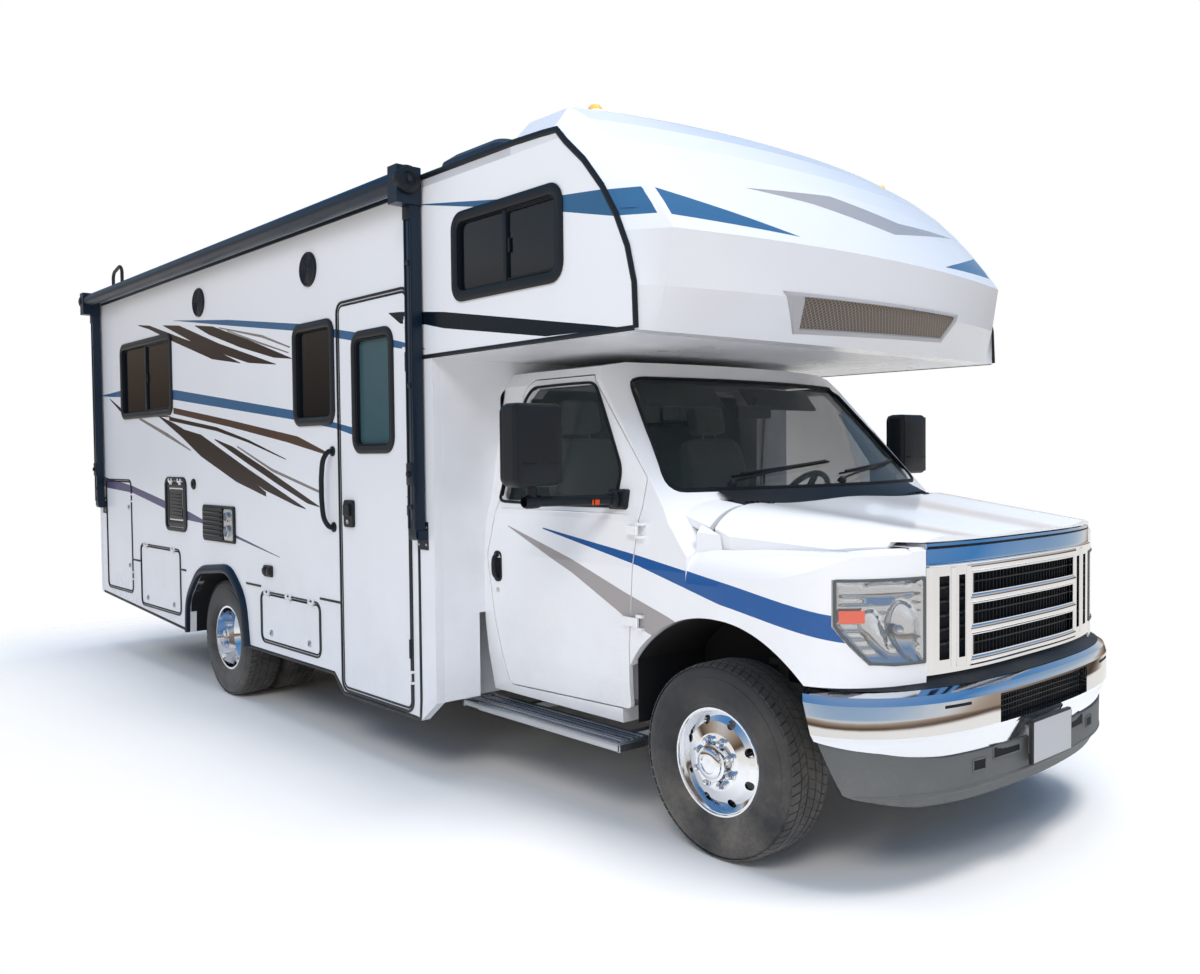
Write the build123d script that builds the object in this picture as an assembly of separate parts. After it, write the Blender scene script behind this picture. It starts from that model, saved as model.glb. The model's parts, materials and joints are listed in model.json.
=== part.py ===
"""Class C motorhome: a hollow coach body on a cutaway van chassis with twin rear wheels.

Millimetres. The origin is on the ground under the middle of the vehicle, the front faces -Y,
+X is the driver's side and +Z is up. Each node is written as one STEP file in parts/.
"""
from build123d import *
from math import cos, pi, sin, sqrt
import os

# ---------------------------------------------------------------- driving dimensions
# running gear
WHEELBASE = 4013
FRONT_AXLE_Y = -2865
TYRE_RADIUS = 372
TYRE_WIDTH = 225
TREAD_WIDTH = 176
BEAD_RADIUS = 203
FLANGE_RADIUS = 220
RIM_HALF_WIDTH = 82
RIM_WALL = 10
HUB_RADIUS = 72
SPINDLE_RADIUS = 30
RUNNING_CLEARANCE = 0.3
FRONT_WHEEL_X = 881
REAR_OUTER_X = 1127
DUAL_SPACING = 262
KINGPIN_X = 745
KINGPIN_RADIUS = 16
AXLE_TUBE_RADIUS = 60
BEAM_DEPTH = 90
BEAM_HEIGHT = 100
HAND_HOLES = 8

# chassis frame
FRAME_HALF_WIDTH = 434
RAIL_WIDTH = 70
FRAME_LOW = 500
FRAME_TOP = 680
FRAME_FRONT_Y = -3540
FRAME_REAR_Y = 3600
CROSS_HEIGHT = 70

# coach body
COACH_HALF_WIDTH = 1283
SIDE_WALL = 45
COACH_FRONT_Y = -1415
COACH_REAR_Y = 3565
FLOOR_LOW = 790
FLOOR_THICKNESS = 70
WALL_TOP = 2765
ROOF_EDGE_THICKNESS = 60
ROOF_CROWN = 120
LUTON_LOW = 1985
LUTON_FLOOR = 45
SKIRT_LOW = 380
LINER_WALL = 15
HATCH_LINER_DEPTH = 400
OUTRIGGER_CLEARANCE = 20
DOOR_GAP = 6
SEAL_GAP = 0.3
GLASS_THICKNESS = 6
FRAME_BEAD = 30
FRAME_PROUD = 8

# luton nose
NOSE_SHELL = 40
NOSE_REAR_Y = -2031
NOSE_REACH = 1100

# cab
CAB_FRONT_Y = -2740
CAB_SKIN = 55
CAB_DOOR_THICKNESS = 80
PANE_DEPTH = 26
CAB_FLOOR_LOW = 690
CAB_FLOOR_THICKNESS = 40
FRONT_SKIN = 16
DOOR_SKIN = 20
DOOR_FLANGE = 34
ARCH_RADIUS = 545
GRILLE_DEPTH = 60
LAMP_DEPTH = 70
GRILLE_HALF_WIDTH = 640
GRILLE_LOW = 752
GRILLE_TOP = 1214
BUMPER_THICKNESS = 60
DAM_THICKNESS = 40
ARCH_INNER_X = 560
ARCH_REAR_Y = -2432

# overall limits
MIRROR_OUTER_X = 1460
VEHICLE_FRONT_Y = -3695
VEHICLE_REAR_Y = 3695
AC_TOP = 3380

REAR_AXLE_Y = FRONT_AXLE_Y + WHEELBASE
AXLE_Z = TYRE_RADIUS
REAR_INNER_X = REAR_OUTER_X - DUAL_SPACING
FLOOR_TOP = FLOOR_LOW + FLOOR_THICKNESS
SIDES = {"right": -1, "left": 1}

# ---------------------------------------------------------------- tables
# window: (name, low y, high y, low z, high z, corner radius)
RIGHT_WINDOWS = [
    ("lounge", 1895, 2955, 1850, 2390, 60),
    ("galley", -465, -15, 1720, 2250, 60),
    ("bunk", -2350, -1610, 2225, 2585, 70),
]
LEFT_WINDOWS = [
    ("dinette", 1895, 2955, 1850, 2390, 60),
    ("galley", -765, 105, 1720, 2250, 60),
    ("bunk", -2350, -1610, 2225, 2585, 70),
]
REAR_WINDOW = (-450, 450, 1750, 2250, 60)
# hatch: (name, low y, high y, low z, high z, corner radius)
RIGHT_HATCHES = [
    ("closet", 2805, 3395, 520, 1365, 40),
    ("rear", 1810, 2605, 455, 895, 40),
    ("middle", -265, 485, 450, 735, 50),
]
LEFT_HATCHES = [
    ("rear", 1810, 2605, 455, 895, 40),
    ("middle", -265, 485, 450, 735, 50),
]
SERVICE_LID = (1687, 2031, 1060, 1376, 20)
ENTRY_DOOR = (-1205, -525, 325, 2320, 45)
ENTRY_WINDOW = (-1060, -685, 1570, 2148, 60)
# side wall outline (y, z), from the rear skirt forward and up round the luton seam
WALL_OUTLINE = [
    (COACH_REAR_Y, 457),
    (1655, 353),
    (1643, 573),
    (1434, 773),
    (950, 817),
    (758, 660),
    (710, SKIRT_LOW),
    (-419, SKIRT_LOW),
    (-523, 290),
    (-1282, 290),
    (COACH_FRONT_Y, 392),
    (COACH_FRONT_Y, LUTON_LOW),
    (-2768, LUTON_LOW),
    (-2761, 2155),
    (-2726, 2291),
    (-2667, 2417),
    (-2592, 2532),
    (-2490, 2650),
    (-2383, 2744),
    (-2330, WALL_TOP),
    (COACH_REAR_Y, WALL_TOP),
]
# nose level: (height z, side seam y, crease half width x, crease y, middle y)
NOSE_LEVELS = [
    (1985, -2768, 1190, -2772, -2812),
    (2145, -2762, 1182, -2818, -2960),
    (2350, -2700, 1176, -2855, -2980),
    (2450, -2648, 1174, -2785, -2915),
    (2550, -2582, 1172, -2706, -2845),
    (2650, -2496, 1170, -2618, -2767),
    (2750, -2378, 1170, -2518, -2676),
    (2850, -2240, 1170, -2396, -2560),
    (2930, -2110, 1170, -2272, -2434),
    (3000, -1980, 1170, -2120, -2280),
]
# nose roof section: (inboard of the coach side, height z); the top is one arc between the shoulders
NOSE_SHOULDER = [(0, 2806), (103, 2918)]
NOSE_CROWN_Z = 2962
# cab cross-section, half width x and height z, from the sill up to the roof centre
CAB_SECTION = [
    (950, 415),
    (985, 600),
    (1003, 760),
    (1007, 1080),
    (985, 1265),
    (965, 1320),
    (868, 1860),
    (820, 1925),
    (700, 1945),
]
# front wing section up to its shoulder, half width x and height z
WING_SECTION = [
    (950, 430),
    (985, 600),
    (1003, 760),
    (1007, 900),
    (1007, 1040),
    (988, 1112),
    (935, 1160),
    (860, 1180),
]
WING_DECK_Z = 1190
# plan of the front end from the middle to the wing, half width x and y
FRONT_PLAN = [
    (0, -3600),
    (400, -3588),
    (640, -3545),
    (850, -3455),
    (950, -3360),
    (995, -3200),
    (1007, -2900),
]
# bonnet sections: (y, side half width x, side foot z, then the crown as half width x and height z)
BONNET_SECTIONS = [
    (-3600, 700, 1100, [(700, 1160), (655, 1204), (400, 1228), (0, 1234)]),
    (-2600, 989, 1100, [(980, 1243), (894, 1317), (510, 1355), (0, 1367)]),
]
# edge of the bonnet in plan, half width x and y, from the nose to the cowl
BONNET_EDGE = [(655, -3700), (690, -3500), (800, -3250), (880, -3000), (905, -2900)]
BONNET_REAR_Y = -2800
BONNET_HINGE = (-2806, 1310)
BONNET_HINGE_X = 580
COWL_FRONT_Y = -2768
COWL_DROP = 8
COWL_SPAN = (250, 899)
BONNET_GAP = 9
WINDSCREEN_BASE = (-2735, 1362)
WINDSCREEN_TOP = (-2195, 1930)
WINDSCREEN_RADIUS = 3400
# cab door outline (y, z)
CAB_DOOR = [
    (-1545, 455),
    (-1440, 1057),
    (-1575, 1840),
    (-1625, 1888),
    (-2050, 1888),
    (-2475, 1440),
    (-2424, 787),
    (-2390, 480),
]
CAB_DOOR_WINDOW = [
    (-1495, 1325),
    (-1600, 1790),
    (-1650, 1842),
    (-2070, 1842),
    (-2305, 1475),
    (-2290, 1325),
]
# bumper level: (height z, set back from the plan)
BUMPER_LEVELS = [(440, 34), (545, 6), (562, 0), (672, 0), (700, 8), (716, 26)]
# lower edges in side view (y, z)
BUMPER_LOW_EDGE = [(-3311, 538), (-3496, 506), (-3600, 470), (-3760, 463)]
DAM_LOW_EDGE = [(-3393, 356), (-3535, 299), (-3760, 280)]
# air dam level: (height z, set back from the plan)
DAM_LEVELS = [(270, 60), (330, 34), (345, 22), (560, 20)]
# plan of the bumper's outer face from the middle to its end, half width x and y
BUMPER_PLAN = [(0, -3681), (350, -3668), (620, -3625), (850, -3515), (950, -3400), (985, -3252)]


# ---------------------------------------------------------------- shape helpers
def outline(points, radius=0):
    """A filled outline facing up, whichever way round its points run."""
    area = sum(a[0] * b[1] - b[0] * a[1] for a, b in zip(points, points[1:] + points[:1]))
    if area < 0:
        points = list(reversed(points))
    shape = Polygon(*points, align=None)
    if radius:
        shape = fillet(shape.vertices(), radius)
    return shape


def rectangle(low_u, high_u, low_v, high_v):
    return [(low_u, low_v), (high_u, low_v), (high_u, high_v), (low_u, high_v)]


def prism_x(points, low, high, radius=0):
    return extrude(Plane.YZ.offset(low) * outline(points, radius), amount=high - low)


def prism_y(points, low, high, radius=0):
    return extrude(Plane.XZ.offset(-high) * outline(points, radius), amount=high - low)


def prism_z(points, low, high, radius=0):
    return extrude(Plane.XY.offset(low) * outline(points, radius), amount=high - low)


def block(low_x, high_x, low_y, high_y, low_z, high_z):
    centre = ((low_x + high_x) / 2, (low_y + high_y) / 2, (low_z + high_z) / 2)
    return Pos(*centre) * Box(high_x - low_x, high_y - low_y, high_z - low_z)


def strut(start, end, radius):
    """A round bar between two points."""
    line = Vector(*end) - Vector(*start)
    return extrude(Plane(origin=start, z_dir=line.normalized()) * Circle(radius), amount=line.length)


def both_sides(points):
    """Close a half outline, given for positive x, over the middle plane."""
    return points + [(-u, v) for u, v in reversed(points) if u > 0]


def rod_x(x_low, x_high, y, z, radius):
    return Pos((x_low + x_high) / 2, y, z) * Rot(0, 90, 0) * Cylinder(radius, x_high - x_low)


def rod_y(y_low, y_high, x, z, radius):
    return Pos(x, (y_low + y_high) / 2, z) * Rot(90, 0, 0) * Cylinder(radius, y_high - y_low)


def rod_z(z_low, z_high, x, y, radius):
    return Pos(x, y, (z_low + z_high) / 2) * Cylinder(radius, z_high - z_low)


def turned(profile, x, y, side):
    """Turn a profile of (outboard distance, radius) about the axle line through x, y."""
    plane = Plane(origin=(x, y, AXLE_Z), x_dir=(side, 0, 0), z_dir=(0, -side, 0))
    return revolve(plane * outline(profile), axis=Axis((x, y, AXLE_Z), (1, 0, 0)))


def wall_strip(side, thickness=SIDE_WALL):
    """The low and high x of a side wall of this thickness."""
    edges = sorted([side * COACH_HALF_WIDTH, side * (COACH_HALF_WIDTH - thickness)])
    return edges[0], edges[1]


nodes = {}

# ---------------------------------------------------------------- hinges
HINGE_OUT = 9
KNUCKLE_RADIUS = 8
HINGE_PIN_RADIUS = 4
KNUCKLE_LENGTH = 36
HINGE_TAB = 20


def hinge(origin, side, into_frame):
    """A butt hinge on the outer face: its knuckle for the leaf, and its pin and ears for the frame."""
    outward = Vector(side, 0, 0)
    plane = Plane(origin=origin, x_dir=outward, z_dir=outward.cross(Vector(*into_frame)))
    leaf_tab = Pos(-HINGE_OUT / 2 - 0.5, -HINGE_TAB / 2, 0) * Box(HINGE_OUT + 1, HINGE_TAB, KNUCKLE_LENGTH)
    leaf_part = Cylinder(KNUCKLE_RADIUS, KNUCKLE_LENGTH) + leaf_tab
    leaf_part -= Cylinder(HINGE_PIN_RADIUS + RUNNING_CLEARANCE, KNUCKLE_LENGTH + 10)
    ear = 12
    pin_length = KNUCKLE_LENGTH + 4 + 2 * ear
    frame_part = Cylinder(HINGE_PIN_RADIUS, pin_length)
    for end in (-1, 1):
        place = Pos(-2.5, 10, end * (pin_length - ear) / 2)
        frame_part += place * Box(HINGE_OUT + 5, 24, ear)
    return plane.location * leaf_part, plane.location * frame_part


# ---------------------------------------------------------------- wheels and tyres
half_width = TYRE_WIDTH / 2
half_tread = TREAD_WIDTH / 2
tyre_profile = [
    (-RIM_HALF_WIDTH + 4, BEAD_RADIUS + RUNNING_CLEARANCE),
    (RIM_HALF_WIDTH - 4, BEAD_RADIUS + RUNNING_CLEARANCE),
    (RIM_HALF_WIDTH + 2, FLANGE_RADIUS + 2),
    (half_width - 8, 250),
    (half_width, 290),
    (half_width - 6, 325),
    (half_tread + 8, 357),
    (half_tread - 6, TYRE_RADIUS - 3),
    (half_tread - 30, TYRE_RADIUS),
    (-half_tread + 30, TYRE_RADIUS),
    (-half_tread + 6, TYRE_RADIUS - 3),
    (-half_tread - 8, 357),
    (-half_width + 6, 325),
    (-half_width, 290),
    (-half_width + 8, 250),
    (-RIM_HALF_WIDTH - 2, FLANGE_RADIUS + 2),
]


def barrel_profile():
    inner = BEAD_RADIUS - RIM_WALL
    edge = RIM_HALF_WIDTH + RIM_WALL
    return [
        (-edge, inner),
        (edge, inner),
        (edge, FLANGE_RADIUS),
        (RIM_HALF_WIDTH + 2, FLANGE_RADIUS),
        (RIM_HALF_WIDTH - 4, BEAD_RADIUS),
        (-RIM_HALF_WIDTH + 4, BEAD_RADIUS),
        (-RIM_HALF_WIDTH - 2, FLANGE_RADIUS),
        (-edge, FLANGE_RADIUS),
    ]


def hand_holes(x, y, side, radius, at_radius, reach):
    holes = []
    for k in range(HAND_HOLES):
        angle = 2 * pi * (k + 0.5) / HAND_HOLES
        hole_y = y + at_radius * cos(angle)
        hole_z = AXLE_Z + at_radius * sin(angle)
        ends = sorted([x + side * reach[0], x + side * reach[1]])
        holes.append(rod_x(ends[0], ends[1], hole_y, hole_z, radius))
    return holes


def hub_bore(x, y, side, mouth, bottom):
    ends = sorted([x + side * mouth, x + side * bottom])
    return rod_x(ends[0], ends[1], y, AXLE_Z, SPINDLE_RADIUS + RUNNING_CLEARANCE)


FRONT_HUB_MOUTH = -45
FRONT_BORE_BOTTOM = 75
REAR_HUB_MOUTH = -DUAL_SPACING + 60
REAR_BORE_BOTTOM = -70
for name, side in SIDES.items():
    x = side * FRONT_WHEEL_X
    inner = BEAD_RADIUS - RIM_WALL
    nodes["tyre_front_" + name] = turned(tyre_profile, x, FRONT_AXLE_Y, side)
    cover = [
        (48, inner),
        (62, inner),
        (84, 152),
        (96, 108),
        (98, HUB_RADIUS + 6),
        (128, HUB_RADIUS - 4),
        (134, 40),
        (134, 0),
        (FRONT_HUB_MOUTH, 0),
        (FRONT_HUB_MOUTH, HUB_RADIUS - 12),
        (70, HUB_RADIUS - 12),
        (84, 108),
        (72, 152),
    ]
    rim = turned(barrel_profile(), x, FRONT_AXLE_Y, side) + turned(cover, x, FRONT_AXLE_Y, side)
    for hole in hand_holes(x, FRONT_AXLE_Y, side, 17, 160, (40, 110)):
        rim -= hole
    rim -= hub_bore(x, FRONT_AXLE_Y, side, FRONT_HUB_MOUTH - 1, FRONT_BORE_BOTTOM)
    nodes["wheel_front_" + name] = rim

    outer_x = side * REAR_OUTER_X
    inner_x = side * REAR_INNER_X
    outer_tyre = turned(tyre_profile, outer_x, REAR_AXLE_Y, side)
    inner_tyre = turned(tyre_profile, inner_x, REAR_AXLE_Y, side)
    nodes["tyres_rear_" + name] = Compound(children=[outer_tyre.solid(), inner_tyre.solid()])
    mate = -DUAL_SPACING / 2
    dish = [
        (-20, inner),
        (-34, inner),
        (mate - 10, 150),
        (-DUAL_SPACING + 34, inner),
        (-DUAL_SPACING + 20, inner),
        (mate - 10, 132),
        (REAR_HUB_MOUTH, 110),
        (REAR_HUB_MOUTH, 0),
        (-24, 0),
        (-24, 50),
        (-34, 68),
        (mate + 12, 78),
        (mate + 10, 132),
    ]
    pair = turned(barrel_profile(), outer_x, REAR_AXLE_Y, side)
    pair += turned(barrel_profile(), inner_x, REAR_AXLE_Y, side)
    pair += turned(dish, outer_x, REAR_AXLE_Y, side)
    pair -= hub_bore(outer_x, REAR_AXLE_Y, side, REAR_HUB_MOUTH - 1, REAR_BORE_BOTTOM)
    nodes["wheels_rear_" + name] = pair

# ---------------------------------------------------------------- axles, knuckles, springs
eye_radius = BEAM_DEPTH / 2
beam = block(-KINGPIN_X, KINGPIN_X, FRONT_AXLE_Y - BEAM_DEPTH / 2, FRONT_AXLE_Y + BEAM_DEPTH / 2,
             AXLE_Z - BEAM_HEIGHT / 2, AXLE_Z + BEAM_HEIGHT / 2)
web_pocket = BEAM_DEPTH / 2 - 14
for face in (-1, 1):
    low_y = FRONT_AXLE_Y + face * BEAM_DEPTH / 2 - web_pocket
    high_y = FRONT_AXLE_Y + face * BEAM_DEPTH / 2 + web_pocket
    beam -= block(-KINGPIN_X + 90, KINGPIN_X - 90, low_y, high_y, AXLE_Z - 30, AXLE_Z + 30)
for side in SIDES.values():
    beam += rod_z(AXLE_Z - BEAM_HEIGHT / 2, AXLE_Z + BEAM_HEIGHT / 2, side * KINGPIN_X, FRONT_AXLE_Y, eye_radius)
for side in SIDES.values():
    beam -= rod_z(AXLE_Z - BEAM_HEIGHT, AXLE_Z + BEAM_HEIGHT, side * KINGPIN_X, FRONT_AXLE_Y,
                  KINGPIN_RADIUS + RUNNING_CLEARANCE)
nodes["front_axle"] = beam

KNUCKLE_GAP = 5
ear_low = AXLE_Z + BEAM_HEIGHT / 2 + KNUCKLE_GAP
ear_high = ear_low + 36
upright_x = KINGPIN_X + eye_radius + KNUCKLE_GAP
for name, side in SIDES.items():
    pin_x = side * KINGPIN_X
    knuckle = rod_z(2 * AXLE_Z - ear_high, ear_high, pin_x, FRONT_AXLE_Y, KINGPIN_RADIUS)
    for low in (ear_low, 2 * AXLE_Z - ear_high):
        ear_x = sorted([pin_x, side * (upright_x + 24)])
        knuckle += block(ear_x[0], ear_x[1], FRONT_AXLE_Y - 38, FRONT_AXLE_Y + 38, low, low + ear_high - ear_low)
        knuckle += rod_z(low, low + ear_high - ear_low, pin_x, FRONT_AXLE_Y, 38)
    upright = sorted([side * upright_x, side * (upright_x + 24)])
    knuckle += block(upright[0], upright[1], FRONT_AXLE_Y - 38, FRONT_AXLE_Y + 38, 2 * AXLE_Z - ear_high, ear_high)
    spindle = sorted([side * upright_x, side * (FRONT_WHEEL_X + FRONT_BORE_BOTTOM - 6)])
    knuckle += rod_x(spindle[0], spindle[1], FRONT_AXLE_Y, AXLE_Z, SPINDLE_RADIUS)
    nodes["knuckle_" + name] = knuckle

DIFF_RADIUS = 165
GEARBOX_REAR_Y = -1750
SHAFT_Z = 470
SHAFT_RADIUS = 42
axle_end = REAR_OUTER_X + REAR_HUB_MOUTH - 6
spindle_end = REAR_OUTER_X + REAR_BORE_BOTTOM - 6
rear = rod_x(-axle_end, axle_end, REAR_AXLE_Y, AXLE_Z, AXLE_TUBE_RADIUS)
rear += rod_x(-spindle_end, spindle_end, REAR_AXLE_Y, AXLE_Z, SPINDLE_RADIUS)
rear += Pos(0, REAR_AXLE_Y, AXLE_Z) * Sphere(DIFF_RADIUS)
rear += strut((0, GEARBOX_REAR_Y + 1.5, SHAFT_Z), (0, REAR_AXLE_Y - DIFF_RADIUS + 20, AXLE_Z + 20), SHAFT_RADIUS)
nodes["rear_axle"] = rear

LEAF_X = 520
LEAF_WIDTH = 76
LEAF_THICKNESS = 46
LEAF_REACH = 700
LEAF_RISE = 90
COIL_X = 520
COIL_RADIUS = 58
springs = []
leaf_low = AXLE_Z + AXLE_TUBE_RADIUS
for side in SIDES.values():
    low_arc = ThreePointArc((REAR_AXLE_Y - LEAF_REACH, leaf_low + LEAF_RISE), (REAR_AXLE_Y, leaf_low),
                            (REAR_AXLE_Y + LEAF_REACH, leaf_low + LEAF_RISE))
    high_arc = ThreePointArc((REAR_AXLE_Y + LEAF_REACH, leaf_low + LEAF_RISE + LEAF_THICKNESS),
                             (REAR_AXLE_Y, leaf_low + LEAF_THICKNESS),
                             (REAR_AXLE_Y - LEAF_REACH, leaf_low + LEAF_RISE + LEAF_THICKNESS))
    ends = [Line(low_arc @ 1, high_arc @ 0), Line(high_arc @ 1, low_arc @ 0)]
    leaf_face = make_face([low_arc, ends[0], high_arc, ends[1]])
    leaf = extrude(Plane.YZ.offset(side * LEAF_X - LEAF_WIDTH / 2) * leaf_face, amount=LEAF_WIDTH)
    springs.append(leaf.solid())
    coil = rod_z(AXLE_Z + BEAM_HEIGHT / 2, FRAME_TOP, side * COIL_X, FRONT_AXLE_Y, COIL_RADIUS)
    springs.append(coil.solid())
nodes["springs"] = Compound(children=springs)

# ---------------------------------------------------------------- frame, engine, tanks, exhaust
CROSS_Y = [-3500, -2300, -1300, -300, 560, 1800, 2700, 3470]
OUTRIGGER_Y = [-1300, -300, 560, 1800, 2700, 3470]
rail_inner = FRAME_HALF_WIDTH - RAIL_WIDTH
frame = None
for side in SIDES.values():
    rail_x = sorted([side * rail_inner, side * FRAME_HALF_WIDTH])
    rail = block(rail_x[0], rail_x[1], FRAME_FRONT_Y, FRAME_REAR_Y, FRAME_LOW, FRAME_TOP)
    frame = rail if frame is None else frame + rail
    tower_x = sorted([side * rail_inner, side * (COIL_X + COIL_RADIUS)])
    frame += block(tower_x[0], tower_x[1], FRONT_AXLE_Y - 70, FRONT_AXLE_Y + 70, FRAME_TOP, FRAME_TOP + 24)
    for end in (-1, 1):
        hanger_y = REAR_AXLE_Y + end * (LEAF_REACH + 20)
        hanger_x = sorted([side * FRAME_HALF_WIDTH, side * (LEAF_X + LEAF_WIDTH / 2)])
        frame += block(hanger_x[0], hanger_x[1], hanger_y - 20, hanger_y + 20, FRAME_LOW, FRAME_LOW + 110)
for y in CROSS_Y:
    frame += block(-rail_inner, rail_inner, y - 30, y + 30, FRAME_TOP - CROSS_HEIGHT, FRAME_TOP)
for y in OUTRIGGER_Y:
    reach = COACH_HALF_WIDTH - SIDE_WALL - HATCH_LINER_DEPTH - OUTRIGGER_CLEARANCE
    frame += block(-reach, reach, y - 25, y + 25, FRAME_TOP, FLOOR_LOW)
nodes["frame_rails"] = frame

ENGINE_FRONT_Y = -3300
ENGINE_REAR_Y = -2540
GEARBOX_RADIUS = 130
engine = block(-290, 290, ENGINE_FRONT_Y, ENGINE_REAR_Y, FRAME_LOW - 20, 1080)
nodes["engine"] = engine + rod_y(ENGINE_REAR_Y, GEARBOX_REAR_Y, 0, SHAFT_Z, GEARBOX_RADIUS)

TANK_LOW = 360
fuel_tank = fillet(block(-340, 340, 2260, 3240, TANK_LOW, FRAME_TOP - CROSS_HEIGHT).edges(), 30)
WASTE_TANK_X = -820
waste_tank = fillet(block(WASTE_TANK_X, -FRAME_HALF_WIDTH, -240, 380, 420, FRAME_TOP - 20).edges(), 25)
nodes["tanks"] = Compound(children=[fuel_tank.solid(), waste_tank.solid()])

PIPE_RADIUS = 32
PIPE_X = 230
PIPE_Z = 545
pipe_points = [(PIPE_X, -1700, PIPE_Z), (PIPE_X, 1700, PIPE_Z), (PIPE_X, 1920, 425), (600, 2130, 425),
               (600, 3560, 425)]
pipe_path = FilletPolyline(*pipe_points, radius=70)
pipe = sweep(Plane(origin=pipe_path @ 0, z_dir=pipe_path % 0) * Circle(PIPE_RADIUS), path=pipe_path)
pipe += rod_y(-1180, -420, PIPE_X, PIPE_Z, 64)
for hanger_y in CROSS_Y[2:5]:
    pipe += rod_z(PIPE_Z, FRAME_TOP - CROSS_HEIGHT, PIPE_X, hanger_y, 9)
nodes["exhaust"] = pipe

# ---------------------------------------------------------------- coach shell
def window_prism(window, low_x, high_x, inset=0):
    name, low_y, high_y, low_z, high_z, radius = window
    points = rectangle(low_y + inset, high_y - inset, low_z + inset, high_z - inset)
    return prism_x(points, low_x, high_x, radius - inset if inset < radius else 1)


def edge_hinges(side, opening, edge, places):
    """Hinges at these shares of the top or front edge of an opening (name, y, y, z, z, radius)."""
    name, low_y, high_y, low_z, high_z, radius = opening
    x = side * (COACH_HALF_WIDTH + HINGE_OUT)
    made = []
    for share in places:
        if edge == "top":
            y = low_y + share * (high_y - low_y)
            made.append(hinge((x, y, high_z - DOOR_GAP / 2), side, (0, 0, 1)))
        else:
            z = low_z + share * (high_z - low_z)
            made.append(hinge((x, low_y + DOOR_GAP / 2, z), side, (0, -1, 0)))
    return made


HINGED = {
    (-1, "closet"): ("front", (0.15, 0.85)),
    (-1, "rear"): ("top", (0.15, 0.85)),
    (-1, "middle"): ("top", (0.12, 0.5, 0.88)),
    (1, "rear"): ("top", (0.15, 0.85)),
    (1, "middle"): ("top", (0.12, 0.5, 0.88)),
    (-1, "door"): ("front", (0.08, 0.5, 0.92)),
    (-1, "lid"): ("top", (0.25, 0.75)),
}


def side_wall(side, windows, hatches, door=None, lid=None):
    low_x, high_x = wall_strip(side)
    wall = prism_x(WALL_OUTLINE, low_x, high_x)
    openings = windows + hatches
    if door:
        openings = openings + [("door",) + door]
    if lid:
        openings = openings + [("lid",) + lid]
    for opening in openings:
        wall -= window_prism(opening, low_x - 10, high_x + 10)
        if (side, opening[0]) in HINGED:
            for leaf_part, frame_part in edge_hinges(side, opening, *HINGED[side, opening[0]]):
                wall += frame_part
    return wall


nodes["coach_wall_right"] = side_wall(-1, RIGHT_WINDOWS, RIGHT_HATCHES, ENTRY_DOOR, SERVICE_LID)
nodes["coach_wall_left"] = side_wall(1, LEFT_WINDOWS, LEFT_HATCHES)

inside_x = COACH_HALF_WIDTH - SIDE_WALL
rear_low_y = COACH_REAR_Y - SIDE_WALL
rear_wall = block(-inside_x, inside_x, rear_low_y, COACH_REAR_Y, 457, WALL_TOP)
low_x, high_x, low_z, high_z, radius = REAR_WINDOW
rear_wall -= prism_y(rectangle(low_x, high_x, low_z, high_z), rear_low_y - 10, COACH_REAR_Y + 10, radius)
rear_wall -= block(-FRAME_HALF_WIDTH - 5, -rail_inner + 5, rear_low_y - 5, COACH_REAR_Y + 5, FRAME_LOW - 5, FRAME_TOP + 5)
rear_wall -= block(rail_inner - 5, FRAME_HALF_WIDTH + 5, rear_low_y - 5, COACH_REAR_Y + 5, FRAME_LOW - 5, FRAME_TOP + 5)
nodes["coach_wall_rear"] = rear_wall


def roof_face(extra):
    edge = WALL_TOP + extra
    arc = ThreePointArc((-COACH_HALF_WIDTH, edge), (0, edge + ROOF_CROWN), (COACH_HALF_WIDTH, edge))
    return arc


top_arc = roof_face(ROOF_EDGE_THICKNESS)
low_arc = roof_face(0)
roof_sketch = make_face([top_arc, Line(top_arc @ 1, low_arc @ 1), low_arc, Line(low_arc @ 0, top_arc @ 0)])
roof = extrude(Plane.XZ.offset(-COACH_REAR_Y) * roof_sketch, amount=COACH_REAR_Y - NOSE_REAR_Y)
nodes["coach_roof"] = roof + block(-inside_x, inside_x, rear_low_y, COACH_REAR_Y, WALL_TOP, WALL_TOP + ROOF_CROWN / 2)

# front bulkhead with the way through to the cab, and the luton floor over the cab
PASSAGE = (-900, 900, FLOOR_LOW, 1860, 60)
bulkhead = block(-inside_x, inside_x, COACH_FRONT_Y, COACH_FRONT_Y + SIDE_WALL, 392, LUTON_LOW)
low_x, high_x, low_z, high_z, radius = PASSAGE
bulkhead -= prism_y(rectangle(low_x, high_x, low_z, high_z), COACH_FRONT_Y - 5, COACH_FRONT_Y + SIDE_WALL + 5, radius)
bulkhead -= block(-inside_x + 200, inside_x - 200, COACH_FRONT_Y - 5, COACH_FRONT_Y + SIDE_WALL + 5, 380, FLOOR_LOW)
NOSE_FLOOR_Y = -2700
bulkhead += block(-inside_x, inside_x, NOSE_FLOOR_Y, COACH_FRONT_Y + SIDE_WALL, LUTON_LOW, LUTON_LOW + LUTON_FLOOR)
nodes["bulkhead"] = bulkhead


# ---------------------------------------------------------------- floor, stepwell, lockers
def open_box(side, low_y, high_y, low_z, high_z, depth):
    """A locker liner: a box of panels against the side wall, open outwards."""
    outer = side * inside_x
    back = side * (inside_x - depth)
    xs = sorted([outer, back])
    shell = block(xs[0], xs[1], low_y - LINER_WALL, high_y + LINER_WALL, low_z - LINER_WALL, high_z + LINER_WALL)
    void = sorted([outer + side * 10, back + (side * LINER_WALL)])
    return shell - block(void[0], void[1], low_y, high_y, low_z, high_z)


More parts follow.
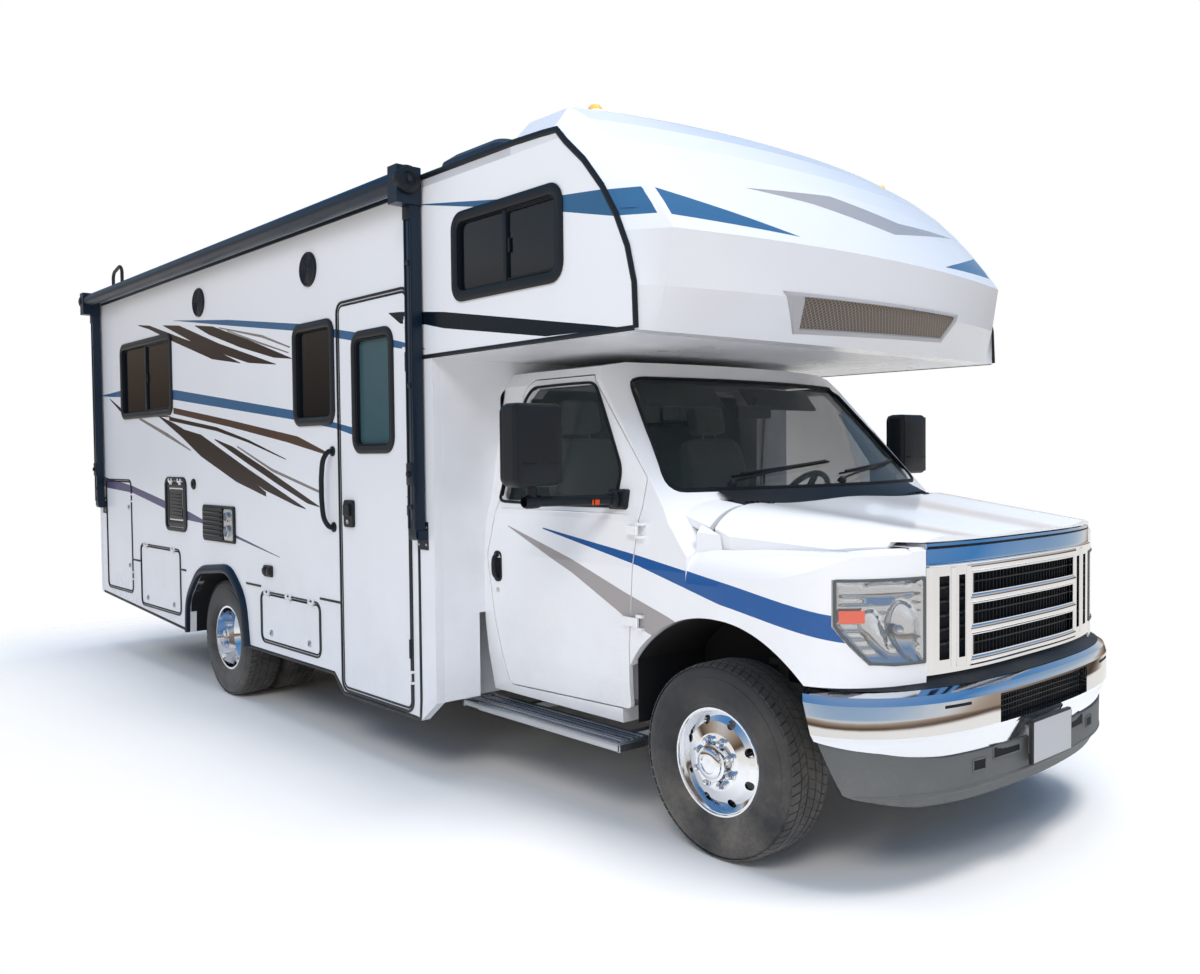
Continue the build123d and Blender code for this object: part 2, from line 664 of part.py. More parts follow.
floor = block(-inside_x, inside_x, COACH_FRONT_Y + SIDE_WALL, rear_low_y, FLOOR_LOW, FLOOR_TOP)
for side in SIDES.values():
    pocket_x = sorted([side * (inside_x + 10), side * (REAR_INNER_X - half_width - 60)])
    floor -= block(pocket_x[0], pocket_x[1], REAR_AXLE_Y - 470, REAR_AXLE_Y + 510, FLOOR_LOW - 10, FLOOR_TOP - 16)
for side, hatches in ((-1, RIGHT_HATCHES), (1, LEFT_HATCHES)):
    for name, low_y, high_y, low_z, high_z, radius in hatches:
        if high_z > FLOOR_LOW:
            well_x = sorted([side * (inside_x + 5), side * (inside_x - HATCH_LINER_DEPTH)])
            floor -= block(well_x[0], well_x[1], low_y - LINER_WALL, high_y + LINER_WALL, FLOOR_LOW - 5, FLOOR_TOP + 5)
STEP_DEPTH = 520
step_low_y = ENTRY_DOOR[0] + 20
step_high_y = ENTRY_DOOR[1] - 20
floor -= block(-inside_x - 5, -inside_x + STEP_DEPTH, step_low_y, step_high_y, FLOOR_LOW - 5, FLOOR_TOP + 5)
# step tread: (height, reach in from the wall)
STEP_TREADS = [(340, STEP_DEPTH), (600, STEP_DEPTH / 2)]
floor += block(-inside_x, -inside_x + STEP_DEPTH, step_low_y - LINER_WALL, step_low_y, STEP_TREADS[0][0], FLOOR_TOP)
floor += block(-inside_x, -inside_x + STEP_DEPTH, step_high_y, step_high_y + LINER_WALL, STEP_TREADS[0][0], FLOOR_TOP)
floor += block(-inside_x, -inside_x + STEP_DEPTH, step_low_y, step_high_y, STEP_TREADS[0][0], STEP_TREADS[0][0] + LINER_WALL)
riser_x = -inside_x + STEP_DEPTH / 2
floor += block(riser_x, riser_x + LINER_WALL, step_low_y, step_high_y, STEP_TREADS[0][0], STEP_TREADS[1][0])
floor += block(riser_x, -inside_x + STEP_DEPTH, step_low_y, step_high_y, STEP_TREADS[1][0], STEP_TREADS[1][0] + LINER_WALL)
floor += block(-inside_x + STEP_DEPTH - LINER_WALL, -inside_x + STEP_DEPTH, step_low_y, step_high_y, STEP_TREADS[1][0], FLOOR_TOP)
nodes["coach_floor"] = floor

lockers = []
for side, hatches in ((-1, RIGHT_HATCHES), (1, LEFT_HATCHES)):
    for name, low_y, high_y, low_z, high_z, radius in hatches:
        lockers.append(open_box(side, low_y, high_y, low_z, high_z, HATCH_LINER_DEPTH).solid())
nodes["lockers"] = Compound(children=lockers)


# ---------------------------------------------------------------- luton nose
def nose_solid(inset):
    """Loft up through the nose levels under a crowned top, with every face moved in by the inset."""
    rear_y = NOSE_REAR_Y + (20 if inset else 0)
    faces = []
    for z, seam_y, crease_x, crease_y, middle_y in NOSE_LEVELS:
        seam = (COACH_HALF_WIDTH - inset, seam_y + inset)
        crease = (crease_x - inset, crease_y + inset)
        bow = ThreePointArc((-crease[0], crease[1]), (0, middle_y + inset), crease)
        rim = Polyline(crease, seam, (seam[0], 0), (-seam[0], 0), (-seam[0], seam[1]), (-crease[0], crease[1]))
        face = make_face([bow] + rim.edges())
        faces.append(Plane.XY.offset(z) * face)
    body = loft(faces, ruled=True)
    (edge_in, edge_z), (shoulder_in, shoulder_z) = NOSE_SHOULDER
    edge_x = COACH_HALF_WIDTH - edge_in
    shoulder = (COACH_HALF_WIDTH - shoulder_in - inset, shoulder_z - inset)
    crown = ThreePointArc((-shoulder[0], shoulder[1]), (0, NOSE_CROWN_Z - inset), shoulder)
    low_z = LUTON_LOW + inset
    edge = (edge_x - inset, edge_z - inset)
    far_shoulder = (-shoulder[0], shoulder[1])
    skirt = Polyline(shoulder, edge, (edge[0], low_z), (-edge[0], low_z), (-edge[0], edge[1]), far_shoulder)
    section = make_face([crown] + skirt.edges())
    return body & extrude(Plane.XZ.offset(-rear_y) * section, amount=NOSE_REACH)


nose = nose_solid(0) - nose_solid(NOSE_SHELL)
for side in SIDES.values():
    low_x, high_x = wall_strip(side)
    nose -= prism_x(WALL_OUTLINE, low_x, high_x)
nose -= block(-inside_x, inside_x, NOSE_FLOOR_Y, NOSE_REAR_Y + 30, LUTON_LOW - 10, 2500)
nodes["luton_nose"] = nose


# ---------------------------------------------------------------- cab shell
def cab_prism(inset):
    half = [(u, v) for u, v in CAB_SECTION]
    section = outline(both_sides(half))
    if inset:
        section = offset(section, amount=-inset, kind=Kind.INTERSECTION)
    return extrude(Plane.XZ.offset(-COACH_FRONT_Y) * section, amount=COACH_FRONT_Y - CAB_FRONT_Y)


def behind_windscreen(inset):
    """Everything behind the windscreen's curved surface, moved in by the inset."""
    base_y, base_z = WINDSCREEN_BASE
    top_y, top_z = WINDSCREEN_TOP
    slope = Vector(0, top_y - base_y, top_z - base_z).normalized()
    plane = Plane(origin=(0, base_y, base_z), x_dir=(1, 0, 0), z_dir=slope)
    reach = 1200
    sag = WINDSCREEN_RADIUS - sqrt(WINDSCREEN_RADIUS ** 2 - reach ** 2)
    arc = ThreePointArc((-reach, sag + inset), (0, inset), (reach, sag + inset))
    lines = [Line(arc @ 1, (reach, 3000)), Line((reach, 3000), (-reach, 3000)), Line((-reach, 3000), arc @ 0)]
    return extrude(plane * make_face([arc] + lines), amount=1800, both=True)


def arch_void(side):
    """The wheel's opening in the wing, with its straight rear edge."""
    arch_x = sorted([side * ARCH_INNER_X, side * 1100])
    void = rod_x(arch_x[0], arch_x[1], FRONT_AXLE_Y, AXLE_Z, ARCH_RADIUS)
    return void + block(arch_x[0], arch_x[1], FRONT_AXLE_Y - ARCH_RADIUS, ARCH_REAR_Y, 0, AXLE_Z + 240)


FIREWALL_Y = CAB_FRONT_Y + 260
cab_outer = cab_prism(0) & behind_windscreen(0)
cab_inner = cab_prism(CAB_SKIN) & behind_windscreen(CAB_SKIN)
cab_inner -= block(-1200, 1200, CAB_FRONT_Y - 10, FIREWALL_Y, 400, 1300)
cab = cab_outer - cab_inner
passage_room = block(-1100, 1100, COACH_FRONT_Y - 200, COACH_FRONT_Y + 10, CAB_FLOOR_LOW, 1890)
cab -= cab_prism(CAB_SKIN) & passage_room
cab -= block(-900, 900, CAB_FRONT_Y - 10, COACH_FRONT_Y + 10, 300, CAB_FLOOR_LOW)
cab += block(-900, 900, FIREWALL_Y - 10, COACH_FRONT_Y, CAB_FLOOR_LOW, CAB_FLOOR_LOW + CAB_FLOOR_THICKNESS)
cab -= block(-880, 880, CAB_FRONT_Y - 10, FIREWALL_Y - 45, 300, 1290)
for side in SIDES.values():
    sill_x = sorted([side * 860, side * 900])
    cab += block(sill_x[0], sill_x[1], FIREWALL_Y, COACH_FRONT_Y, 415, CAB_FLOOR_LOW)
    sill_x = sorted([side * 860, side * 946])
    cab += block(sill_x[0], sill_x[1], FIREWALL_Y + 60, COACH_FRONT_Y, 415, 449)
    cab -= arch_void(side)

# hinge height and the y of the door's front seam there
CAB_HINGES = [(860, -2430), (1230, -2458)]
CAB_HINGE_Y = -2478
door_face = outline(CAB_DOOR, 30)
glass_face = outline(CAB_DOOR_WINDOW, 30)
screen_x = 893
screen_low = WINDSCREEN_BASE[1] + 25
screen_high = WINDSCREEN_TOP[1] - 62
screen_outline = [(-screen_x, screen_low), (screen_x, screen_low), (735, screen_high), (-735, screen_high)]
screen_hole = prism_y(screen_outline, -2800, -1950, 60)
screen_hole = screen_hole & (behind_windscreen(-20) - behind_windscreen(CAB_SKIN + 120))
skin_band = behind_windscreen(8) - behind_windscreen(8 + GLASS_THICKNESS)
windscreen = prism_y(screen_outline, -2800, -1950, 60) & skin_band
cab -= screen_hole

for name, side in SIDES.items():
    side_x = sorted([side * 700, side * 1100])
    doorway = extrude(Plane.YZ.offset(side_x[0]) * door_face, amount=side_x[1] - side_x[0])
    cab -= doorway - cab_prism(CAB_DOOR_THICKNESS + DOOR_GAP)
    leaf_face = offset(door_face, amount=-DOOR_GAP)
    leaf = extrude(Plane.YZ.offset(side_x[0]) * leaf_face, amount=side_x[1] - side_x[0])
    leaf = leaf & (cab_prism(0) - cab_prism(DOOR_SKIN))
    core_face = offset(door_face, amount=-DOOR_GAP - DOOR_FLANGE)
    core = extrude(Plane.YZ.offset(side_x[0]) * core_face, amount=side_x[1] - side_x[0])
    leaf += core & (cab_prism(DOOR_SKIN - 1) - cab_prism(CAB_DOOR_THICKNESS))
    pane_hole = extrude(Plane.YZ.offset(side_x[0]) * glass_face, amount=side_x[1] - side_x[0])
    hinge_x = side * (CAB_SECTION[3][0] + 1 + KNUCKLE_RADIUS)
    leaf = leaf - pane_hole
    for z, seam_y in CAB_HINGES:
        bore = rod_z(z - 60, z + 60, hinge_x, CAB_HINGE_Y, HINGE_PIN_RADIUS + RUNNING_CLEARANCE)
        strap_x = sorted([hinge_x - side * KNUCKLE_RADIUS * 0.75, hinge_x + side * 4])
        root_x = sorted([side * 985, hinge_x])
        leaf += rod_z(z - 18, z + 18, hinge_x, CAB_HINGE_Y, KNUCKLE_RADIUS)
        leaf += block(strap_x[0], strap_x[1], CAB_HINGE_Y, seam_y + 40, z - 18, z + 18)
        root = block(root_x[0], root_x[1], seam_y + 12, seam_y + 40, z - 18, z + 18)
        leaf += root - cab_prism(3)
        leaf -= bore
    nodes["cab_door_" + name] = leaf
    pane_face = offset(glass_face, amount=-SEAL_GAP)
    pane = extrude(Plane.YZ.offset(side_x[0]) * pane_face, amount=side_x[1] - side_x[0])
    pane = pane & (cab_prism(PANE_DEPTH) - cab_prism(PANE_DEPTH + GLASS_THICKNESS))
    nodes["cab_glass_" + name] = pane
WING_REAR = [(CAB_FRONT_Y, 400), (-2396, 400), (-2396, 480), (-2430, 787), (-2481, 1440), (CAB_FRONT_Y, 1440)]
wing_zone = prism_x(WING_REAR, -1100, 1100) & block(-1100, 1100, -2800, -2300, 700, 1300)
wing_skin = cab_outer - cab_prism(FRONT_SKIN) - block(-880, 880, -2800, -2300, 300, 1500)
wing_rear = wing_skin & wing_zone
for side in SIDES.values():
    wing_rear -= arch_void(side)
nodes["cab_shell"] = cab - (wing_zone & (cab_prism(-5) - cab_prism(FRONT_SKIN)))


# ---------------------------------------------------------------- front wings, bonnet, grille, lamps
def bonnet_loft(inset):
    faces = []
    for y, foot_x, foot_z, crown in BONNET_SECTIONS:
        half = [(u - inset if u else 0, v - inset) for u, v in crown]
        points = both_sides(half)
        foot = (foot_x - inset, foot_z - inset)
        top = Spline(*points)
        base = Polyline(points[-1], (-foot[0], foot[1]), foot, points[0])
        faces.append(Plane.XZ.offset(-y) * make_face([top] + base.edges()))
    return loft(faces, ruled=True)


def front_clip(inset):
    """The front end's outer form, with every face moved in by the inset."""
    half = [(u - inset, v) for u, v in WING_SECTION]
    half[-2] = (half[-2][0], half[-2][1] - inset * 0.7)
    half[-1] = (half[-1][0], half[-1][1] - inset)
    flank = Spline(*half)
    deck_z = WING_DECK_Z - inset
    far = Spline(*[(-u, v) for u, v in half])
    lid = Polyline(half[-1], (400, deck_z), (-400, deck_z), (-half[-1][0], half[-1][1]))
    base = Line((half[0][0], half[0][1]), (-half[0][0], half[0][1]))
    section = make_face([flank, far, base] + lid.edges())
    clip = extrude(Plane.XZ.offset(2600) * section, amount=1200) + bonnet_loft(inset)
    plan = [(u - inset if u else 0, v + inset) for u, v in FRONT_PLAN]
    tip = Spline(*[(-u, v) for u, v in reversed(plan)] + plan[1:])
    rear = Polyline(plan[-1], (plan[-1][0], -2600), (-plan[-1][0], -2600), (-plan[-1][0], plan[-1][1]))
    return clip & extrude(Plane.XY.offset(300) * make_face([tip] + rear.edges()), amount=1200)


clip_outer = front_clip(0)
clip = clip_outer - front_clip(FRONT_SKIN)
clip = clip & block(-1200, 1200, -3700, CAB_FRONT_Y, 430, 1500)
for side in SIDES.values():
    clip -= arch_void(side)
clip -= block(-1200, 1200, -3700, FRONT_AXLE_Y, 300, 728)
grille_box = block(-GRILLE_HALF_WIDTH, GRILLE_HALF_WIDTH, -3700, -3400, GRILLE_LOW, GRILLE_TOP)
LAMP_SIDE = [(-3367, 1100), (-3367, 940), (-3453, 806), (-3700, 790), (-3700, 1100)]
LAMP_INNER_X = 400
lamp_zone = prism_x(LAMP_SIDE, -1100, 1100)
lamp_zone -= block(-GRILLE_HALF_WIDTH, GRILLE_HALF_WIDTH, -3800, -3300, 700, 1300)
lamp_zone -= block(-LAMP_INNER_X, LAMP_INNER_X, -3800, -3000, 700, 1300)
plate = (clip_outer - front_clip(GRILLE_DEPTH)) & grille_box
lamps = (clip_outer - front_clip(LAMP_DEPTH)) & lamp_zone
clip -= block(-GRILLE_HALF_WIDTH, GRILLE_HALF_WIDTH, -3700, -3400, 700, GRILLE_TOP) + lamp_zone

SLOT_ROWS = [(800, 872), (912, 984), (1024, 1096)]
SLOT_HALF_WIDTH = 400
# upright slots beside the rows, near and far half width x
SIDE_SLOTS = [(445, 480), (530, 580)]
for low_z, high_z in SLOT_ROWS:
    plate -= block(-SLOT_HALF_WIDTH, SLOT_HALF_WIDTH, -3700, -3400, low_z, high_z)
for side in SIDES.values():
    for near, far in SIDE_SLOTS:
        xs = sorted([side * near, side * far])
        plate -= block(xs[0], xs[1], -3700, -3400, SLOT_ROWS[0][0], SLOT_ROWS[-1][1])
nodes["grille"] = plate


def bonnet_edge(gap):
    """The bonnet's outline in plan, opened out by the shut line's gap."""
    rear_y = BONNET_REAR_Y + (BONNET_REACH if gap else 0)
    half = [(u + gap, v) for u, v in BONNET_EDGE] + [(BONNET_EDGE[-1][0] + gap, rear_y)]
    return both_sides([(0, half[0][1])] + half + [(0, rear_y)])


BONNET_REACH = 200
bonnet_x = 1100
bonnet = clip & prism_z(bonnet_edge(0), 1105, 1500)
bonnet -= block(-bonnet_x, bonnet_x, -3700, -3440, 1000, GRILLE_TOP + 5)
bonnet = bonnet.solids().sort_by(SortBy.VOLUME)[-1]
cowl_form = bonnet_loft(COWL_DROP) - bonnet_loft(COWL_DROP + FRONT_SKIN) - behind_windscreen(0)
cowl = []
hinge_y, hinge_z = BONNET_HINGE
for side in SIDES.values():
    mid_x = side * BONNET_HINGE_X
    bonnet -= block(mid_x - 36, mid_x + 36, hinge_y - 16, BONNET_REAR_Y + 5, hinge_z - 40, 1400)
    bonnet += rod_x(mid_x - 15, mid_x + 15, hinge_y, hinge_z, KNUCKLE_RADIUS)
    bonnet += block(mid_x - 15, mid_x + 15, hinge_y - 40, hinge_y, hinge_z - 7, hinge_z + 5) & clip_outer
    bonnet -= rod_x(mid_x - 40, mid_x + 40, hinge_y, hinge_z, HINGE_PIN_RADIUS + RUNNING_CLEARANCE)
    cowl_x = sorted([side * COWL_SPAN[0], side * COWL_SPAN[1]])
    panel = cowl_form & block(cowl_x[0], cowl_x[1], COWL_FRONT_Y, -2600, 1150, 1400)
    panel += rod_x(mid_x - 30, mid_x + 30, hinge_y, hinge_z, HINGE_PIN_RADIUS)
    for low_x in (mid_x - 30, mid_x + 18):
        panel += block(low_x, low_x + 12, hinge_y - 7, COWL_FRONT_Y + 4, hinge_z - 7, hinge_z + 7)
    cowl.append(panel.solid())
nodes["bonnet"] = bonnet
nodes["cowl"] = Compound(children=cowl)
wings = clip - prism_z(bonnet_edge(BONNET_GAP), 1100, 1500) + wing_rear
for side in SIDES.values():
    hinge_x = side * (CAB_SECTION[3][0] + 1 + KNUCKLE_RADIUS)
    for z, seam_y in CAB_HINGES:
        wings += rod_z(z - 32, z + 32, hinge_x, CAB_HINGE_Y, HINGE_PIN_RADIUS)
        ear_x = sorted([side * 980, hinge_x + side * 4])
        for low in (z - 32, z + 20):
            ear = block(ear_x[0], ear_x[1], CAB_HINGE_Y - 30, CAB_HINGE_Y + 4, low, low + 12)
            wings += ear - cab_prism(3)
nodes["front_wings"] = Compound(children=list(wings.solids().sort_by(SortBy.VOLUME))[-2:])


# ---------------------------------------------------------------- bumpers
def bumper_form(plan, levels, inset):
    """Loft up through the levels behind a curved plan, with the outer face moved in by the inset."""
    faces = []
    for z, set_back in levels:
        depth = set_back + inset
        half = [(u - depth if u else 0, v + depth) for u, v in plan]
        edge = Spline(*[(-u, v) for u, v in reversed(half)] + half[1:])
        rear = Polyline(half[-1], (half[-1][0], -3000), (-half[-1][0], -3000), (-half[-1][0], half[-1][1]))
        faces.append(Plane.XY.offset(z) * make_face([edge] + rear.edges()))
    return loft(faces, ruled=True)


BUMPER_END_Y = -3252
bumper_side = [(BUMPER_END_Y, 760)] + BUMPER_LOW_EDGE + [(-3760, 760)]
bumper = bumper_form(BUMPER_PLAN, BUMPER_LEVELS, 0) - bumper_form(BUMPER_PLAN, BUMPER_LEVELS, BUMPER_THICKNESS)
bumper = bumper & prism_x(bumper_side, -1100, 1100)
bumper -= block(-350, 350, -3760, -3500, 560, 665)
for side in SIDES.values():
    xs = sorted([side * rail_inner, side * FRAME_HALF_WIDTH])
    bumper += block(xs[0], xs[1], -3650, FRAME_FRONT_Y, 540, 640) & bumper_form(BUMPER_PLAN, BUMPER_LEVELS, 20)
nodes["front_bumper"] = bumper
dam_side = list(reversed(BUMPER_LOW_EDGE)) + DAM_LOW_EDGE
dam = bumper_form(BUMPER_PLAN, DAM_LEVELS, 0) - bumper_form(BUMPER_PLAN, DAM_LEVELS, DAM_THICKNESS)
nodes["air_dam"] = dam & prism_x(dam_side, -1100, 1100)

REAR_BUMPER_LOW = 430
rear_bumper = block(-1180, 1180, FRAME_REAR_Y, VEHICLE_REAR_Y, REAR_BUMPER_LOW, REAR_BUMPER_LOW + 130)
RECEIVER_INNER = 51
RECEIVER_OUTER = 64
receiver_z = REAR_BUMPER_LOW - RECEIVER_OUTER / 2
receiver_low_y = 3380
half = RECEIVER_OUTER / 2
receiver = block(-half, half, receiver_low_y, VEHICLE_REAR_Y, receiver_z - half, receiver_z + half)
cavity = RECEIVER_INNER / 2
receiver -= block(-cavity, cavity, receiver_low_y - 5, VEHICLE_REAR_Y + 5, receiver_z - cavity, receiver_z + cavity)
PIN_HOLE_RADIUS = 8
PIN_HOLE_Y = 3640
receiver -= rod_x(-half - 5, half + 5, PIN_HOLE_Y, receiver_z, PIN_HOLE_RADIUS)
rear_bumper += receiver
cross_y = receiver_low_y + 40
rear_bumper += block(-rail_inner, rail_inner, cross_y - 30, cross_y + 30, receiver_z + half, receiver_z + half + 50)
for side in SIDES.values():
    xs = sorted([side * rail_inner, side * FRAME_HALF_WIDTH])
    rear_bumper += block(xs[0], xs[1], cross_y - 30, cross_y + 30, receiver_z + half, FRAME_LOW)
nodes["rear_bumper"] = rear_bumper

PLATE_WIDTH = 305
PLATE_HEIGHT = 152
front_plate = block(-PLATE_WIDTH / 2, PLATE_WIDTH / 2, VEHICLE_FRONT_Y, -3681, 376, 376 + PLATE_HEIGHT)
front_plate += block(-120, 120, -3682, -3640, 400, 500) - bumper - nodes["air_dam"]
rear_plate = block(600, 600 + PLATE_WIDTH, COACH_REAR_Y, COACH_REAR_Y + 10, 600, 600 + PLATE_HEIGHT)
nodes["number_plates"] = Compound(children=[front_plate.solid(), rear_plate.solid()])

# ---------------------------------------------------------------- leaves: doors, hatches, lids
def flush_leaf(side, opening, thickness):
    xs = wall_strip(side, thickness)
    leaf = window_prism(opening, xs[0], xs[1], DOOR_GAP)
    for leaf_part, frame_part in edge_hinges(side, opening, *HINGED[side, opening[0]]):
        leaf += leaf_part
    return leaf


entry = flush_leaf(-1, ("door",) + ENTRY_DOOR, SIDE_WALL)
entry -= window_prism(("door",) + ENTRY_WINDOW, -COACH_HALF_WIDTH - 10, -inside_x + 10)
nodes["entry_door"] = entry
HATCH_LEAF = 30
for side_name, side, hatches in (("right", -1, RIGHT_HATCHES), ("left", 1, LEFT_HATCHES)):
    for opening in hatches:
        nodes["hatch_" + side_name + "_" + opening[0]] = flush_leaf(side, opening, HATCH_LEAF)
nodes["service_lid"] = flush_leaf(-1, ("lid",) + SERVICE_LID, HATCH_LEAF)

# ---------------------------------------------------------------- coach glass and frames
frames = []
panes = []
for side, windows in ((-1, RIGHT_WINDOWS), (1, LEFT_WINDOWS)):
    low_x, high_x = wall_strip(side)
    ring_x = sorted([side * (COACH_HALF_WIDTH + FRAME_PROUD), side * (COACH_HALF_WIDTH - SIDE_WALL + 5)])
    face_x = sorted([side * (COACH_HALF_WIDTH + FRAME_PROUD), side * COACH_HALF_WIDTH])
    for window in windows:
        ring = window_prism(window, ring_x[0], ring_x[1], SEAL_GAP)
        ring += window_prism(window, face_x[0], face_x[1], -FRAME_BEAD / 2)
        ring -= window_prism(window, ring_x[0] - 5, ring_x[1] + 5, FRAME_BEAD)
        frames.append(ring.solid())
        pane_x = sorted([side * (COACH_HALF_WIDTH - 18), side * (COACH_HALF_WIDTH - 18 + GLASS_THICKNESS)])
        panes.append(window_prism(window, pane_x[0], pane_x[1], FRAME_BEAD).solid())
low_x, high_x, low_z, high_z, radius = REAR_WINDOW
rear_ring = prism_y(rectangle(low_x + SEAL_GAP, high_x - SEAL_GAP, low_z + SEAL_GAP, high_z - SEAL_GAP),
                    rear_low_y + 5, COACH_REAR_Y + FRAME_PROUD, radius)
rear_hole = rectangle(low_x + FRAME_BEAD, high_x - FRAME_BEAD, low_z + FRAME_BEAD, high_z - FRAME_BEAD)
rear_ring -= prism_y(rear_hole, rear_low_y, COACH_REAR_Y + FRAME_PROUD + 5, radius - FRAME_BEAD)
frames.append(rear_ring.solid())
panes.append(prism_y(rear_hole, COACH_REAR_Y - 18, COACH_REAR_Y - 18 + GLASS_THICKNESS, radius - FRAME_BEAD).solid())
nodes["window_frames"] = Compound(children=frames)
nodes["fixed_glass"] = Compound(children=panes + [windscreen.solid()])
entry_pane_x = sorted([-COACH_HALF_WIDTH + 18, -COACH_HALF_WIDTH + 18 + GLASS_THICKNESS])
nodes["entry_glass"] = window_prism(("door",) + ENTRY_WINDOW, entry_pane_x[0], entry_pane_x[1])

# ---------------------------------------------------------------- cab fittings
SEAT_X = 470
seats = []
for side in SIDES.values():
    base_z = CAB_FLOOR_LOW + CAB_FLOOR_THICKNESS
    x0 = side * SEAT_X
    seat = block(x0 - 200, x0 + 200, -2080, -1620, base_z, base_z + 200)
    seat += fillet(block(x0 - 260, x0 + 260, -2140, -1600, base_z + 200, base_z + 330).edges(), 40)
    back = fillet(block(x0 - 255, x0 + 255, -60, 60, 0, 640).edges(), 40)
    seat += Pos(0, -1640, base_z + 280) * Rot(-12, 0, 0) * back
    head = fillet(block(x0 - 130, x0 + 130, -45, 45, 0, 190).edges(), 35)
    seat += Pos(0, -1640, base_z + 280) * Rot(-12, 0, 0) * (Pos(0, 0, 632) * head)
    seats.append(seat.solid())
nodes["seats"] = Compound(children=seats)

DASH = [(FIREWALL_Y, 1000), (-2240, 1010), (-2200, 1180), (-2270, 1290), (FIREWALL_Y, 1298)]
dash = prism_x(DASH, -870, 870)
WHEEL_CENTRE = (SEAT_X, -2150, 1265)
column_plane = Plane(origin=WHEEL_CENTRE, z_dir=(0, -0.86, -0.51))
dash += extrude(column_plane * Circle(38), amount=150)
hoop = column_plane.location * Torus(190, 15)
spokes = column_plane.location * Box(380, 34, 18)
hub = column_plane.location * Cylinder(70, 40)
nodes["dashboard"] = dash + hoop + spokes + hub

MIRROR_Y = -2219
MIRROR_HEAD = (240, 110, 1410, 1740)
MIRROR_ARM_RADIUS = 21
MIRROR_FOOT = (940, -2330, 1350)
for name, side in SIDES.items():
    width, depth, head_low, head_high = MIRROR_HEAD
    head_x = sorted([side * MIRROR_OUTER_X, side * (MIRROR_OUTER_X - width)])
    head = fillet(block(head_x[0], head_x[1], MIRROR_Y - 60, MIRROR_Y - 60 + depth, head_low, head_high).edges(), 28)
    foot_x, foot_y, foot_z = MIRROR_FOOT
    elbow = (side * (MIRROR_OUTER_X - width / 2), MIRROR_Y, foot_z)
    arm = strut((side * foot_x, foot_y, foot_z), elbow, MIRROR_ARM_RADIUS)
    arm += Pos(*elbow) * Sphere(MIRROR_ARM_RADIUS)
    arm += strut(elbow, (elbow[0], MIRROR_Y, head_low + 20), MIRROR_ARM_RADIUS)
    root_x = sorted([side * (foot_x - 30), side * (foot_x + 45)])
    foot = fillet(block(root_x[0], root_x[1], foot_y - 48, foot_y + 60, foot_z - 42, foot_z + 42).edges(), 12)
    nodes["mirror_" + name] = head + arm + foot - cab_prism(0)

boards = []
for side in SIDES.values():
    xs = sorted([side * 870, side * 1060])
    board = block(xs[0], xs[1], -2420, COACH_FRONT_Y - 10, 330, 360)
    for y in (-2300, -1600):
        bracket_x = sorted([side * FRAME_HALF_WIDTH, side * 900])
        board += block(bracket_x[0], bracket_x[1], y - 20, y + 20, 330, 360)
        post_x = sorted([side * FRAME_HALF_WIDTH, side * (FRAME_HALF_WIDTH + 30)])
        board += block(post_x[0], post_x[1], y - 20, y + 20, 330, FRAME_LOW + 60)
    boards.append(board.solid())
nodes["running_boards"] = Compound(children=boards)

# ---------------------------------------------------------------- roof units, ladder, awning, rear lamps
def roof_height(x):
    crown_radius = (COACH_HALF_WIDTH ** 2 + ROOF_CROWN ** 2) / (2 * ROOF_CROWN)
    return WALL_TOP + ROOF_EDGE_THICKNESS + ROOF_CROWN - crown_radius + sqrt(crown_radius ** 2 - x ** 2)


roof_crown_z = roof_height(0)
AC_Y = -290
# air conditioner level: (height z, width, length, corner radius)
AC_LEVELS = [
    (roof_crown_z - 20, 640, 700, 90),
    (AC_TOP - 110, 630, 690, 90),
    (AC_TOP - 45, 590, 640, 80),
    (AC_TOP, 470, 520, 70),
]
ac = loft([Plane.XY.offset(z) * RectangleRounded(x, y, r) for z, x, y, r in AC_LEVELS], ruled=True)
ac = Pos(0, AC_Y, 0) * ac - roof
vent = Pos(0, 1500, roof_crown_z + 30) * Box(400, 400, 80) - roof
vent_front = Pos(0, -1500, roof_crown_z + 30) * Box(400, 400, 80) - roof
nodes["roof_units"] = Compound(children=[ac.solid(), vent.solid(), vent_front.solid()])

LADDER_RAILS = (-1120, -750)
RAIL_RADIUS = 13
STANDOFF_Y = VEHICLE_REAR_Y - RAIL_RADIUS - 40
ladder = None
for x in LADDER_RAILS:
    path = FilletPolyline((x, STANDOFF_Y, 900), (x, STANDOFF_Y, 3060), (x, 3420, 3110), (x, 3420, roof_height(x)), radius=60)
    tube = sweep(Plane(origin=path @ 0, z_dir=path % 0) * Circle(RAIL_RADIUS), path=path)
    ladder = tube if ladder is None else ladder + tube
    for z in (950, 1750, 2550):
        ladder += rod_y(COACH_REAR_Y, STANDOFF_Y, x, z, 10)
for k in range(7):
    ladder += rod_x(LADDER_RAILS[0], LADDER_RAILS[1], STANDOFF_Y, 1000 + 300 * k, RAIL_RADIUS)
nodes["ladder"] = ladder - roof

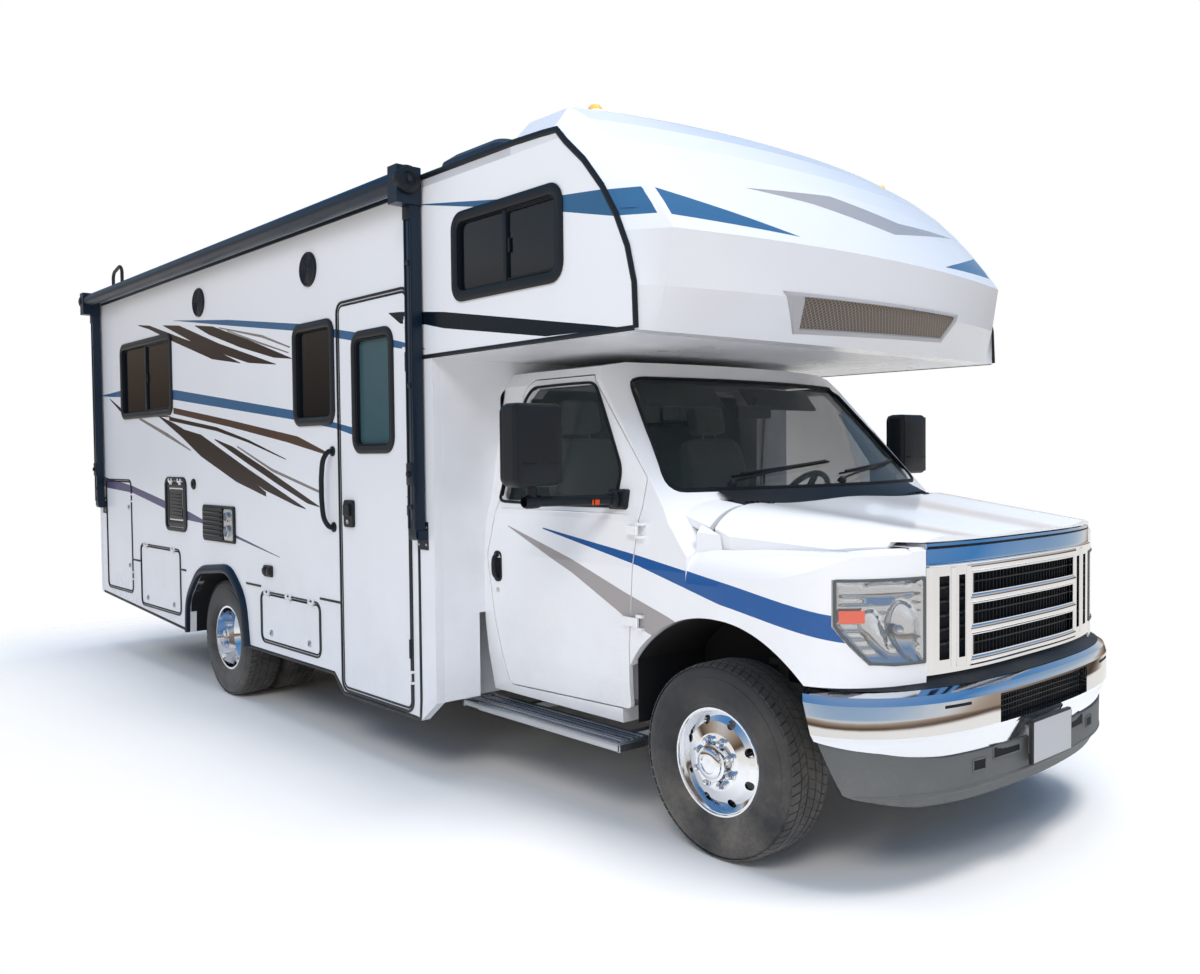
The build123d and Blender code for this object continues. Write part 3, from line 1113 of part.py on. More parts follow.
AWNING_OUT = 89
AWNING_X = -COACH_HALF_WIDTH - AWNING_OUT
AWNING_Z = 2790
ROLLER_RADIUS = 46
ARM_OUT = 37
ARM_PIVOT_Z = 1170
ARM_HALF_THICKNESS = 25
ARM_HALF_WIDTH = 32
ARM_Y = (-1325, 3450)
PIVOT_PIN_RADIUS = 8
EAR_THICKNESS = 7
EAR_GAP = 2
pivot_x = -COACH_HALF_WIDTH - ARM_OUT
pivot_z = ARM_PIVOT_Z
arm_x = (pivot_x - ARM_HALF_THICKNESS, pivot_x + ARM_HALF_THICKNESS)
awning = rod_y(ARM_Y[0], ARM_Y[1], AWNING_X, AWNING_Z, ROLLER_RADIUS)
feet = []
for y in ARM_Y:
    low_y = y - ARM_HALF_WIDTH
    high_y = y + ARM_HALF_WIDTH
    awning += block(arm_x[0], arm_x[1], low_y, high_y, pivot_z, AWNING_Z + 20)
    awning += rod_y(low_y, high_y, pivot_x, pivot_z, ARM_HALF_THICKNESS)
    awning += block(AWNING_X - 50, arm_x[1], y - 40, y + 40, AWNING_Z - 110, AWNING_Z + 60)
    awning -= rod_y(low_y - 5, high_y + 5, pivot_x, pivot_z, PIVOT_PIN_RADIUS + RUNNING_CLEARANCE)
    ear_reach = ARM_HALF_WIDTH + EAR_GAP + EAR_THICKNESS
    foot = block(-COACH_HALF_WIDTH - 5, -COACH_HALF_WIDTH, y - ear_reach, y + ear_reach, pivot_z - 70, pivot_z + 60)
    for ear_low in (y - ear_reach, y + ear_reach - EAR_THICKNESS):
        foot += block(pivot_x - 16, -COACH_HALF_WIDTH, ear_low, ear_low + EAR_THICKNESS, pivot_z - 22, pivot_z + 22)
    foot += rod_y(y - ear_reach, y + ear_reach, pivot_x, pivot_z, PIVOT_PIN_RADIUS)
    feet.append(foot.solid())
nodes["awning"] = awning
nodes["awning_feet"] = Compound(children=feet)

tail = []
for side in SIDES.values():
    xs = sorted([side * 1060, side * 1220])
    tail.append(block(xs[0], xs[1], COACH_REAR_Y, COACH_REAR_Y + 30, 640, 860).solid())
nodes["lamps"] = Compound(children=tail + list(lamps.solids()))

# ---------------------------------------------------------------- export
os.makedirs("parts", exist_ok=True)
for name, shape in nodes.items():
    export_step(shape, os.path.join("parts", name + ".step"))
print(len(nodes), "nodes")
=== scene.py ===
"""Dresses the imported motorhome: paint, stripes, glass, tyres, trim, lamps and fittings.

Metres, in the vehicle's own frame: +X is the driver's side, the front faces -Y and +Z is up.
"""
import json
import math
import sys

import bmesh
import bpy
from bpy.props import FloatProperty, FloatVectorProperty, IntProperty, PointerProperty
from mathutils import Matrix, Vector
from mathutils.bvhtree import BVHTree
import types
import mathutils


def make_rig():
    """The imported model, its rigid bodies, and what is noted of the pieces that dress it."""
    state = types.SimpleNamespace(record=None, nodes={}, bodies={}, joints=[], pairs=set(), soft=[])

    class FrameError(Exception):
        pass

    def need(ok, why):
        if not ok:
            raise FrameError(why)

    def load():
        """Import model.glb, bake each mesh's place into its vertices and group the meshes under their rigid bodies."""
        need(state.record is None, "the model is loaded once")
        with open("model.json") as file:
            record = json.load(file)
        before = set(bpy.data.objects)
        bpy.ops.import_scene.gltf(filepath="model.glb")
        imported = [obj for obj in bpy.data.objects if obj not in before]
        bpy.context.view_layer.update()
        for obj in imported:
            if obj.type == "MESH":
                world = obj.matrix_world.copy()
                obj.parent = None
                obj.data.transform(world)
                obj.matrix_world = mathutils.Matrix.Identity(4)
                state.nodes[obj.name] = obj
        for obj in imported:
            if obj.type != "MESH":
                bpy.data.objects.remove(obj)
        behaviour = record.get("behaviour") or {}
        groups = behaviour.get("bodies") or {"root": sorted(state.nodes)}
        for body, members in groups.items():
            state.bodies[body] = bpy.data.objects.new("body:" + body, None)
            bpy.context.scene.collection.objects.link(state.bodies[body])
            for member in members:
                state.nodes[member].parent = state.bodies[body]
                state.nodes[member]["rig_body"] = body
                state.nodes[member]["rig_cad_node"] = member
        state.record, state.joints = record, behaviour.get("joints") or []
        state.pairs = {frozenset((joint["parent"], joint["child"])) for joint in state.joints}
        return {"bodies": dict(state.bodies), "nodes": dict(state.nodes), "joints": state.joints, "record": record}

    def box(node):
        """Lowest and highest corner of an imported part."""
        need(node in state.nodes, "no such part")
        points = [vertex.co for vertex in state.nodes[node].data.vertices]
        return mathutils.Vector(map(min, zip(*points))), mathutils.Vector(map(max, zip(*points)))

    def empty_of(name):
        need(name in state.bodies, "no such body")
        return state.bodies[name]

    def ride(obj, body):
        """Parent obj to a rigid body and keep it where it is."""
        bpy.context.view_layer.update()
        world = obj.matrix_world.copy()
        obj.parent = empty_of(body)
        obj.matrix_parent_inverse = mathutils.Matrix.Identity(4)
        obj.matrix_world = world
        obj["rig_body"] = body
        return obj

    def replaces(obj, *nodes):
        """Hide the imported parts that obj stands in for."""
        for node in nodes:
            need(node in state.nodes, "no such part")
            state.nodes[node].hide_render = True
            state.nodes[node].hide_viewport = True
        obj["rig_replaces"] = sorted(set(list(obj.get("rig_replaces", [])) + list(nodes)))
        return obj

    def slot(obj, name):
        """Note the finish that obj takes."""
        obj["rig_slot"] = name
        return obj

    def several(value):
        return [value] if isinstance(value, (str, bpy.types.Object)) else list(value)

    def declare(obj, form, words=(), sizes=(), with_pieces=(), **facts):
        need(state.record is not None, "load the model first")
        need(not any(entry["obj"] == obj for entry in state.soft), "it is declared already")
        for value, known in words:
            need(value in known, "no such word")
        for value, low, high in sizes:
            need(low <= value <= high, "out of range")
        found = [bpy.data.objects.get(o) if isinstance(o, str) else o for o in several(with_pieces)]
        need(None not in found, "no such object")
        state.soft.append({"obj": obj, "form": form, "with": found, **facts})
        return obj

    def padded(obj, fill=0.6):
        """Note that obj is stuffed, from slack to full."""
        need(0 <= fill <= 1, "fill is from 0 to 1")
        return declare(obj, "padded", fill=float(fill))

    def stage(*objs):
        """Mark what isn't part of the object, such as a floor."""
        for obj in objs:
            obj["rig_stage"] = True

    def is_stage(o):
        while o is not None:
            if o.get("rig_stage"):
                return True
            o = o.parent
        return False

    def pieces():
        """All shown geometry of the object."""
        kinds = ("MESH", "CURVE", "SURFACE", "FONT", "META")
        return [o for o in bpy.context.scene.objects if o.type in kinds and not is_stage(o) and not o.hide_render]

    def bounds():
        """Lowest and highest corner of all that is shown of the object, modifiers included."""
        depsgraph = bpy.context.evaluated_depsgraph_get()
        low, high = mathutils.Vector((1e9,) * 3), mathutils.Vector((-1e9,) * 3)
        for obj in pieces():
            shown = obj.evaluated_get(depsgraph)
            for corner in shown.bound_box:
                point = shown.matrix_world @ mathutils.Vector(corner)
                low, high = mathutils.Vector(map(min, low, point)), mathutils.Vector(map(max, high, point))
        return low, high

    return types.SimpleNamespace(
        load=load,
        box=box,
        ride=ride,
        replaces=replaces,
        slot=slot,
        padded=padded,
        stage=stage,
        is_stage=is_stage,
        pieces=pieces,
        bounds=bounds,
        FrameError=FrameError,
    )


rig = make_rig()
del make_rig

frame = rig.load()
NODES = frame["nodes"]
CAD_BOX = [list(corner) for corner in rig.bounds()]

bl_info = {
    "name": "Motorhome dressing",
    "version": (1, 0, 0),
    "blender": (4, 5, 0),
    "location": "View3D > Sidebar > Motorhome",
    "description": "Builds the finishes and fittings of a coach-built motorhome",
    "category": "Object",
}


def mm(*numbers):
    """Millimetres, taken two by two, as pairs in metres."""
    return [(a / 1000, b / 1000) for a, b in zip(numbers[::2], numbers[1::2])]


# ---------------------------------------------------------------- the vehicle's own places
COACH_X = 1.283
COACH_REAR_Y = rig.box("coach_wall_rear")[1].y
NOSE_SEAM = mm(-2330, 2800, -2383, 2744, -2490, 2650, -2592, 2532, -2667, 2417, -2726, 2291, -2761, 2155, -2768, 1990)
FRONT_AXLE_Y = -2.865
REAR_AXLE_Y = 1.148
AXLE_Z = 0.372
FRONT_WHEEL_X = 0.881
REAR_OUTER_X = 1.127
REAR_INNER_X = 0.865
SIDES = {"right": -1, "left": 1}
DOOR_BODIES = {"right": "passenger_door", "left": "driver_door"}
WHEEL_BODIES = {"right": ("wheel_fr", "wheels_rr"), "left": ("wheel_fl", "wheels_rl")}
# window: (low y, high y, low z, high z), y of the sliding pane's bar or None, drop of the shade
LOUNGE_WINDOW = ((1.895, 2.955, 1.850, 2.390), 2.425, 0.17)
BUNK_WINDOW = ((-2.350, -1.610, 2.225, 2.585), -1.980, 0.30)
WINDOWS = {
    "right": [LOUNGE_WINDOW, ((-0.465, -0.015, 1.720, 2.250), None, 0.17), BUNK_WINDOW],
    "left": [LOUNGE_WINDOW, ((-0.765, 0.105, 1.720, 2.250), -0.330, 0.17), BUNK_WINDOW],
}
ENTRY_WINDOW = (-1.060, -0.685, 1.570, 2.148)
ENTRY_DOOR = (-1.205, -0.525, 0.325, 2.320)
SERVICE_LID = (1.687, 2.031, 1.060, 1.376)
# hatch: (low y, high y, low z, high z), the same on each side that has it
REAR_HATCH = (1.810, 2.605, 0.455, 0.895)
MIDDLE_HATCH = (-0.265, 0.485, 0.450, 0.735)
HATCHES = {"right_closet": (2.805, 3.395, 0.520, 1.365), "right_rear": REAR_HATCH, "right_middle": MIDDLE_HATCH,
           "left_rear": REAR_HATCH, "left_middle": MIDDLE_HATCH}
COWL_PAINT_X = 0.700
NOSE_SHADE = 0.88  # the nose's gelcoat is painted a little greyer than the coach sides: painted shade for its shaded faces

# ---------------------------------------------------------------- stripes: colour, top and bottom edge in (y, z)
COACH_STRIPES = [
    ("band", mm(1840, 2482, 890, 2390, -60, 2272, -680, 2170, -1160, 2070), mm(1840, 2480, 890, 2354, -10,
     2238, -680, 2125, -1160, 2045)),
    ("slash", mm(2550, 2520, 2320, 2494, 1630, 2335, 1220, 2250, 725, 2114), mm(2550, 2513, 2320, 2466, 1810,
     2328, 1160, 2166, 725, 2110)),
    ("slash", mm(2035, 2468, 1732, 2437, 1055, 2259, 226, 2071), mm(2035, 2463, 1352, 2263, 609, 2104, 226,
     2067)),
    ("slash", mm(1447, 2410, 1146, 2374, 602, 2243, 21, 2089), mm(1447, 2405, 1214, 2328, 720, 2205, 250,
     2108, 21, 2085)),
    ("grey", mm(1050, 2360, 405, 2252, 43, 2156), mm(1050, 2352, 405, 2236, 43, 2146)),
    ("grey", mm(920, 2330, 450, 2218, 60, 2126), mm(920, 2322, 450, 2205, 60, 2118)),
    ("band", mm(3500, 2045, 3260, 2050, 3020, 2059, 1834, 2005, -16, 1794, -477, 1715, -720, 1676), mm(3500,
     2043, 3260, 2024, 3020, 2012, 1838, 1937, 11, 1745, -476, 1684, -720, 1636)),
    ("slash", mm(3264, 2012, 2935, 1905, 1922, 1826), mm(3264, 2004, 2937, 1868, 1922, 1820)),
    ("brown", mm(1875, 1886, 924, 1773, -35, 1651, -384, 1560), mm(1875, 1844, 927, 1730, 91, 1619, -384,
     1544)),
    ("slash", mm(1961, 1826, 1117, 1732, 632, 1644, 121, 1527), mm(1961, 1798, 1117, 1706, 632, 1626, 121,
     1521)),
    ("grey", mm(2577, 1842, 2000, 1712, 1566, 1592), mm(2577, 1822, 2000, 1684, 1566, 1582)),
    ("slash", mm(2157, 1836, 1886, 1782, 1254, 1624, 877, 1508, 393, 1330), mm(2157, 1828, 1742, 1684, 1394,
     1547, 822, 1386, 393, 1305)),
    ("slash", mm(1666, 1728, 1385, 1690, 698, 1484, -115, 1254), mm(1666, 1718, 1321, 1624, 939, 1508, 421,
     1345, 7, 1264, -115, 1248)),
    ("slash", mm(1153, 1658, 872, 1606, 361, 1462, -280, 1270), mm(1153, 1650, 639, 1496, 205, 1372, -140,
     1280, -280, 1264)),
    ("grey", mm(800, 1610, 300, 1470, -283, 1356), mm(800, 1600, 300, 1452, -283, 1340)),
    ("violet", mm(3520, 1400, 3365, 1383, 2770, 1329, 2038, 1230, 1627, 1174, 1384, 1131, 840, 1055, 224,
     961), mm(3520, 1330, 3371, 1304, 2774, 1277, 2042, 1174, 1703, 1118, 1385, 1105, 841, 1036, 224, 957)),
]
CABOVER_STRIPES = [
    ("navy", mm(-1040, 2227, -1145, 2221, -1353, 2199, -1519, 2181, -2600, 2014, -2670, 2002), mm(-1040, 2224,
     -1145, 2165, -1367, 2139, -1517, 2108, -2247, 2006, -2670, 1998)),
    ("band", mm(-1250, 2706, -1398, 2684, -1968, 2599, -2369, 2540, -2660, 2512), mm(-1250, 2705, -1398, 2677,
     -1864, 2584, -2368, 2475, -2660, 2408)),
    ("band", mm(-600, 2178, -940, 2122, -1140, 2082, -1360, 2030), mm(-600, 2140, -940, 2090, -1140, 2057,
     -1360, 2026)),
]
CAB_STRIPES = [
    ("azure", mm(-1847, 1212, -2477, 1128, -2919, 1059, -3339, 982, -3500, 955), mm(-1847, 1206, -2477, 1088,
     -2919, 973, -3353, 893, -3500, 865)),
    ("silver", mm(-1587, 1210, -2063, 1087, -2397, 974, -2642, 899, -2720, 870), mm(-1587, 1206, -2063, 1029,
     -2397, 872, -2530, 821, -2720, 780)),
]
NOSE_STRIPES = [
    ("band", mm(544, 2386, 856, 2455, 1150, 2520), mm(544, 2384, 809, 2394, 1144, 2406, 1150, 2407)),
    ("band", mm(1192, 2522, 1284, 2515), mm(1192, 2410, 1284, 2408)),
]
NOSE_SWOOSH = [
    ("grey", mm(0, 2586, 539, 2634, 1012, 2575, 1659, 2609), mm(0, 2584, 358, 2566, 881, 2498, 1100, 2528,
     1659, 2607)),
]


def linear(red, green, blue):
    """A display colour, 0 to 1, as the linear colour that nodes use."""
    return tuple(v / 12.92 if v <= 0.04045 else ((v + 0.055) / 1.055) ** 2.4 for v in (red, green, blue))


# ---------------------------------------------------------------- mesh making
def put_in_scene(name, data):
    thing = bpy.data.objects.new(name, data)
    bpy.context.scene.collection.objects.link(thing)
    return thing


CORNER_STEPS = 6
# where the rays towards the vehicle start: ahead of it, above it and beside the cab
RAY_FRONT_Y, RAY_TOP_Z, RAY_SIDE_X = -3.9, 3.6, 1.3


def finish_mesh(name, bm, materials, body="vehicle", slot="black_plastic", sharp=32):
    """Turn a bmesh into a piece that rides on a body, smooth but for edges over the sharp angle."""
    bmesh.ops.recalc_face_normals(bm, faces=bm.faces)
    mesh = bpy.data.meshes.new(name)
    bm.to_mesh(mesh)
    bm.free()
    for material in materials:
        mesh.materials.append(MATERIALS[material])
    mesh.polygons.foreach_set("use_smooth", [True] * len(mesh.polygons))
    mesh.set_sharp_from_angle(angle=math.radians(sharp))
    piece = put_in_scene(name, mesh)
    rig.ride(piece, body)
    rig.slot(piece, slot)
    return piece


def even(low, high, count):
    """Numbers from low to high in this many equal steps."""
    return [low + (high - low) * k / count for k in range(count + 1)]


def paint_faces(faces, index):
    for face in faces:
        face.material_index = index


def bridge(bm, rims, index, round_about=True, looped=False):
    """Faces from each rim of vertices to the next; a rim of one vertex draws them to a point."""
    faces = []
    for near, far in list(zip(rims, rims[1:])) + ([(rims[-1], rims[0])] if looped else []):
        count = max(len(near), len(far))
        for k in range(count if round_about else count - 1):
            n = (k + 1) % count
            corners = dict.fromkeys((near[k % len(near)], near[n % len(near)], far[n % len(far)], far[k % len(far)]))
            if len(corners) > 2:
                faces.append(bm.faces.new(list(corners)))
    paint_faces(faces, index)


def add_sheet(bm, grid, index=0):
    bridge(bm, [[bm.verts.new(p) for p in row] for row in grid], index, round_about=False)


def add_box(bm, low, high, bevel=0.0, index=0, turn=Matrix.Identity(4)):
    """A box between two corners with rounded edges, turned about its middle if asked."""
    ends = [sorted(pair) for pair in zip(low, high)]
    size = [b - a for a, b in ends]
    place = Matrix.Translation([(a + b) / 2 for a, b in ends]) @ turn @ Matrix.Diagonal((*size, 1))
    verts = [bm.verts.new(place @ Vector((x, y, z))) for x in (-0.5, 0.5) for y in (-0.5, 0.5) for z in (-0.5, 0.5)]
    quads = [(0, 1, 3, 2), (4, 6, 7, 5), (0, 4, 5, 1), (2, 3, 7, 6), (0, 2, 6, 4), (1, 5, 7, 3)]
    faces = [bm.faces.new([verts[i] for i in quad]) for quad in quads]
    paint_faces(faces, index)
    if bevel:
        edges = list({edge for face in faces for edge in face.edges})
        bmesh.ops.bevel(bm, geom=edges, offset=min(bevel, min(size) * 0.49), segments=2, profile=0.5,
                        affect="EDGES", clamp_overlap=True)


def rounded_outline(low_u, high_u, low_v, high_v, radius):
    """Points round a rectangle with its corners rounded off."""
    points = []
    radius = min(radius, (high_u - low_u) / 2.01, (high_v - low_v) / 2.01)
    centres = [(high_u - radius, high_v - radius, 0), (low_u + radius, high_v - radius, 90),
               (low_u + radius, low_v + radius, 180), (high_u - radius, low_v + radius, 270)]
    for u, v, start in centres:
        for angle in even(math.radians(start), math.radians(start + 90), CORNER_STEPS):
            points.append((u + radius * math.cos(angle), v + radius * math.sin(angle)))
    return points


def add_ring(bm, outer, inner, place, levels, index=0):
    """A frame between two outlines of equal count; levels are (share towards inner, height) rims round it."""
    bridge(bm, [[bm.verts.new(place(u + (p - u) * share, v + (q - v) * share, height))
                 for (u, v), (p, q) in zip(outer, inner)] for share, height in levels], index)


def add_plate(bm, points, place, low, high, index=0, bevel=0.0):
    """A flat plate over an outline, with its upper rim drawn in by the bevel."""
    middle = Vector([sum(values) / len(points) for values in zip(*points)])
    base = [bm.verts.new(place(u, v, low)) for u, v in points]
    shoulder_height = high - bevel * 0.7 if high > low else high + bevel * 0.7
    shoulder = [bm.verts.new(place(u, v, shoulder_height)) for u, v in points]
    drawn_in = [Vector(p) - (Vector(p) - middle).normalized() * bevel for p in points]
    top = [bm.verts.new(place(u, v, high)) for u, v in drawn_in]
    paint_faces([bm.faces.new(base), bm.faces.new(top)], index)
    bridge(bm, (base, shoulder, top), index)


def add_tube(bm, points, radius, index=0, sides=10, closed=False, flat=1.0, up=None):
    """A round or flattened bar along a line of points."""
    points = [Vector(p) for p in points]
    count = len(points)
    rims = []
    normal = None
    for k, point in enumerate(points):
        before = points[k - 1] if k or closed else point
        after = points[(k + 1) % count] if k < count - 1 or closed else point
        along = (after - before).normalized()
        if normal is None:
            normal = Vector(up) if up else Vector((0, 0, 1)) if abs(along.z) < 0.9 else Vector((1, 0, 0))
        normal = (normal - along * normal.dot(along)).normalized()
        across = along.cross(normal)
        rims.append([bm.verts.new(point + radius * (math.cos(a) * normal + flat * math.sin(a) * across))
                     for a in even(0, 2 * math.pi, sides)[:-1]])
    bridge(bm, rims, index, looped=closed)
    if not closed:
        paint_faces([bm.faces.new(rims[0]), bm.faces.new(rims[-1])], index)


def add_turned(bm, profile, centre, axis, index=0, segments=48, closed=False):
    """Turn a profile of (distance along the axis, radius) about the axis through the centre."""
    axis, centre = Vector(axis).normalized(), Vector(centre)
    side = axis.orthogonal().normalized()
    other = axis.cross(side)
    rims = []
    for along, radius in profile:
        turns = even(0, 2 * math.pi, segments)[:-1] if radius > 1e-5 else [0.0]
        rims.append([bm.verts.new(centre + axis * along + radius * (math.cos(a) * side + math.sin(a) * other))
                     for a in turns])
    bridge(bm, rims, index, looped=closed)


def on_side(sign):
    """Place (y, z, height out) on the coach's side wall."""
    return lambda u, v, height: Vector((sign * (COACH_X + height), u, v))


def on_end(y, sign=1):
    """Place (x, z, height out) on a plane that faces the rear, or with sign -1 the front."""
    return lambda u, v, height: Vector((u, y + sign * height, v))


def surface_of(*names):
    """A ray-casting tree over these CAD nodes."""
    verts, faces = [], []
    for name in names:
        mesh = NODES[name].data
        base = len(verts)
        verts += [v.co.copy() for v in mesh.vertices]
        faces += [[base + i for i in p.vertices] for p in mesh.polygons]
    return BVHTree.FromPolygons(verts, faces)


def cast(tree, origin, direction, fallback=None):
    """The point and normal where a ray meets the surface."""
    direction = Vector(direction).normalized()
    hit, normal, _, _ = tree.ray_cast(Vector(origin), direction)
    if hit is None and fallback is None:
        raise RuntimeError(f"no surface from {tuple(origin)} towards {tuple(direction)}")
    if hit is None:
        return Vector(fallback), -direction
    return hit, -normal if normal.dot(direction) > 0 else normal


def from_front(tree, x, z, lift=0.0):
    """The point met from ahead, lifted off the skin."""
    hit, normal = cast(tree, (x, RAY_FRONT_Y, z), (0, 1, 0))
    return hit + normal * lift


def from_above(tree, x, y, lift=0.0):
    """The point met from above, lifted straight up."""
    return cast(tree, (x, y, RAY_TOP_Z), (0, 0, -1))[0] + Vector((0, 0, lift))


def side_hit(tree, sign, y, z):
    """The point met from the side, or None."""
    return tree.ray_cast(Vector((sign * RAY_SIDE_X, y, z)), Vector((-sign, 0, 0)))[0]


def skin_line(tree, z, low_x, high_x, count, lift=0.0):
    """Points across the front skin at one height, from low x to high x, lifted off it."""
    return [from_front(tree, x, z, lift) for x in even(low_x, high_x, count)]


def smooth_line(points, steps):
    """More points on the smooth curve that passes through these ones."""
    points = [Vector(p) for p in points]
    out = []
    for before, here, there, after in zip(points[:1] + points, points, points[1:], points[2:] + points[-1:]):
        for step in range(steps):
            t = step / steps
            out.append(0.5 * ((2 * here) + (there - before) * t + (2 * before - 5 * here + 4 * there - after) * t ** 2
                              + (3 * here - before - 3 * there + after) * t ** 3))
    return out + points[-1:]


def rounded_corners(points, radius, steps=5, closed=True):
    """The outline with an arc at each corner; an open line keeps its ends."""
    points = [Vector(p) for p in points]
    out = []
    for k, corner in enumerate(points):
        if not closed and k in (0, len(points) - 1):
            out.append(corner)
            continue
        sides = [points[k - 1] - corner, points[(k + 1) % len(points)] - corner]
        reach = min(radius, *(side.length * 0.45 for side in sides))
        start, end = (corner + side.normalized() * reach for side in sides)
        for t in even(0, 1, steps):
            out.append((1 - t) ** 2 * start + 2 * t * (1 - t) * corner + t * t * end)
    return out


def spread_points(points, gap, closed=True):
    """The same line with points no further apart than the gap."""
    points = [Vector(p) for p in points]
    out = []
    for a, b in zip(points, points[1:] + points[:1] if closed else points[1:]):
        parts = max(1, math.ceil((b - a).length / gap))
        out += [a.lerp(b, step / parts) for step in range(parts)]
    return out if closed else out + points[-1:]


# ---------------------------------------------------------------- node building
class Signal:
    """An output in a node tree; arithmetic with it adds the math nodes that work it out."""

    def __init__(self, tree, socket):
        self.tree, self.socket = tree, socket

    def math(self, operation, *others, clamp=False):
        return add_node(self.tree, "Math", enumerate((self, *others)), operation=operation, use_clamp=clamp)

    def __add__(self, other):
        return self.math("ADD", other)

    def __mul__(self, other):
        return self.math("MULTIPLY", other)

    def __lt__(self, other):
        return self.math("LESS_THAN", other)

    def __gt__(self, other):
        return self.math("GREATER_THAN", other)

    def __abs__(self):
        return self.math("ABSOLUTE")

    def either(self, other):
        return self if other is None else self.math("MAXIMUM", other)

    def ramp(self, low, high, bottom=0.0, top=1.0, kind="LINEAR"):
        """The value carried from one range to the other, and held at its ends."""
        return add_node(self.tree, "MapRange", {"Value": self, "From Min": low, "From Max": high,
                                                "To Min": bottom, "To Max": top}, interpolation_type=kind)


def set_inputs(node, inputs):
    """Set each input to its number or colour, or link it to its signal."""
    for key, value in dict(inputs).items():
        socket = node.inputs[key]
        if isinstance(value, Signal):
            value.tree.links.new(value.socket, socket)
        else:
            socket.default_value = (*value, 1) if socket.type == "RGBA" else value


def add_node(tree, kind, inputs=(), output=0, **settings):
    """Add a node with its settings and inputs, and give one of its outputs."""
    node = tree.nodes.new("ShaderNode" + kind)
    for name, value in settings.items():
        setattr(node, name, value)
    set_inputs(node, inputs)
    return Signal(tree, node.outputs[output])


def mix_colour(tree, factor, first, second):
    return add_node(tree, "Mix", {0: factor, 6: first, 7: second}, 2, data_type="RGBA")


def object_place(tree):
    """The point on the piece in the vehicle's frame."""
    return add_node(tree, "TexCoord", output="Object")


def axes_of(vector):
    """The three parts of a place or a normal."""
    node = add_node(vector.tree, "SeparateXYZ", {0: vector}).socket.node
    return [Signal(vector.tree, socket) for socket in node.outputs]


def noise(tree, scale, detail=3.0, roughness=0.5, vector=None):
    return add_node(tree, "TexNoise", {"Vector": vector or object_place(tree), "Scale": scale, "Detail": detail,
                                       "Roughness": roughness}, "Fac")


def new_group(name, inputs, outputs):
    """An empty group of (name, socket type, default) inputs and (name, type) outputs."""
    group = bpy.data.node_groups.new(name, "ShaderNodeTree")
    for label, kind, default in inputs:
        socket = group.interface.new_socket(label, in_out="INPUT", socket_type="NodeSocket" + kind)
        socket.default_value = default
    for label, kind in outputs:
        group.interface.new_socket(label, in_out="OUTPUT", socket_type="NodeSocket" + kind)
    start = group.nodes.new("NodeGroupInput")
    given = {label: Signal(group, start.outputs[label]) for label, _, _ in inputs}
    return group, given, group.nodes.new("NodeGroupOutput")


def place_group(tree, name, inputs=()):
    node = add_node(tree, "Group", node_tree=bpy.data.node_groups[name]).socket.node
    set_inputs(node, inputs)
    return {socket.name: Signal(tree, socket) for socket in node.outputs}


def make_surface_groups():
    """Grain, road dust, brushed lines and weave, shared by the finishes."""
    group, given, out = new_group("surface grain", [("Scale", "Float", 400.0), ("Waviness", "Float", 1.0)],
                                  [("Height", "Float"), ("Variation", "Float")])
    set_inputs(out, {"Height": noise(group, given["Scale"], 2.0), "Variation": noise(group, given["Waviness"])})

    group, given, out = new_group(
        "road dust",
        [("Color", "Color", (1, 1, 1, 1)), ("Dust", "Color", (0.35, 0.31, 0.26, 1)), ("Top", "Float", 1.1),
         ("Amount", "Float", 0.2)],
        [("Color", "Color"), ("Mask", "Float")])
    low = axes_of(object_place(group))[2].ramp(given["Top"], 0.25)
    patches = low * noise(group, 3.1, 5.0, 0.62).ramp(0.38, 0.68)
    dotted = noise(group, 62.0, 4.0, 0.7).ramp(0.45, 0.8).math("MULTIPLY_ADD", 0.5, 0.6)
    mask = (patches * dotted).math("MULTIPLY", given["Amount"], clamp=True)
    set_inputs(out, {"Color": mix_colour(group, mask, given["Color"], given["Dust"]), "Mask": mask})

    group, given, out = new_group("brushed lines", [("Length", "Float", 3.0), ("Fineness", "Float", 900.0)],
                                  [("Height", "Float")])
    scale = add_node(group, "CombineXYZ", enumerate((given["Fineness"], given["Length"], given["Fineness"])))
    drawn = add_node(group, "Mapping", {"Vector": object_place(group), "Scale": scale})
    set_inputs(out, {"Height": noise(group, 1.0, 2.0, vector=drawn)})

    group, given, out = new_group("weave", [("Threads", "Float", 420.0)], [("Height", "Float"), ("Shade", "Float")])
    x, y, z = axes_of(object_place(group))
    strands = [((axis + y * 0.7) * given["Threads"]).math("SINE") for axis in (x, z)]
    height = strands[0] * strands[1]
    set_inputs(out, {"Height": height.ramp(-1.0, 1.0), "Shade": noise(group, 160.0, 2.0) + height * 0.15})


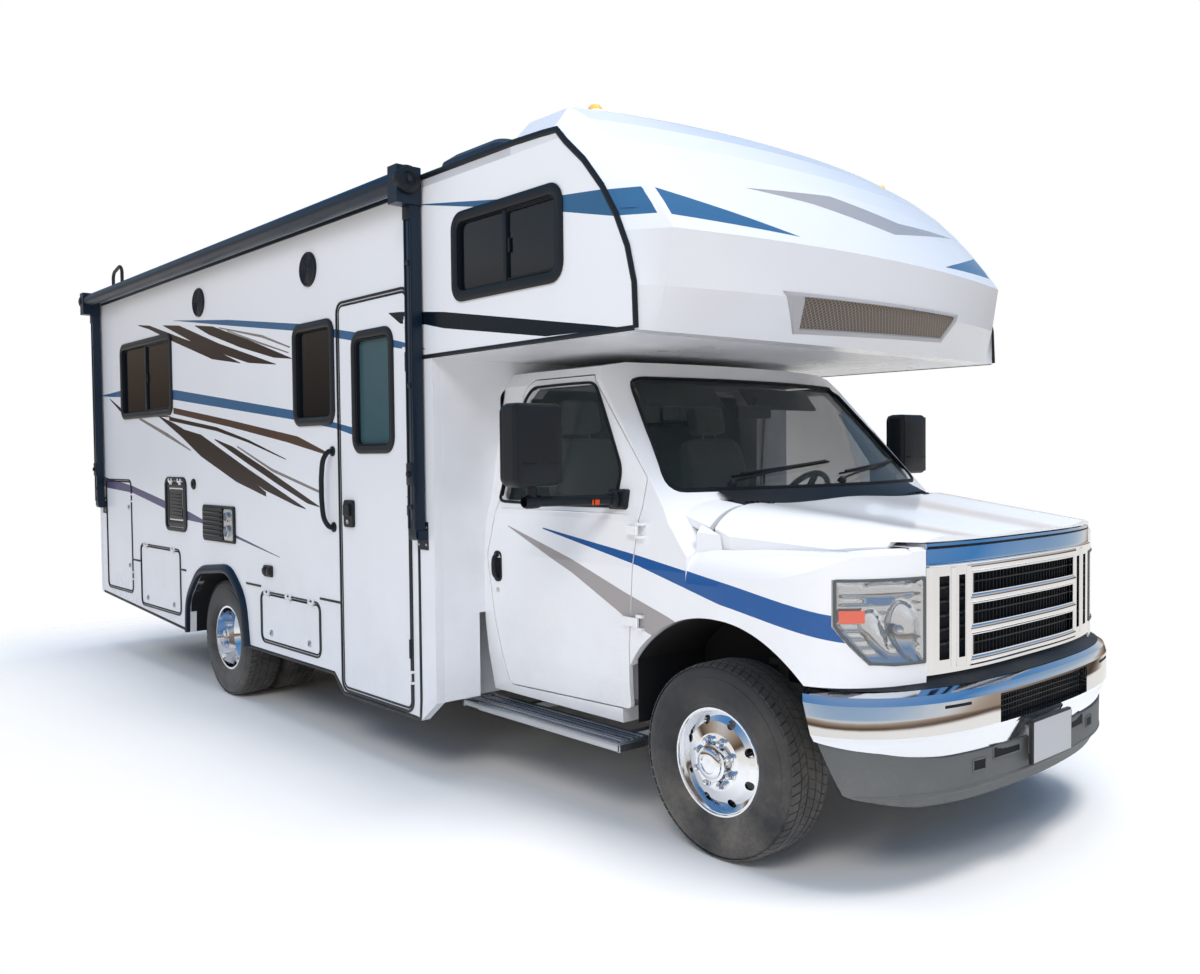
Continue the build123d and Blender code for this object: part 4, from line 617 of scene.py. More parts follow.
def stripe_group(name, stripes, span, rise, across=1, reading=None):
    """A group that lays stripes over the body colour where the outside mask is 1.

    Span and rise are the ends of the area along the axis 'across' and up. Reading is a (math operation, value)
    that the length along the stripes goes through first.
    """
    names = sorted({colour for colour, _, _ in stripes})
    group, given, out = new_group(
        name,
        [("Body", "Color", (0.8, 0.8, 0.8, 1)), *((n, "Color", (0, 0, 0, 1)) for n in names),
         ("Outside", "Float", 1.0)],
        [("Color", "Color"), ("Film", "Float")])
    place = axes_of(object_place(group))
    length = place[across].math(*reading) if reading else place[across]
    along, height = length.ramp(*span), place[2].ramp(*rise)
    colour, film = given["Body"], None
    for shade, top, bottom in stripes:
        edges = []
        for edge in (top, bottom):
            shown = add_node(group, "FloatCurve", {"Value": along})
            mapping = shown.socket.node.mapping
            curve = mapping.curves[0]
            ordered = sorted(((u - span[0]) / (span[1] - span[0]), (v - rise[0]) / (rise[1] - rise[0]))
                             for u, v in edge)
            first, last = ordered[0], ordered[-1]
            curve.points[0].location = (-0.01, first[1])
            curve.points[1].location = (1.01, last[1])
            for u, v in ordered:
                curve.points.new(min(max(u, 0.0), 1.0), min(max(v, 0.0), 1.0))
            for point in curve.points:
                point.handle_type = "VECTOR"
            mapping.update()
            edges.append(shown)
        mask = given["Outside"] * (height < edges[0]) * (height > edges[1]) * (along > first[0]) * (along < last[0])
        colour = mix_colour(group, mask, colour, given[shade])
        film = mask.either(film)
    set_inputs(out, {"Color": colour, "Film": film})


# ---------------------------------------------------------------- finishes
MATERIALS = {}
GRAIN_BAND = (0.3, 0.7)
FACING = 0.35  # how squarely a face has to look out sideways to carry stripes


def new_material(name):
    """An empty material with its shader."""
    material = MATERIALS[name] = bpy.data.materials.new(name)
    material.use_nodes = True
    tree = material.node_tree
    tree.nodes.clear()
    shader = tree.nodes.new("ShaderNodeBsdfPrincipled")
    output = tree.nodes.new("ShaderNodeOutputMaterial")
    tree.links.new(shader.outputs[0], output.inputs["Surface"])
    return tree, shader


def add_bump(tree, shader, height, strength, distance=0.001):
    set_inputs(shader, {"Normal": add_node(tree, "Bump", {"Strength": strength, "Distance": distance,
                                                          "Height": height})})


def toned(colour, share):
    """The colour lightened or darkened by a share."""
    return tuple(min(v * (1 + share), 1.0) for v in colour)


def finish_material(name, colour, roughness, metallic=0.0, grain=(400.0, 0.1, 0.0004), variation=0.06, dust=0.0,
                    dust_top=1.1, coat=0.0, sheen=0.0, spread=0.08, specular=0.5):
    """A finish with fine grain (scale, strength, depth), slight changes of tone and gloss, and dust low down."""
    tree, shader = new_material(name)
    grained = place_group(tree, "surface grain", {"Scale": grain[0], "Waviness": 2.3})
    tone = mix_colour(tree, grained["Variation"].ramp(0.35, 0.65), toned(colour, -variation), toned(colour, variation))
    rough = grained["Variation"].ramp(*GRAIN_BAND, max(roughness - spread / 2, 0.02), roughness + spread / 2)
    if dust:
        dusty = place_group(tree, "road dust", {"Color": tone, "Top": dust_top, "Amount": dust})
        tone = dusty["Color"]
        rough = rough.math("ADD", dusty["Mask"] * 0.45, clamp=True)
    set_inputs(shader, {"Base Color": tone, "Roughness": rough, "Metallic": metallic, "Coat Weight": coat,
                        "Coat Roughness": 0.04, "Sheen Weight": sheen, "Specular IOR Level": specular})
    add_bump(tree, shader, grained["Height"], *grain[1:])
    return tree, shader


def outside_mask(tree, low_x, high_x):
    """1 on faces that look out sideways between these distances from the middle."""
    x = axes_of(object_place(tree))[0]
    normal = axes_of(add_node(tree, "TexCoord", output="Normal"))
    return (abs(x) > low_x) * (abs(x) < high_x) * (x * normal[0] > FACING * low_x)


def gelcoat_tone(tree, body):
    """Grain and the body colour with its slight changes of tone."""
    grained = place_group(tree, "surface grain", {"Scale": 38.0, "Waviness": 0.9})
    return grained, mix_colour(tree, grained["Variation"].ramp(*GRAIN_BAND), toned(body, -0.035), body)


def paint_material(name, body, stripes, reach, colours, dust, roughness=0.2, coat=0.05):
    """Glossy body finish with its stripes: vinyl film on paint or gelcoat."""
    tree, shader = new_material(name)
    mask = outside_mask(tree, *reach)
    grained, tone = gelcoat_tone(tree, body)
    film = None
    for group in stripes:
        wanted = bpy.data.node_groups[group].interface.items_tree
        needed = {s.name: colours[s.name] for s in wanted if s.in_out == "INPUT" and s.name in colours}
        laid = place_group(tree, group, {"Body": tone, "Outside": mask, **needed})
        tone = laid["Color"]
        film = laid["Film"].either(film)
    dusty = place_group(tree, "road dust", {"Color": tone, "Top": 1.25, "Amount": dust})
    rough = grained["Variation"].ramp(*GRAIN_BAND, roughness - 0.04, roughness + 0.05) + film * 0.08
    set_inputs(shader, {"Base Color": dusty["Color"], "Roughness": rough.math("ADD", dusty["Mask"] * 0.4, clamp=True),
                        "Coat Weight": coat, "Coat Roughness": 0.03, "Specular IOR Level": 0.25})
    add_bump(tree, shader, grained["Height"], 0.05, 0.0006)


def glass_material(name, tint, clear, index=1.6, roughness=0.02, tinted=None):
    """Glass that is clear head-on and mirror-like at a glance; tinted is (tint, clear) for the coach's panes."""
    tree, shader = new_material(name)
    grained = place_group(tree, "surface grain", {"Scale": 5.0, "Waviness": 1.7})
    glance = add_node(tree, "LayerWeight", {"Blend": 0.25}, "Facing")
    tone = mix_colour(tree, grained["Variation"], toned(tint, -0.2), tint)
    solid = glance.ramp(0.3, 1.0, 1 - clear)
    if tinted:
        x, y, _ = axes_of(object_place(tree))
        mask = (abs(x) > 1.15).either(y > 0.0)
        tone = mix_colour(tree, mask, tone, tinted[0])
        solid = glance.ramp(0.3, 1.0, 1 - tinted[1]) * mask + solid * (mask * -1.0 + 1.0)
    uneven = grained["Variation"].ramp(0.4, 0.8, roughness, roughness + 0.04)
    set_inputs(shader, {"Base Color": tone, "Roughness": uneven, "Alpha": solid, "IOR": index,
                        "Specular IOR Level": 0.35})
    add_bump(tree, shader, grained["Height"], 0.02, 0.002)


def lifted_chrome(name, levels):
    """Chrome whose face turns up towards the sky with height; levels are (height z, upward lean)."""
    tree, shader = finish_material(name, (0.80, 0.81, 0.83), *CHROME_GLOSS, **CHROME_WEAR)
    height = axes_of(object_place(tree))[2]
    leans = [height.ramp(low, high, 0.0, after - before)
             for (low, before), (high, after) in zip(levels, levels[1:])]
    up = add_node(tree, "CombineXYZ", {"Z": sum(leans[1:], leans[0])})
    face = add_node(tree, "NewGeometry", output="Normal")
    leant = add_node(tree, "VectorMath", enumerate((face, up)), operation="ADD")
    unit = add_node(tree, "VectorMath", {0: leant}, operation="NORMALIZE")
    set_inputs(shader.inputs["Normal"].links[0].from_node, {"Normal": unit})


def base_colour(tree, shader):
    """The signal that now feeds the base colour."""
    return Signal(tree, shader.inputs["Base Color"].links[0].from_socket)


def cowl_material(cab_white):
    """Black louvred middle with painted ends that run into the wings."""
    tree, shader = finish_material("cowl panels", (0.009, 0.012, 0.016), 0.42, grain=(700.0, 0.25, 0.0004))
    ends = abs(axes_of(object_place(tree))[0]) > COWL_PAINT_X
    set_inputs(shader, {"Base Color": mix_colour(tree, ends, base_colour(tree, shader), cab_white)})


def board_material():
    """Floor and locker boards: wood tone inside, gelcoat where they face the front, undercoat below."""
    tree, shader = finish_material("interior board", (0.22, 0.18, 0.14), 0.6, grain=(45.0, 0.3, 0.001))
    place = axes_of(object_place(tree))
    normal = axes_of(add_node(tree, "TexCoord", output="Normal"))
    under = (normal[2] < -0.5).either(place[2] < 0.72)
    ahead = (normal[1] < -0.5) * (place[1] < -1.15)
    tone = mix_colour(tree, under, base_colour(tree, shader), (0.014, 0.014, 0.015))
    set_inputs(shader, {"Base Color": mix_colour(tree, ahead, tone, (0.74, 0.76, 0.80))})


def mesh_material():
    """A black sheet with slanting bright wires, for the panel in the nose."""
    tree, shader = new_material("nose mesh")
    x, _, z = axes_of(object_place(tree))
    left, right = (((x + z * lean) * 260.0).math("SINE") for lean in (-1.4, 1.4))
    mask = left.either(right).ramp(0.72, 0.85)
    set_inputs(shader, {"Base Color": mix_colour(tree, mask, (0.055, 0.038, 0.026), (0.20, 0.16, 0.13)),
                        "Roughness": 0.4})
    add_bump(tree, shader, mask, 0.5, 0.002)


def nose_material(name, body, colours):
    """The nose moulding: the side band carried over the crease, and the swoosh across the front."""
    tree, shader = new_material(name)
    stripe_group("nose stripes", NOSE_STRIPES, (0.0, 1.30), (2.2, 2.8), 0, ("ABSOLUTE",))
    stripe_group("nose swoosh", NOSE_SWOOSH, (0.0, 1.70), (2.3, 2.8), 0, ("ADD", 0.675))
    x, _, z = axes_of(object_place(tree))
    grained, tone = gelcoat_tone(tree, body)
    laid = place_group(tree, "nose stripes", {"Body": tone, "band": colours["band"]})["Color"]
    hatch = (((x + z * 0.8) * 420.0).math("SINE") > -0.2).math("MULTIPLY_ADD", 0.55, 0.45)
    film = place_group(tree, "nose swoosh")["Film"]
    set_inputs(shader, {"Base Color": mix_colour(tree, film * hatch, laid, colours["grey"]),
                        "Roughness": grained["Variation"].ramp(*GRAIN_BAND, 0.15, 0.24),
                        "Coat Weight": 0.35, "Coat Roughness": 0.03})
    add_bump(tree, shader, grained["Height"], 0.05, 0.0006)


CHROME_GLOSS = (0.07, 1.0)
CHROME_WEAR = {"grain": (15.0, 0.03, 0.001), "variation": 0.03, "spread": 0.05, "dust": 0.06, "dust_top": 0.6}
METAL = {"metallic": 1.0}
LENS = {"grain": (600.0, 0.2, 0.0006)}
FINE = {"grain": (350.0, 0.1, 0.0003)}
# finish: colour, roughness, and what differs from a plain finish
FINISHES = {
    "black moulding": ((0.009, 0.012, 0.016), 0.42, {"grain": (700.0, 0.25, 0.0004), "dust": 0.2, "spread": 0.12,
                                                     "specular": 0.3}),
    "black rubber seal": ((0.007, 0.008, 0.010), 0.6, {"grain": (300.0, 0.1, 0.0003), "specular": 0.25}),
    "awning paint": ((0.003, 0.012, 0.027), 0.38, {"grain": (500.0, 0.04, 0.0002), "specular": 0.35}),
    "chassis paint": ((0.012, 0.012, 0.013), 0.5, {"grain": (60.0, 0.3, 0.001), "dust": 0.6, "dust_top": 0.9}),
    "cast metal": ((0.055, 0.050, 0.046), 0.65, {"metallic": 0.5, "grain": (120.0, 0.5, 0.0012), "dust": 0.7}),
    "chrome": ((0.82, 0.83, 0.85), 0.07, {**METAL, **CHROME_WEAR}),
    "satin silver": ((0.60, 0.61, 0.62), 0.3, {**METAL, "grain": (400.0, 0.1, 0.0003)}),
    "grey moulding": ((0.095, 0.105, 0.108), 0.55, {"grain": (650.0, 0.3, 0.0005), "dust": 0.35, "dust_top": 0.6}),
    # near-black: partly the own colour of black liners, dial faces and the dash's centre panel, partly painted shade
    # where it fills slots, louvre gaps, openings and wheel wells
    "dark recess": ((0.006, 0.006, 0.007), 0.8, {"grain": (80.0, 0.2, 0.001)}),
    "grey stripe moulding": ((0.36, 0.36, 0.38), 0.3, FINE),
    "lamp reflector": ((0.56, 0.57, 0.58), 0.10, {**METAL, "grain": (30.0, 0.1, 0.001)}),
    "marker lens": ((0.95, 0.50, 0.09), 0.2, {**LENS, "coat": 0.6}),
    "amber lens": ((0.80, 0.075, 0.004), 0.2, {**LENS, "coat": 0.1, "specular": 0.3}),
    "red lens": ((0.36, 0.006, 0.005), 0.2, {**LENS, "coat": 0.1, "specular": 0.3}),
    "plate white": ((0.50, 0.51, 0.53), 0.35, {"grain": (200.0, 0.05, 0.0003), "dust": 0.2, "dust_top": 0.8}),
    "dash plastic": ((0.10, 0.10, 0.105), 0.6, {"grain": (900.0, 0.4, 0.0004)}),
    # dark grey cloth, darkened further as painted shade of the unlit inside behind the windows and the screen
    "curtain cloth": ((0.10, 0.11, 0.115), 0.9, {"grain": (800.0, 0.4, 0.0006), "sheen": 0.4}),
    "cooler shroud": ((0.014, 0.018, 0.024), 0.38, {"grain": (500.0, 0.2, 0.0004)}),
    "tyre rubber": ((0.022, 0.022, 0.023), 0.75, {"grain": (260.0, 0.3, 0.0006), "dust": 0.5, "dust_top": 0.75,
                                                  "sheen": 0.15}),
}
CAB_TINT = (0.015, 0.03, 0.032)
COACH_PANE = ((0.003, 0.007, 0.011), 0.16)


def make_materials(colours):
    make_surface_groups()
    stripe_group("coach stripes", COACH_STRIPES, (-1.25, 3.56), (0.9, 2.6))
    stripe_group("cabover stripes", CABOVER_STRIPES, (-2.8, -0.58), (1.95, 2.8))
    stripe_group("cab stripes", CAB_STRIPES, (-3.55, -1.5), (0.7, 1.3))
    shades = {name: tuple(getattr(colours, name)) for name in
              ("band", "slash", "brown", "grey", "violet", "navy", "azure", "silver")}
    coach_white, cab_white = tuple(colours.coach), tuple(colours.cab)
    paint_material("coach gelcoat", coach_white, ["coach stripes", "cabover stripes"],
                   (COACH_X - 0.004, COACH_X + 0.01), shades, 0.22)
    paint_material("cab paint", cab_white, ["cab stripes"], (0.80, 1.02), shades, 0.25, 0.16, 0.3)
    nose_material("nose gelcoat", toned(coach_white, NOSE_SHADE - 1), shades)
    for name, (colour, roughness, rest) in FINISHES.items():
        finish_material(name, colour, roughness, **rest)
    finish_material("roof sheet", toned(coach_white, -0.34), 0.5, grain=(90.0, 0.12, 0.001), variation=0.04)
    finish_material("white moulding", toned(coach_white, -0.02), 0.3, dust=0.15, **FINE)
    board_material()
    glass_material("coach and cab glass", CAB_TINT, 0.70, roughness=0.01, tinted=COACH_PANE)
    glass_material("cab glass", CAB_TINT, 0.66)
    glass_material("entry glass", (0.065, 0.14, 0.17), 0.25, roughness=0.05)
    glass_material("lamp lens", (0.80, 0.82, 0.84), 0.86, 1.7, 0.01)
    lifted_chrome("grille chrome", [(1.128, 0.0), (1.150, 0.75), (1.250, 0.95)])
    lifted_chrome("bumper chrome", [(0.560, 0.0), (0.620, 0.22), (0.628, 0.288), (0.682, 0.304), (0.690, 0.42),
                                    (0.716, 0.62)])
    cowl_material(cab_white)
    mesh_material()
    tree, shader = finish_material("brushed aluminium", (0.55, 0.57, 0.60), 0.34, 1.0, dust=0.25, dust_top=0.6)
    add_bump(tree, shader, place_group(tree, "brushed lines")["Height"], 0.25, 0.0004)
    tree, shader = finish_material("seat cloth", (0.23, 0.225, 0.22), 0.92, sheen=0.5)
    woven = place_group(tree, "weave", {"Threads": 900.0})
    add_bump(tree, shader, woven["Height"], 0.5, 0.0008)
    set_inputs(shader, {"Base Color": mix_colour(tree, woven["Shade"], (0.17, 0.165, 0.16), (0.29, 0.285, 0.28))})


# finish: the CAD nodes that carry it
NODE_FINISHES = {
    "coach gelcoat": "coach_wall_left coach_wall_right entry_door service_lid hatch_right_closet hatch_right_rear "
                     "hatch_right_middle hatch_left_rear hatch_left_middle",
    "white moulding": "coach_wall_rear bulkhead",
    "roof sheet": "coach_roof",
    "nose gelcoat": "luton_nose",
    "cab paint": "bonnet front_wings cab_shell cab_door_left cab_door_right",
    "black moulding": "mirror_left mirror_right window_frames tanks",
    "cowl panels": "cowl",
    "cooler shroud": "roof_units",
    "dash plastic": "dashboard",
    "chassis paint": "frame_rails rear_bumper ladder",
    "awning paint": "awning awning_feet",
    "grille chrome": "grille",
    "bumper chrome": "front_bumper",
    "chrome": "wheel_front_left wheel_front_right wheels_rear_left wheels_rear_right",
    "brushed aluminium": "running_boards exhaust",
    "cast metal": "engine front_axle rear_axle springs knuckle_left knuckle_right",
    "tyre rubber": "tyre_front_left tyre_front_right tyres_rear_left tyres_rear_right",
    "coach and cab glass": "fixed_glass",
    "entry glass": "entry_glass",
    "cab glass": "cab_glass_left cab_glass_right",
    "lamp reflector": "lamps",
    "grey moulding": "air_dam",
    "seat cloth": "seats",
    "plate white": "number_plates",
    "interior board": "coach_floor lockers",
}


def dress_nodes():
    for finish, names in NODE_FINISHES.items():
        for name in names.split():
            materials = NODES[name].data.materials
            for index in range(len(materials)):
                materials[index] = MATERIALS[finish]
            if not materials:
                materials.append(MATERIALS[finish])


# ---------------------------------------------------------------- settings
def colour_setting(label, words, value):
    return FloatVectorProperty(name=label, description=words, subtype="COLOR", size=3, min=0, max=1, default=value)


def length_setting(label, words, value, low, high):
    return FloatProperty(name=label, description=words, subtype="DISTANCE", unit="LENGTH", min=low, max=high,
                         default=value)


class MotorhomeColours(bpy.types.PropertyGroup):
    """Body and stripe colours."""

    coach: colour_setting("Coach white", "Gelcoat of the coach walls and the nose", (0.78, 0.80, 0.84))
    cab: colour_setting("Cab white", "Paint of the cab, bonnet and front wings", (0.84, 0.85, 0.87))
    band: colour_setting("Band blue", "Broad slate blue bands along the coach", linear(0.20, 0.37, 0.52))
    navy: colour_setting("Navy", "Dark band under the over-cab window", linear(0.035, 0.09, 0.13))
    azure: colour_setting("Azure", "Bright stripe on the bonnet side and cab door", linear(0.10, 0.33, 0.58))
    silver: colour_setting("Silver", "Pale grey stripe on the cab door", linear(0.62, 0.60, 0.60))
    slash: colour_setting("Slash black", "Near-black tapering slashes", linear(0.15, 0.12, 0.11))
    brown: colour_setting("Brown", "Brown slash under the band", linear(0.29, 0.22, 0.18))
    grey: colour_setting("Stripe grey", "Fine grey slashes", linear(0.50, 0.48, 0.47))
    violet: colour_setting("Violet grey", "Low band from the closet to the wheel arch", linear(0.33, 0.32, 0.45))


class MotorhomeSizes(bpy.types.PropertyGroup):
    """Sizes of the fittings."""

    tread_depth: length_setting("Tread depth", "Depth of the tyre grooves", 0.009, 0.002, 0.02)
    tread_pitches: IntProperty(name="Tread pitches", description="Tread blocks round a tyre", min=24, max=120,
                               default=64)
    lug_covers: IntProperty(name="Lug covers", description="Nut covers on a wheel", min=4, max=10, default=8)
    seal_width: length_setting("Seal width", "Width of the rubber seal round the entry door", 0.012, 0.004, 0.04)


def sizes():
    return bpy.context.scene.motorhome_sizes


class MOTORHOME_OT_finishes(bpy.types.Operator):
    """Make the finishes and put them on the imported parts"""

    bl_idname = "motorhome.finishes"
    bl_label = "Finishes"

    def execute(self, context):
        make_materials(context.scene.motorhome_colours)
        dress_nodes()
        return {"FINISHED"}


# ---------------------------------------------------------------- tyres and wheels
TYRE_SIDE = mm(88, 204.5, 96, 207, 100, 216, 104.5, 220, 105.2, 228, 108.5, 233, 110.5, 250, 112.5, 275, 111.8, 300,
               109.5, 315, 109.5, 318.5, 106.2, 320.5, 104, 335, 100.5, 348, 95.5, 356, 88, 360.5)
# rib: (low, high) across the tread; skew along the tread of its cross grooves; groove share
TREAD_RIBS = [(-0.0985, -0.0640, 0.006, 0.16), (-0.0570, -0.0260, 0.010, 0.10), (-0.0195, 0.0195, -0.008, 0.08),
              (0.0260, 0.0570, -0.010, 0.10), (0.0640, 0.0985, -0.006, 0.16)]
TREAD_R = 0.3715
SHOULDER = 0.090  # beyond this distance from the middle a rib turns down into the side


def add_tyre(bm, centre):
    floor = TREAD_R - sizes().tread_depth
    profile = [(-a, r) for a, r in TYRE_SIDE] + [(-0.060, floor), (0.0, floor), (0.060, floor)]
    profile += [(a, r) for a, r in reversed(TYRE_SIDE)] + [(0.080, 0.2035), (-0.080, 0.2035)]
    profile = [(a, min(r, floor) if abs(a) < 0.089 else r) for a, r in profile]
    add_turned(bm, profile, centre, (1, 0, 0), 0, 96, closed=True)
    count = sizes().tread_pitches
    for row, (low, high, skew, share) in enumerate(TREAD_RIBS):
        for k in range(count):
            start = (k + 0.5 * (row % 2)) / count
            places = [(along, 2 * math.pi * (start + (1 - share) / count * half / 2) + lean / TREAD_R)
                      for along, lean in ((low, -skew), (high, skew)) for half in range(3)]
            verts = []
            for sunk in (True, False):
                for along, turn in places:
                    edge = abs(along) > SHOULDER
                    radius = floor - 0.003 if sunk else (TREAD_R - 0.006 if edge else TREAD_R)
                    verts.append(bm.verts.new((centre[0] + along * (0.985 if edge and not sunk else 1.0),
                                               centre[1] + radius * math.sin(turn),
                                               centre[2] + radius * math.cos(turn))))
            inner, outer = verts[:6], verts[6:]
            for a, b, c, d in ((0, 1, 4, 3), (1, 2, 5, 4)):
                bm.faces.new((outer[a], outer[b], outer[c], outer[d]))
            for a, b in ((0, 1), (1, 2), (2, 5), (5, 4), (4, 3), (3, 0)):
                bm.faces.new((outer[a], outer[b], inner[b], inner[a]))


def build_tyres():
    for side, sign in SIDES.items():
        front_body, rear_body = WHEEL_BODIES[side]
        for node, body, y, places in ((f"tyre_front_{side}", front_body, FRONT_AXLE_Y, [FRONT_WHEEL_X]),
                                      (f"tyres_rear_{side}", rear_body, REAR_AXLE_Y, [REAR_OUTER_X, REAR_INNER_X])):
            bm = bmesh.new()
            for x in places:
                add_tyre(bm, (sign * x, y, AXLE_Z))
            piece = finish_mesh(node + "_tread", bm, ["tyre rubber"], body, "rubber_tyre", 40)
            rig.replaces(piece, node)


def add_nut(bm, centre, axis, radius, height):
    """A domed six-sided nut cover standing on a skirt."""
    add_turned(bm, [(0, radius * 1.35), (height * 0.14, radius * 1.3), (height * 0.22, radius * 1.05)], centre, axis,
               0, 18)
    add_turned(bm, [(0, radius), (height * 0.80, radius * 0.97), (height * 0.93, radius * 0.78),
                    (height, radius * 0.40), (height * 1.01, 0)], centre, axis, 0, 6)


def build_wheel_trims():
    for side, sign in SIDES.items():
        out = Vector((sign, 0, 0))
        # the wheel's face, the circle of its nuts and the rim's lip
        for end, node, wheel_x, axle_y, ring, lip_x in (
                ("front", "wheel_front_", FRONT_WHEEL_X, FRONT_AXLE_Y, 0.087, 0.974),
                ("rear", "wheels_rear_", REAR_OUTER_X, REAR_AXLE_Y, 0.086, 1.214)):
            tree = surface_of(node + side)

            def face_at(radius, turn):
                y, z = axle_y + radius * math.sin(turn), AXLE_Z + radius * math.cos(turn)
                return cast(tree, (sign * 1.6, y, z), (-sign, 0, 0), (sign * wheel_x, y, z))[0]

            bm = bmesh.new()
            count = sizes().lug_covers
            for k in range(count):
                add_nut(bm, face_at(ring, 2 * math.pi * (k + 0.5) / count) - out * 0.001, out, 0.0125, 0.034)
            hub = face_at(0.0, 0.0)
            base = min((face_at(0.052, 0.3) - hub).dot(out), 0.0) - 0.002
            add_turned(bm, [(base, 0.058), *mm(4, 56, 8, 50, 10, 36, 6, 34, 6, 10, 7, 0)], hub, out, 0, 40)
            add_turned(bm, mm(-10, 205.5, 3, 207.5, 6, 205, 5, 199, -3, 195, -10, 193),
                       (sign * lip_x, axle_y, AXLE_Z), out, 0, 72)
            valve = face_at(0.160, 0.35)
            add_tube(bm, [valve, valve + out * 0.012 + Vector((0, 0.006, 0)), valve + out * 0.03], 0.004, 1, 8)
            body = WHEEL_BODIES[side][end == "rear"]
            finish_mesh(f"wheel_trim_{end}_{side}", bm, ["chrome", "satin silver"], body, "chrome", 34)


class MOTORHOME_OT_tyres(bpy.types.Operator):
    """Build the tyres with their treads in place of the plain ones"""

    bl_idname = "motorhome.tyres"
    bl_label = "Tyres"

    def execute(self, context):
        build_tyres()
        return {"FINISHED"}


class MOTORHOME_OT_wheel_trims(bpy.types.Operator):
    """Build the nut covers, hub caps and rim lips"""

    bl_idname = "motorhome.wheel_trims"
    bl_label = "Wheel trims"

    def execute(self, context):
        build_wheel_trims()
        return {"FINISHED"}


# ---------------------------------------------------------------- windows, doors and hatches
def grown(rectangle, by, radius):
    low_y, high_y, low_z, high_z = rectangle
    return rounded_outline(low_y - by, high_y + by, low_z - by, high_z + by, radius)


def add_frame(bm, rectangle, place, outside, inside, radius, height, index=0, foot=-0.002):
    """A rounded bead between the rectangle grown by 'outside' and shrunk by 'inside'."""
    outer = grown(rectangle, outside, max(radius + outside, 0.004))
    inner = grown(rectangle, -inside, max(radius - inside, 0.003))
    add_ring(bm, outer, inner, place, [(0, foot), (0, height * 0.6), (0.18, height), (0.82, height), (1, height * 0.6),
                                       (1, foot)], index)


def add_slats(bm, place, low_u, high_u, starts, width, heights, bevel=0.002, index=0):
    """Bars across from low u to high u, one at each start up the face."""
    for v in starts:
        add_box(bm, place(low_u, v, heights[0]), place(high_u, v + width, heights[1]), bevel, index)


def build_windows():
    inner, edge = 0.030, 0.035
    for side, sign in SIDES.items():
        place = on_side(sign)
        bm = bmesh.new()
        for opening, bar, _ in WINDOWS[side]:
            low_y, high_y, low_z, high_z = opening
            add_frame(bm, opening, place, 0.016, 0.028, 0.060, 0.012, 0, 0.004)
            add_frame(bm, opening, place, -0.029, 0.036, 0.060, -0.004, 1, -0.014)
            if bar is not None:
                middle = (low_z + high_z) / 2
                add_box(bm, place(bar - 0.013, low_z + inner, -0.012), place(bar + 0.013, high_z - inner, 0.001), 0.003)
                pane = (low_y + inner, bar, low_z + inner, high_z - inner)
                add_frame(bm, pane, place, -0.001, 0.014, 0.030, -0.004, 0, -0.012)
                add_box(bm, place(bar - 0.032, middle - 0.03, -0.011), place(bar - 0.020, middle + 0.03, -0.002), 0.002)
        finish_mesh(f"window_beads_{side}", bm, ["black moulding", "black rubber seal"])
        # pleated shades behind the glass; their cloth is darkened as painted shade of the unlit inside
        bm = bmesh.new()
        for (low_y, high_y, _, high_z), _, drop in WINDOWS[side]:
            top = high_z - edge
            pleats = int(drop / 0.012)
            add_sheet(bm, [[place(y, top - drop * k / pleats, -0.057 if k % 2 else -0.050)
                            for y in (low_y + edge, (low_y + high_y) / 2, high_y - edge)] for k in range(pleats + 1)])
            add_box(bm, place(low_y + edge, top - drop - 0.012, -0.058), place(high_y - edge, top - drop, -0.048),
                    0.002, 1)
        finish_mesh(f"window_shades_{side}", bm, ["curtain cloth", "white moulding"], slot="seat_fabric", sharp=20)

    bm = bmesh.new()
    add_frame(bm, ENTRY_WINDOW, on_side(-1), 0.020, 0.020, 0.060, 0.009, 0, -0.004)
    add_frame(bm, ENTRY_WINDOW, on_side(-1), -0.022, 0.030, 0.060, 0.003, 1, -0.016)
    finish_mesh("entry_window_bead", bm, ["black moulding", "black rubber seal"], "coach_door")
    place = on_end(COACH_REAR_Y)
    bm = bmesh.new()
    add_frame(bm, (-0.450, 0.450, 1.750, 2.250), place, 0.016, 0.028, 0.060, 0.012, 0, 0.0)
    add_box(bm, place(-0.40, 1.775, -0.012), place(0.40, 1.795, -0.002), 0.003)
    finish_mesh("window_bead_rear", bm, ["black moulding"])


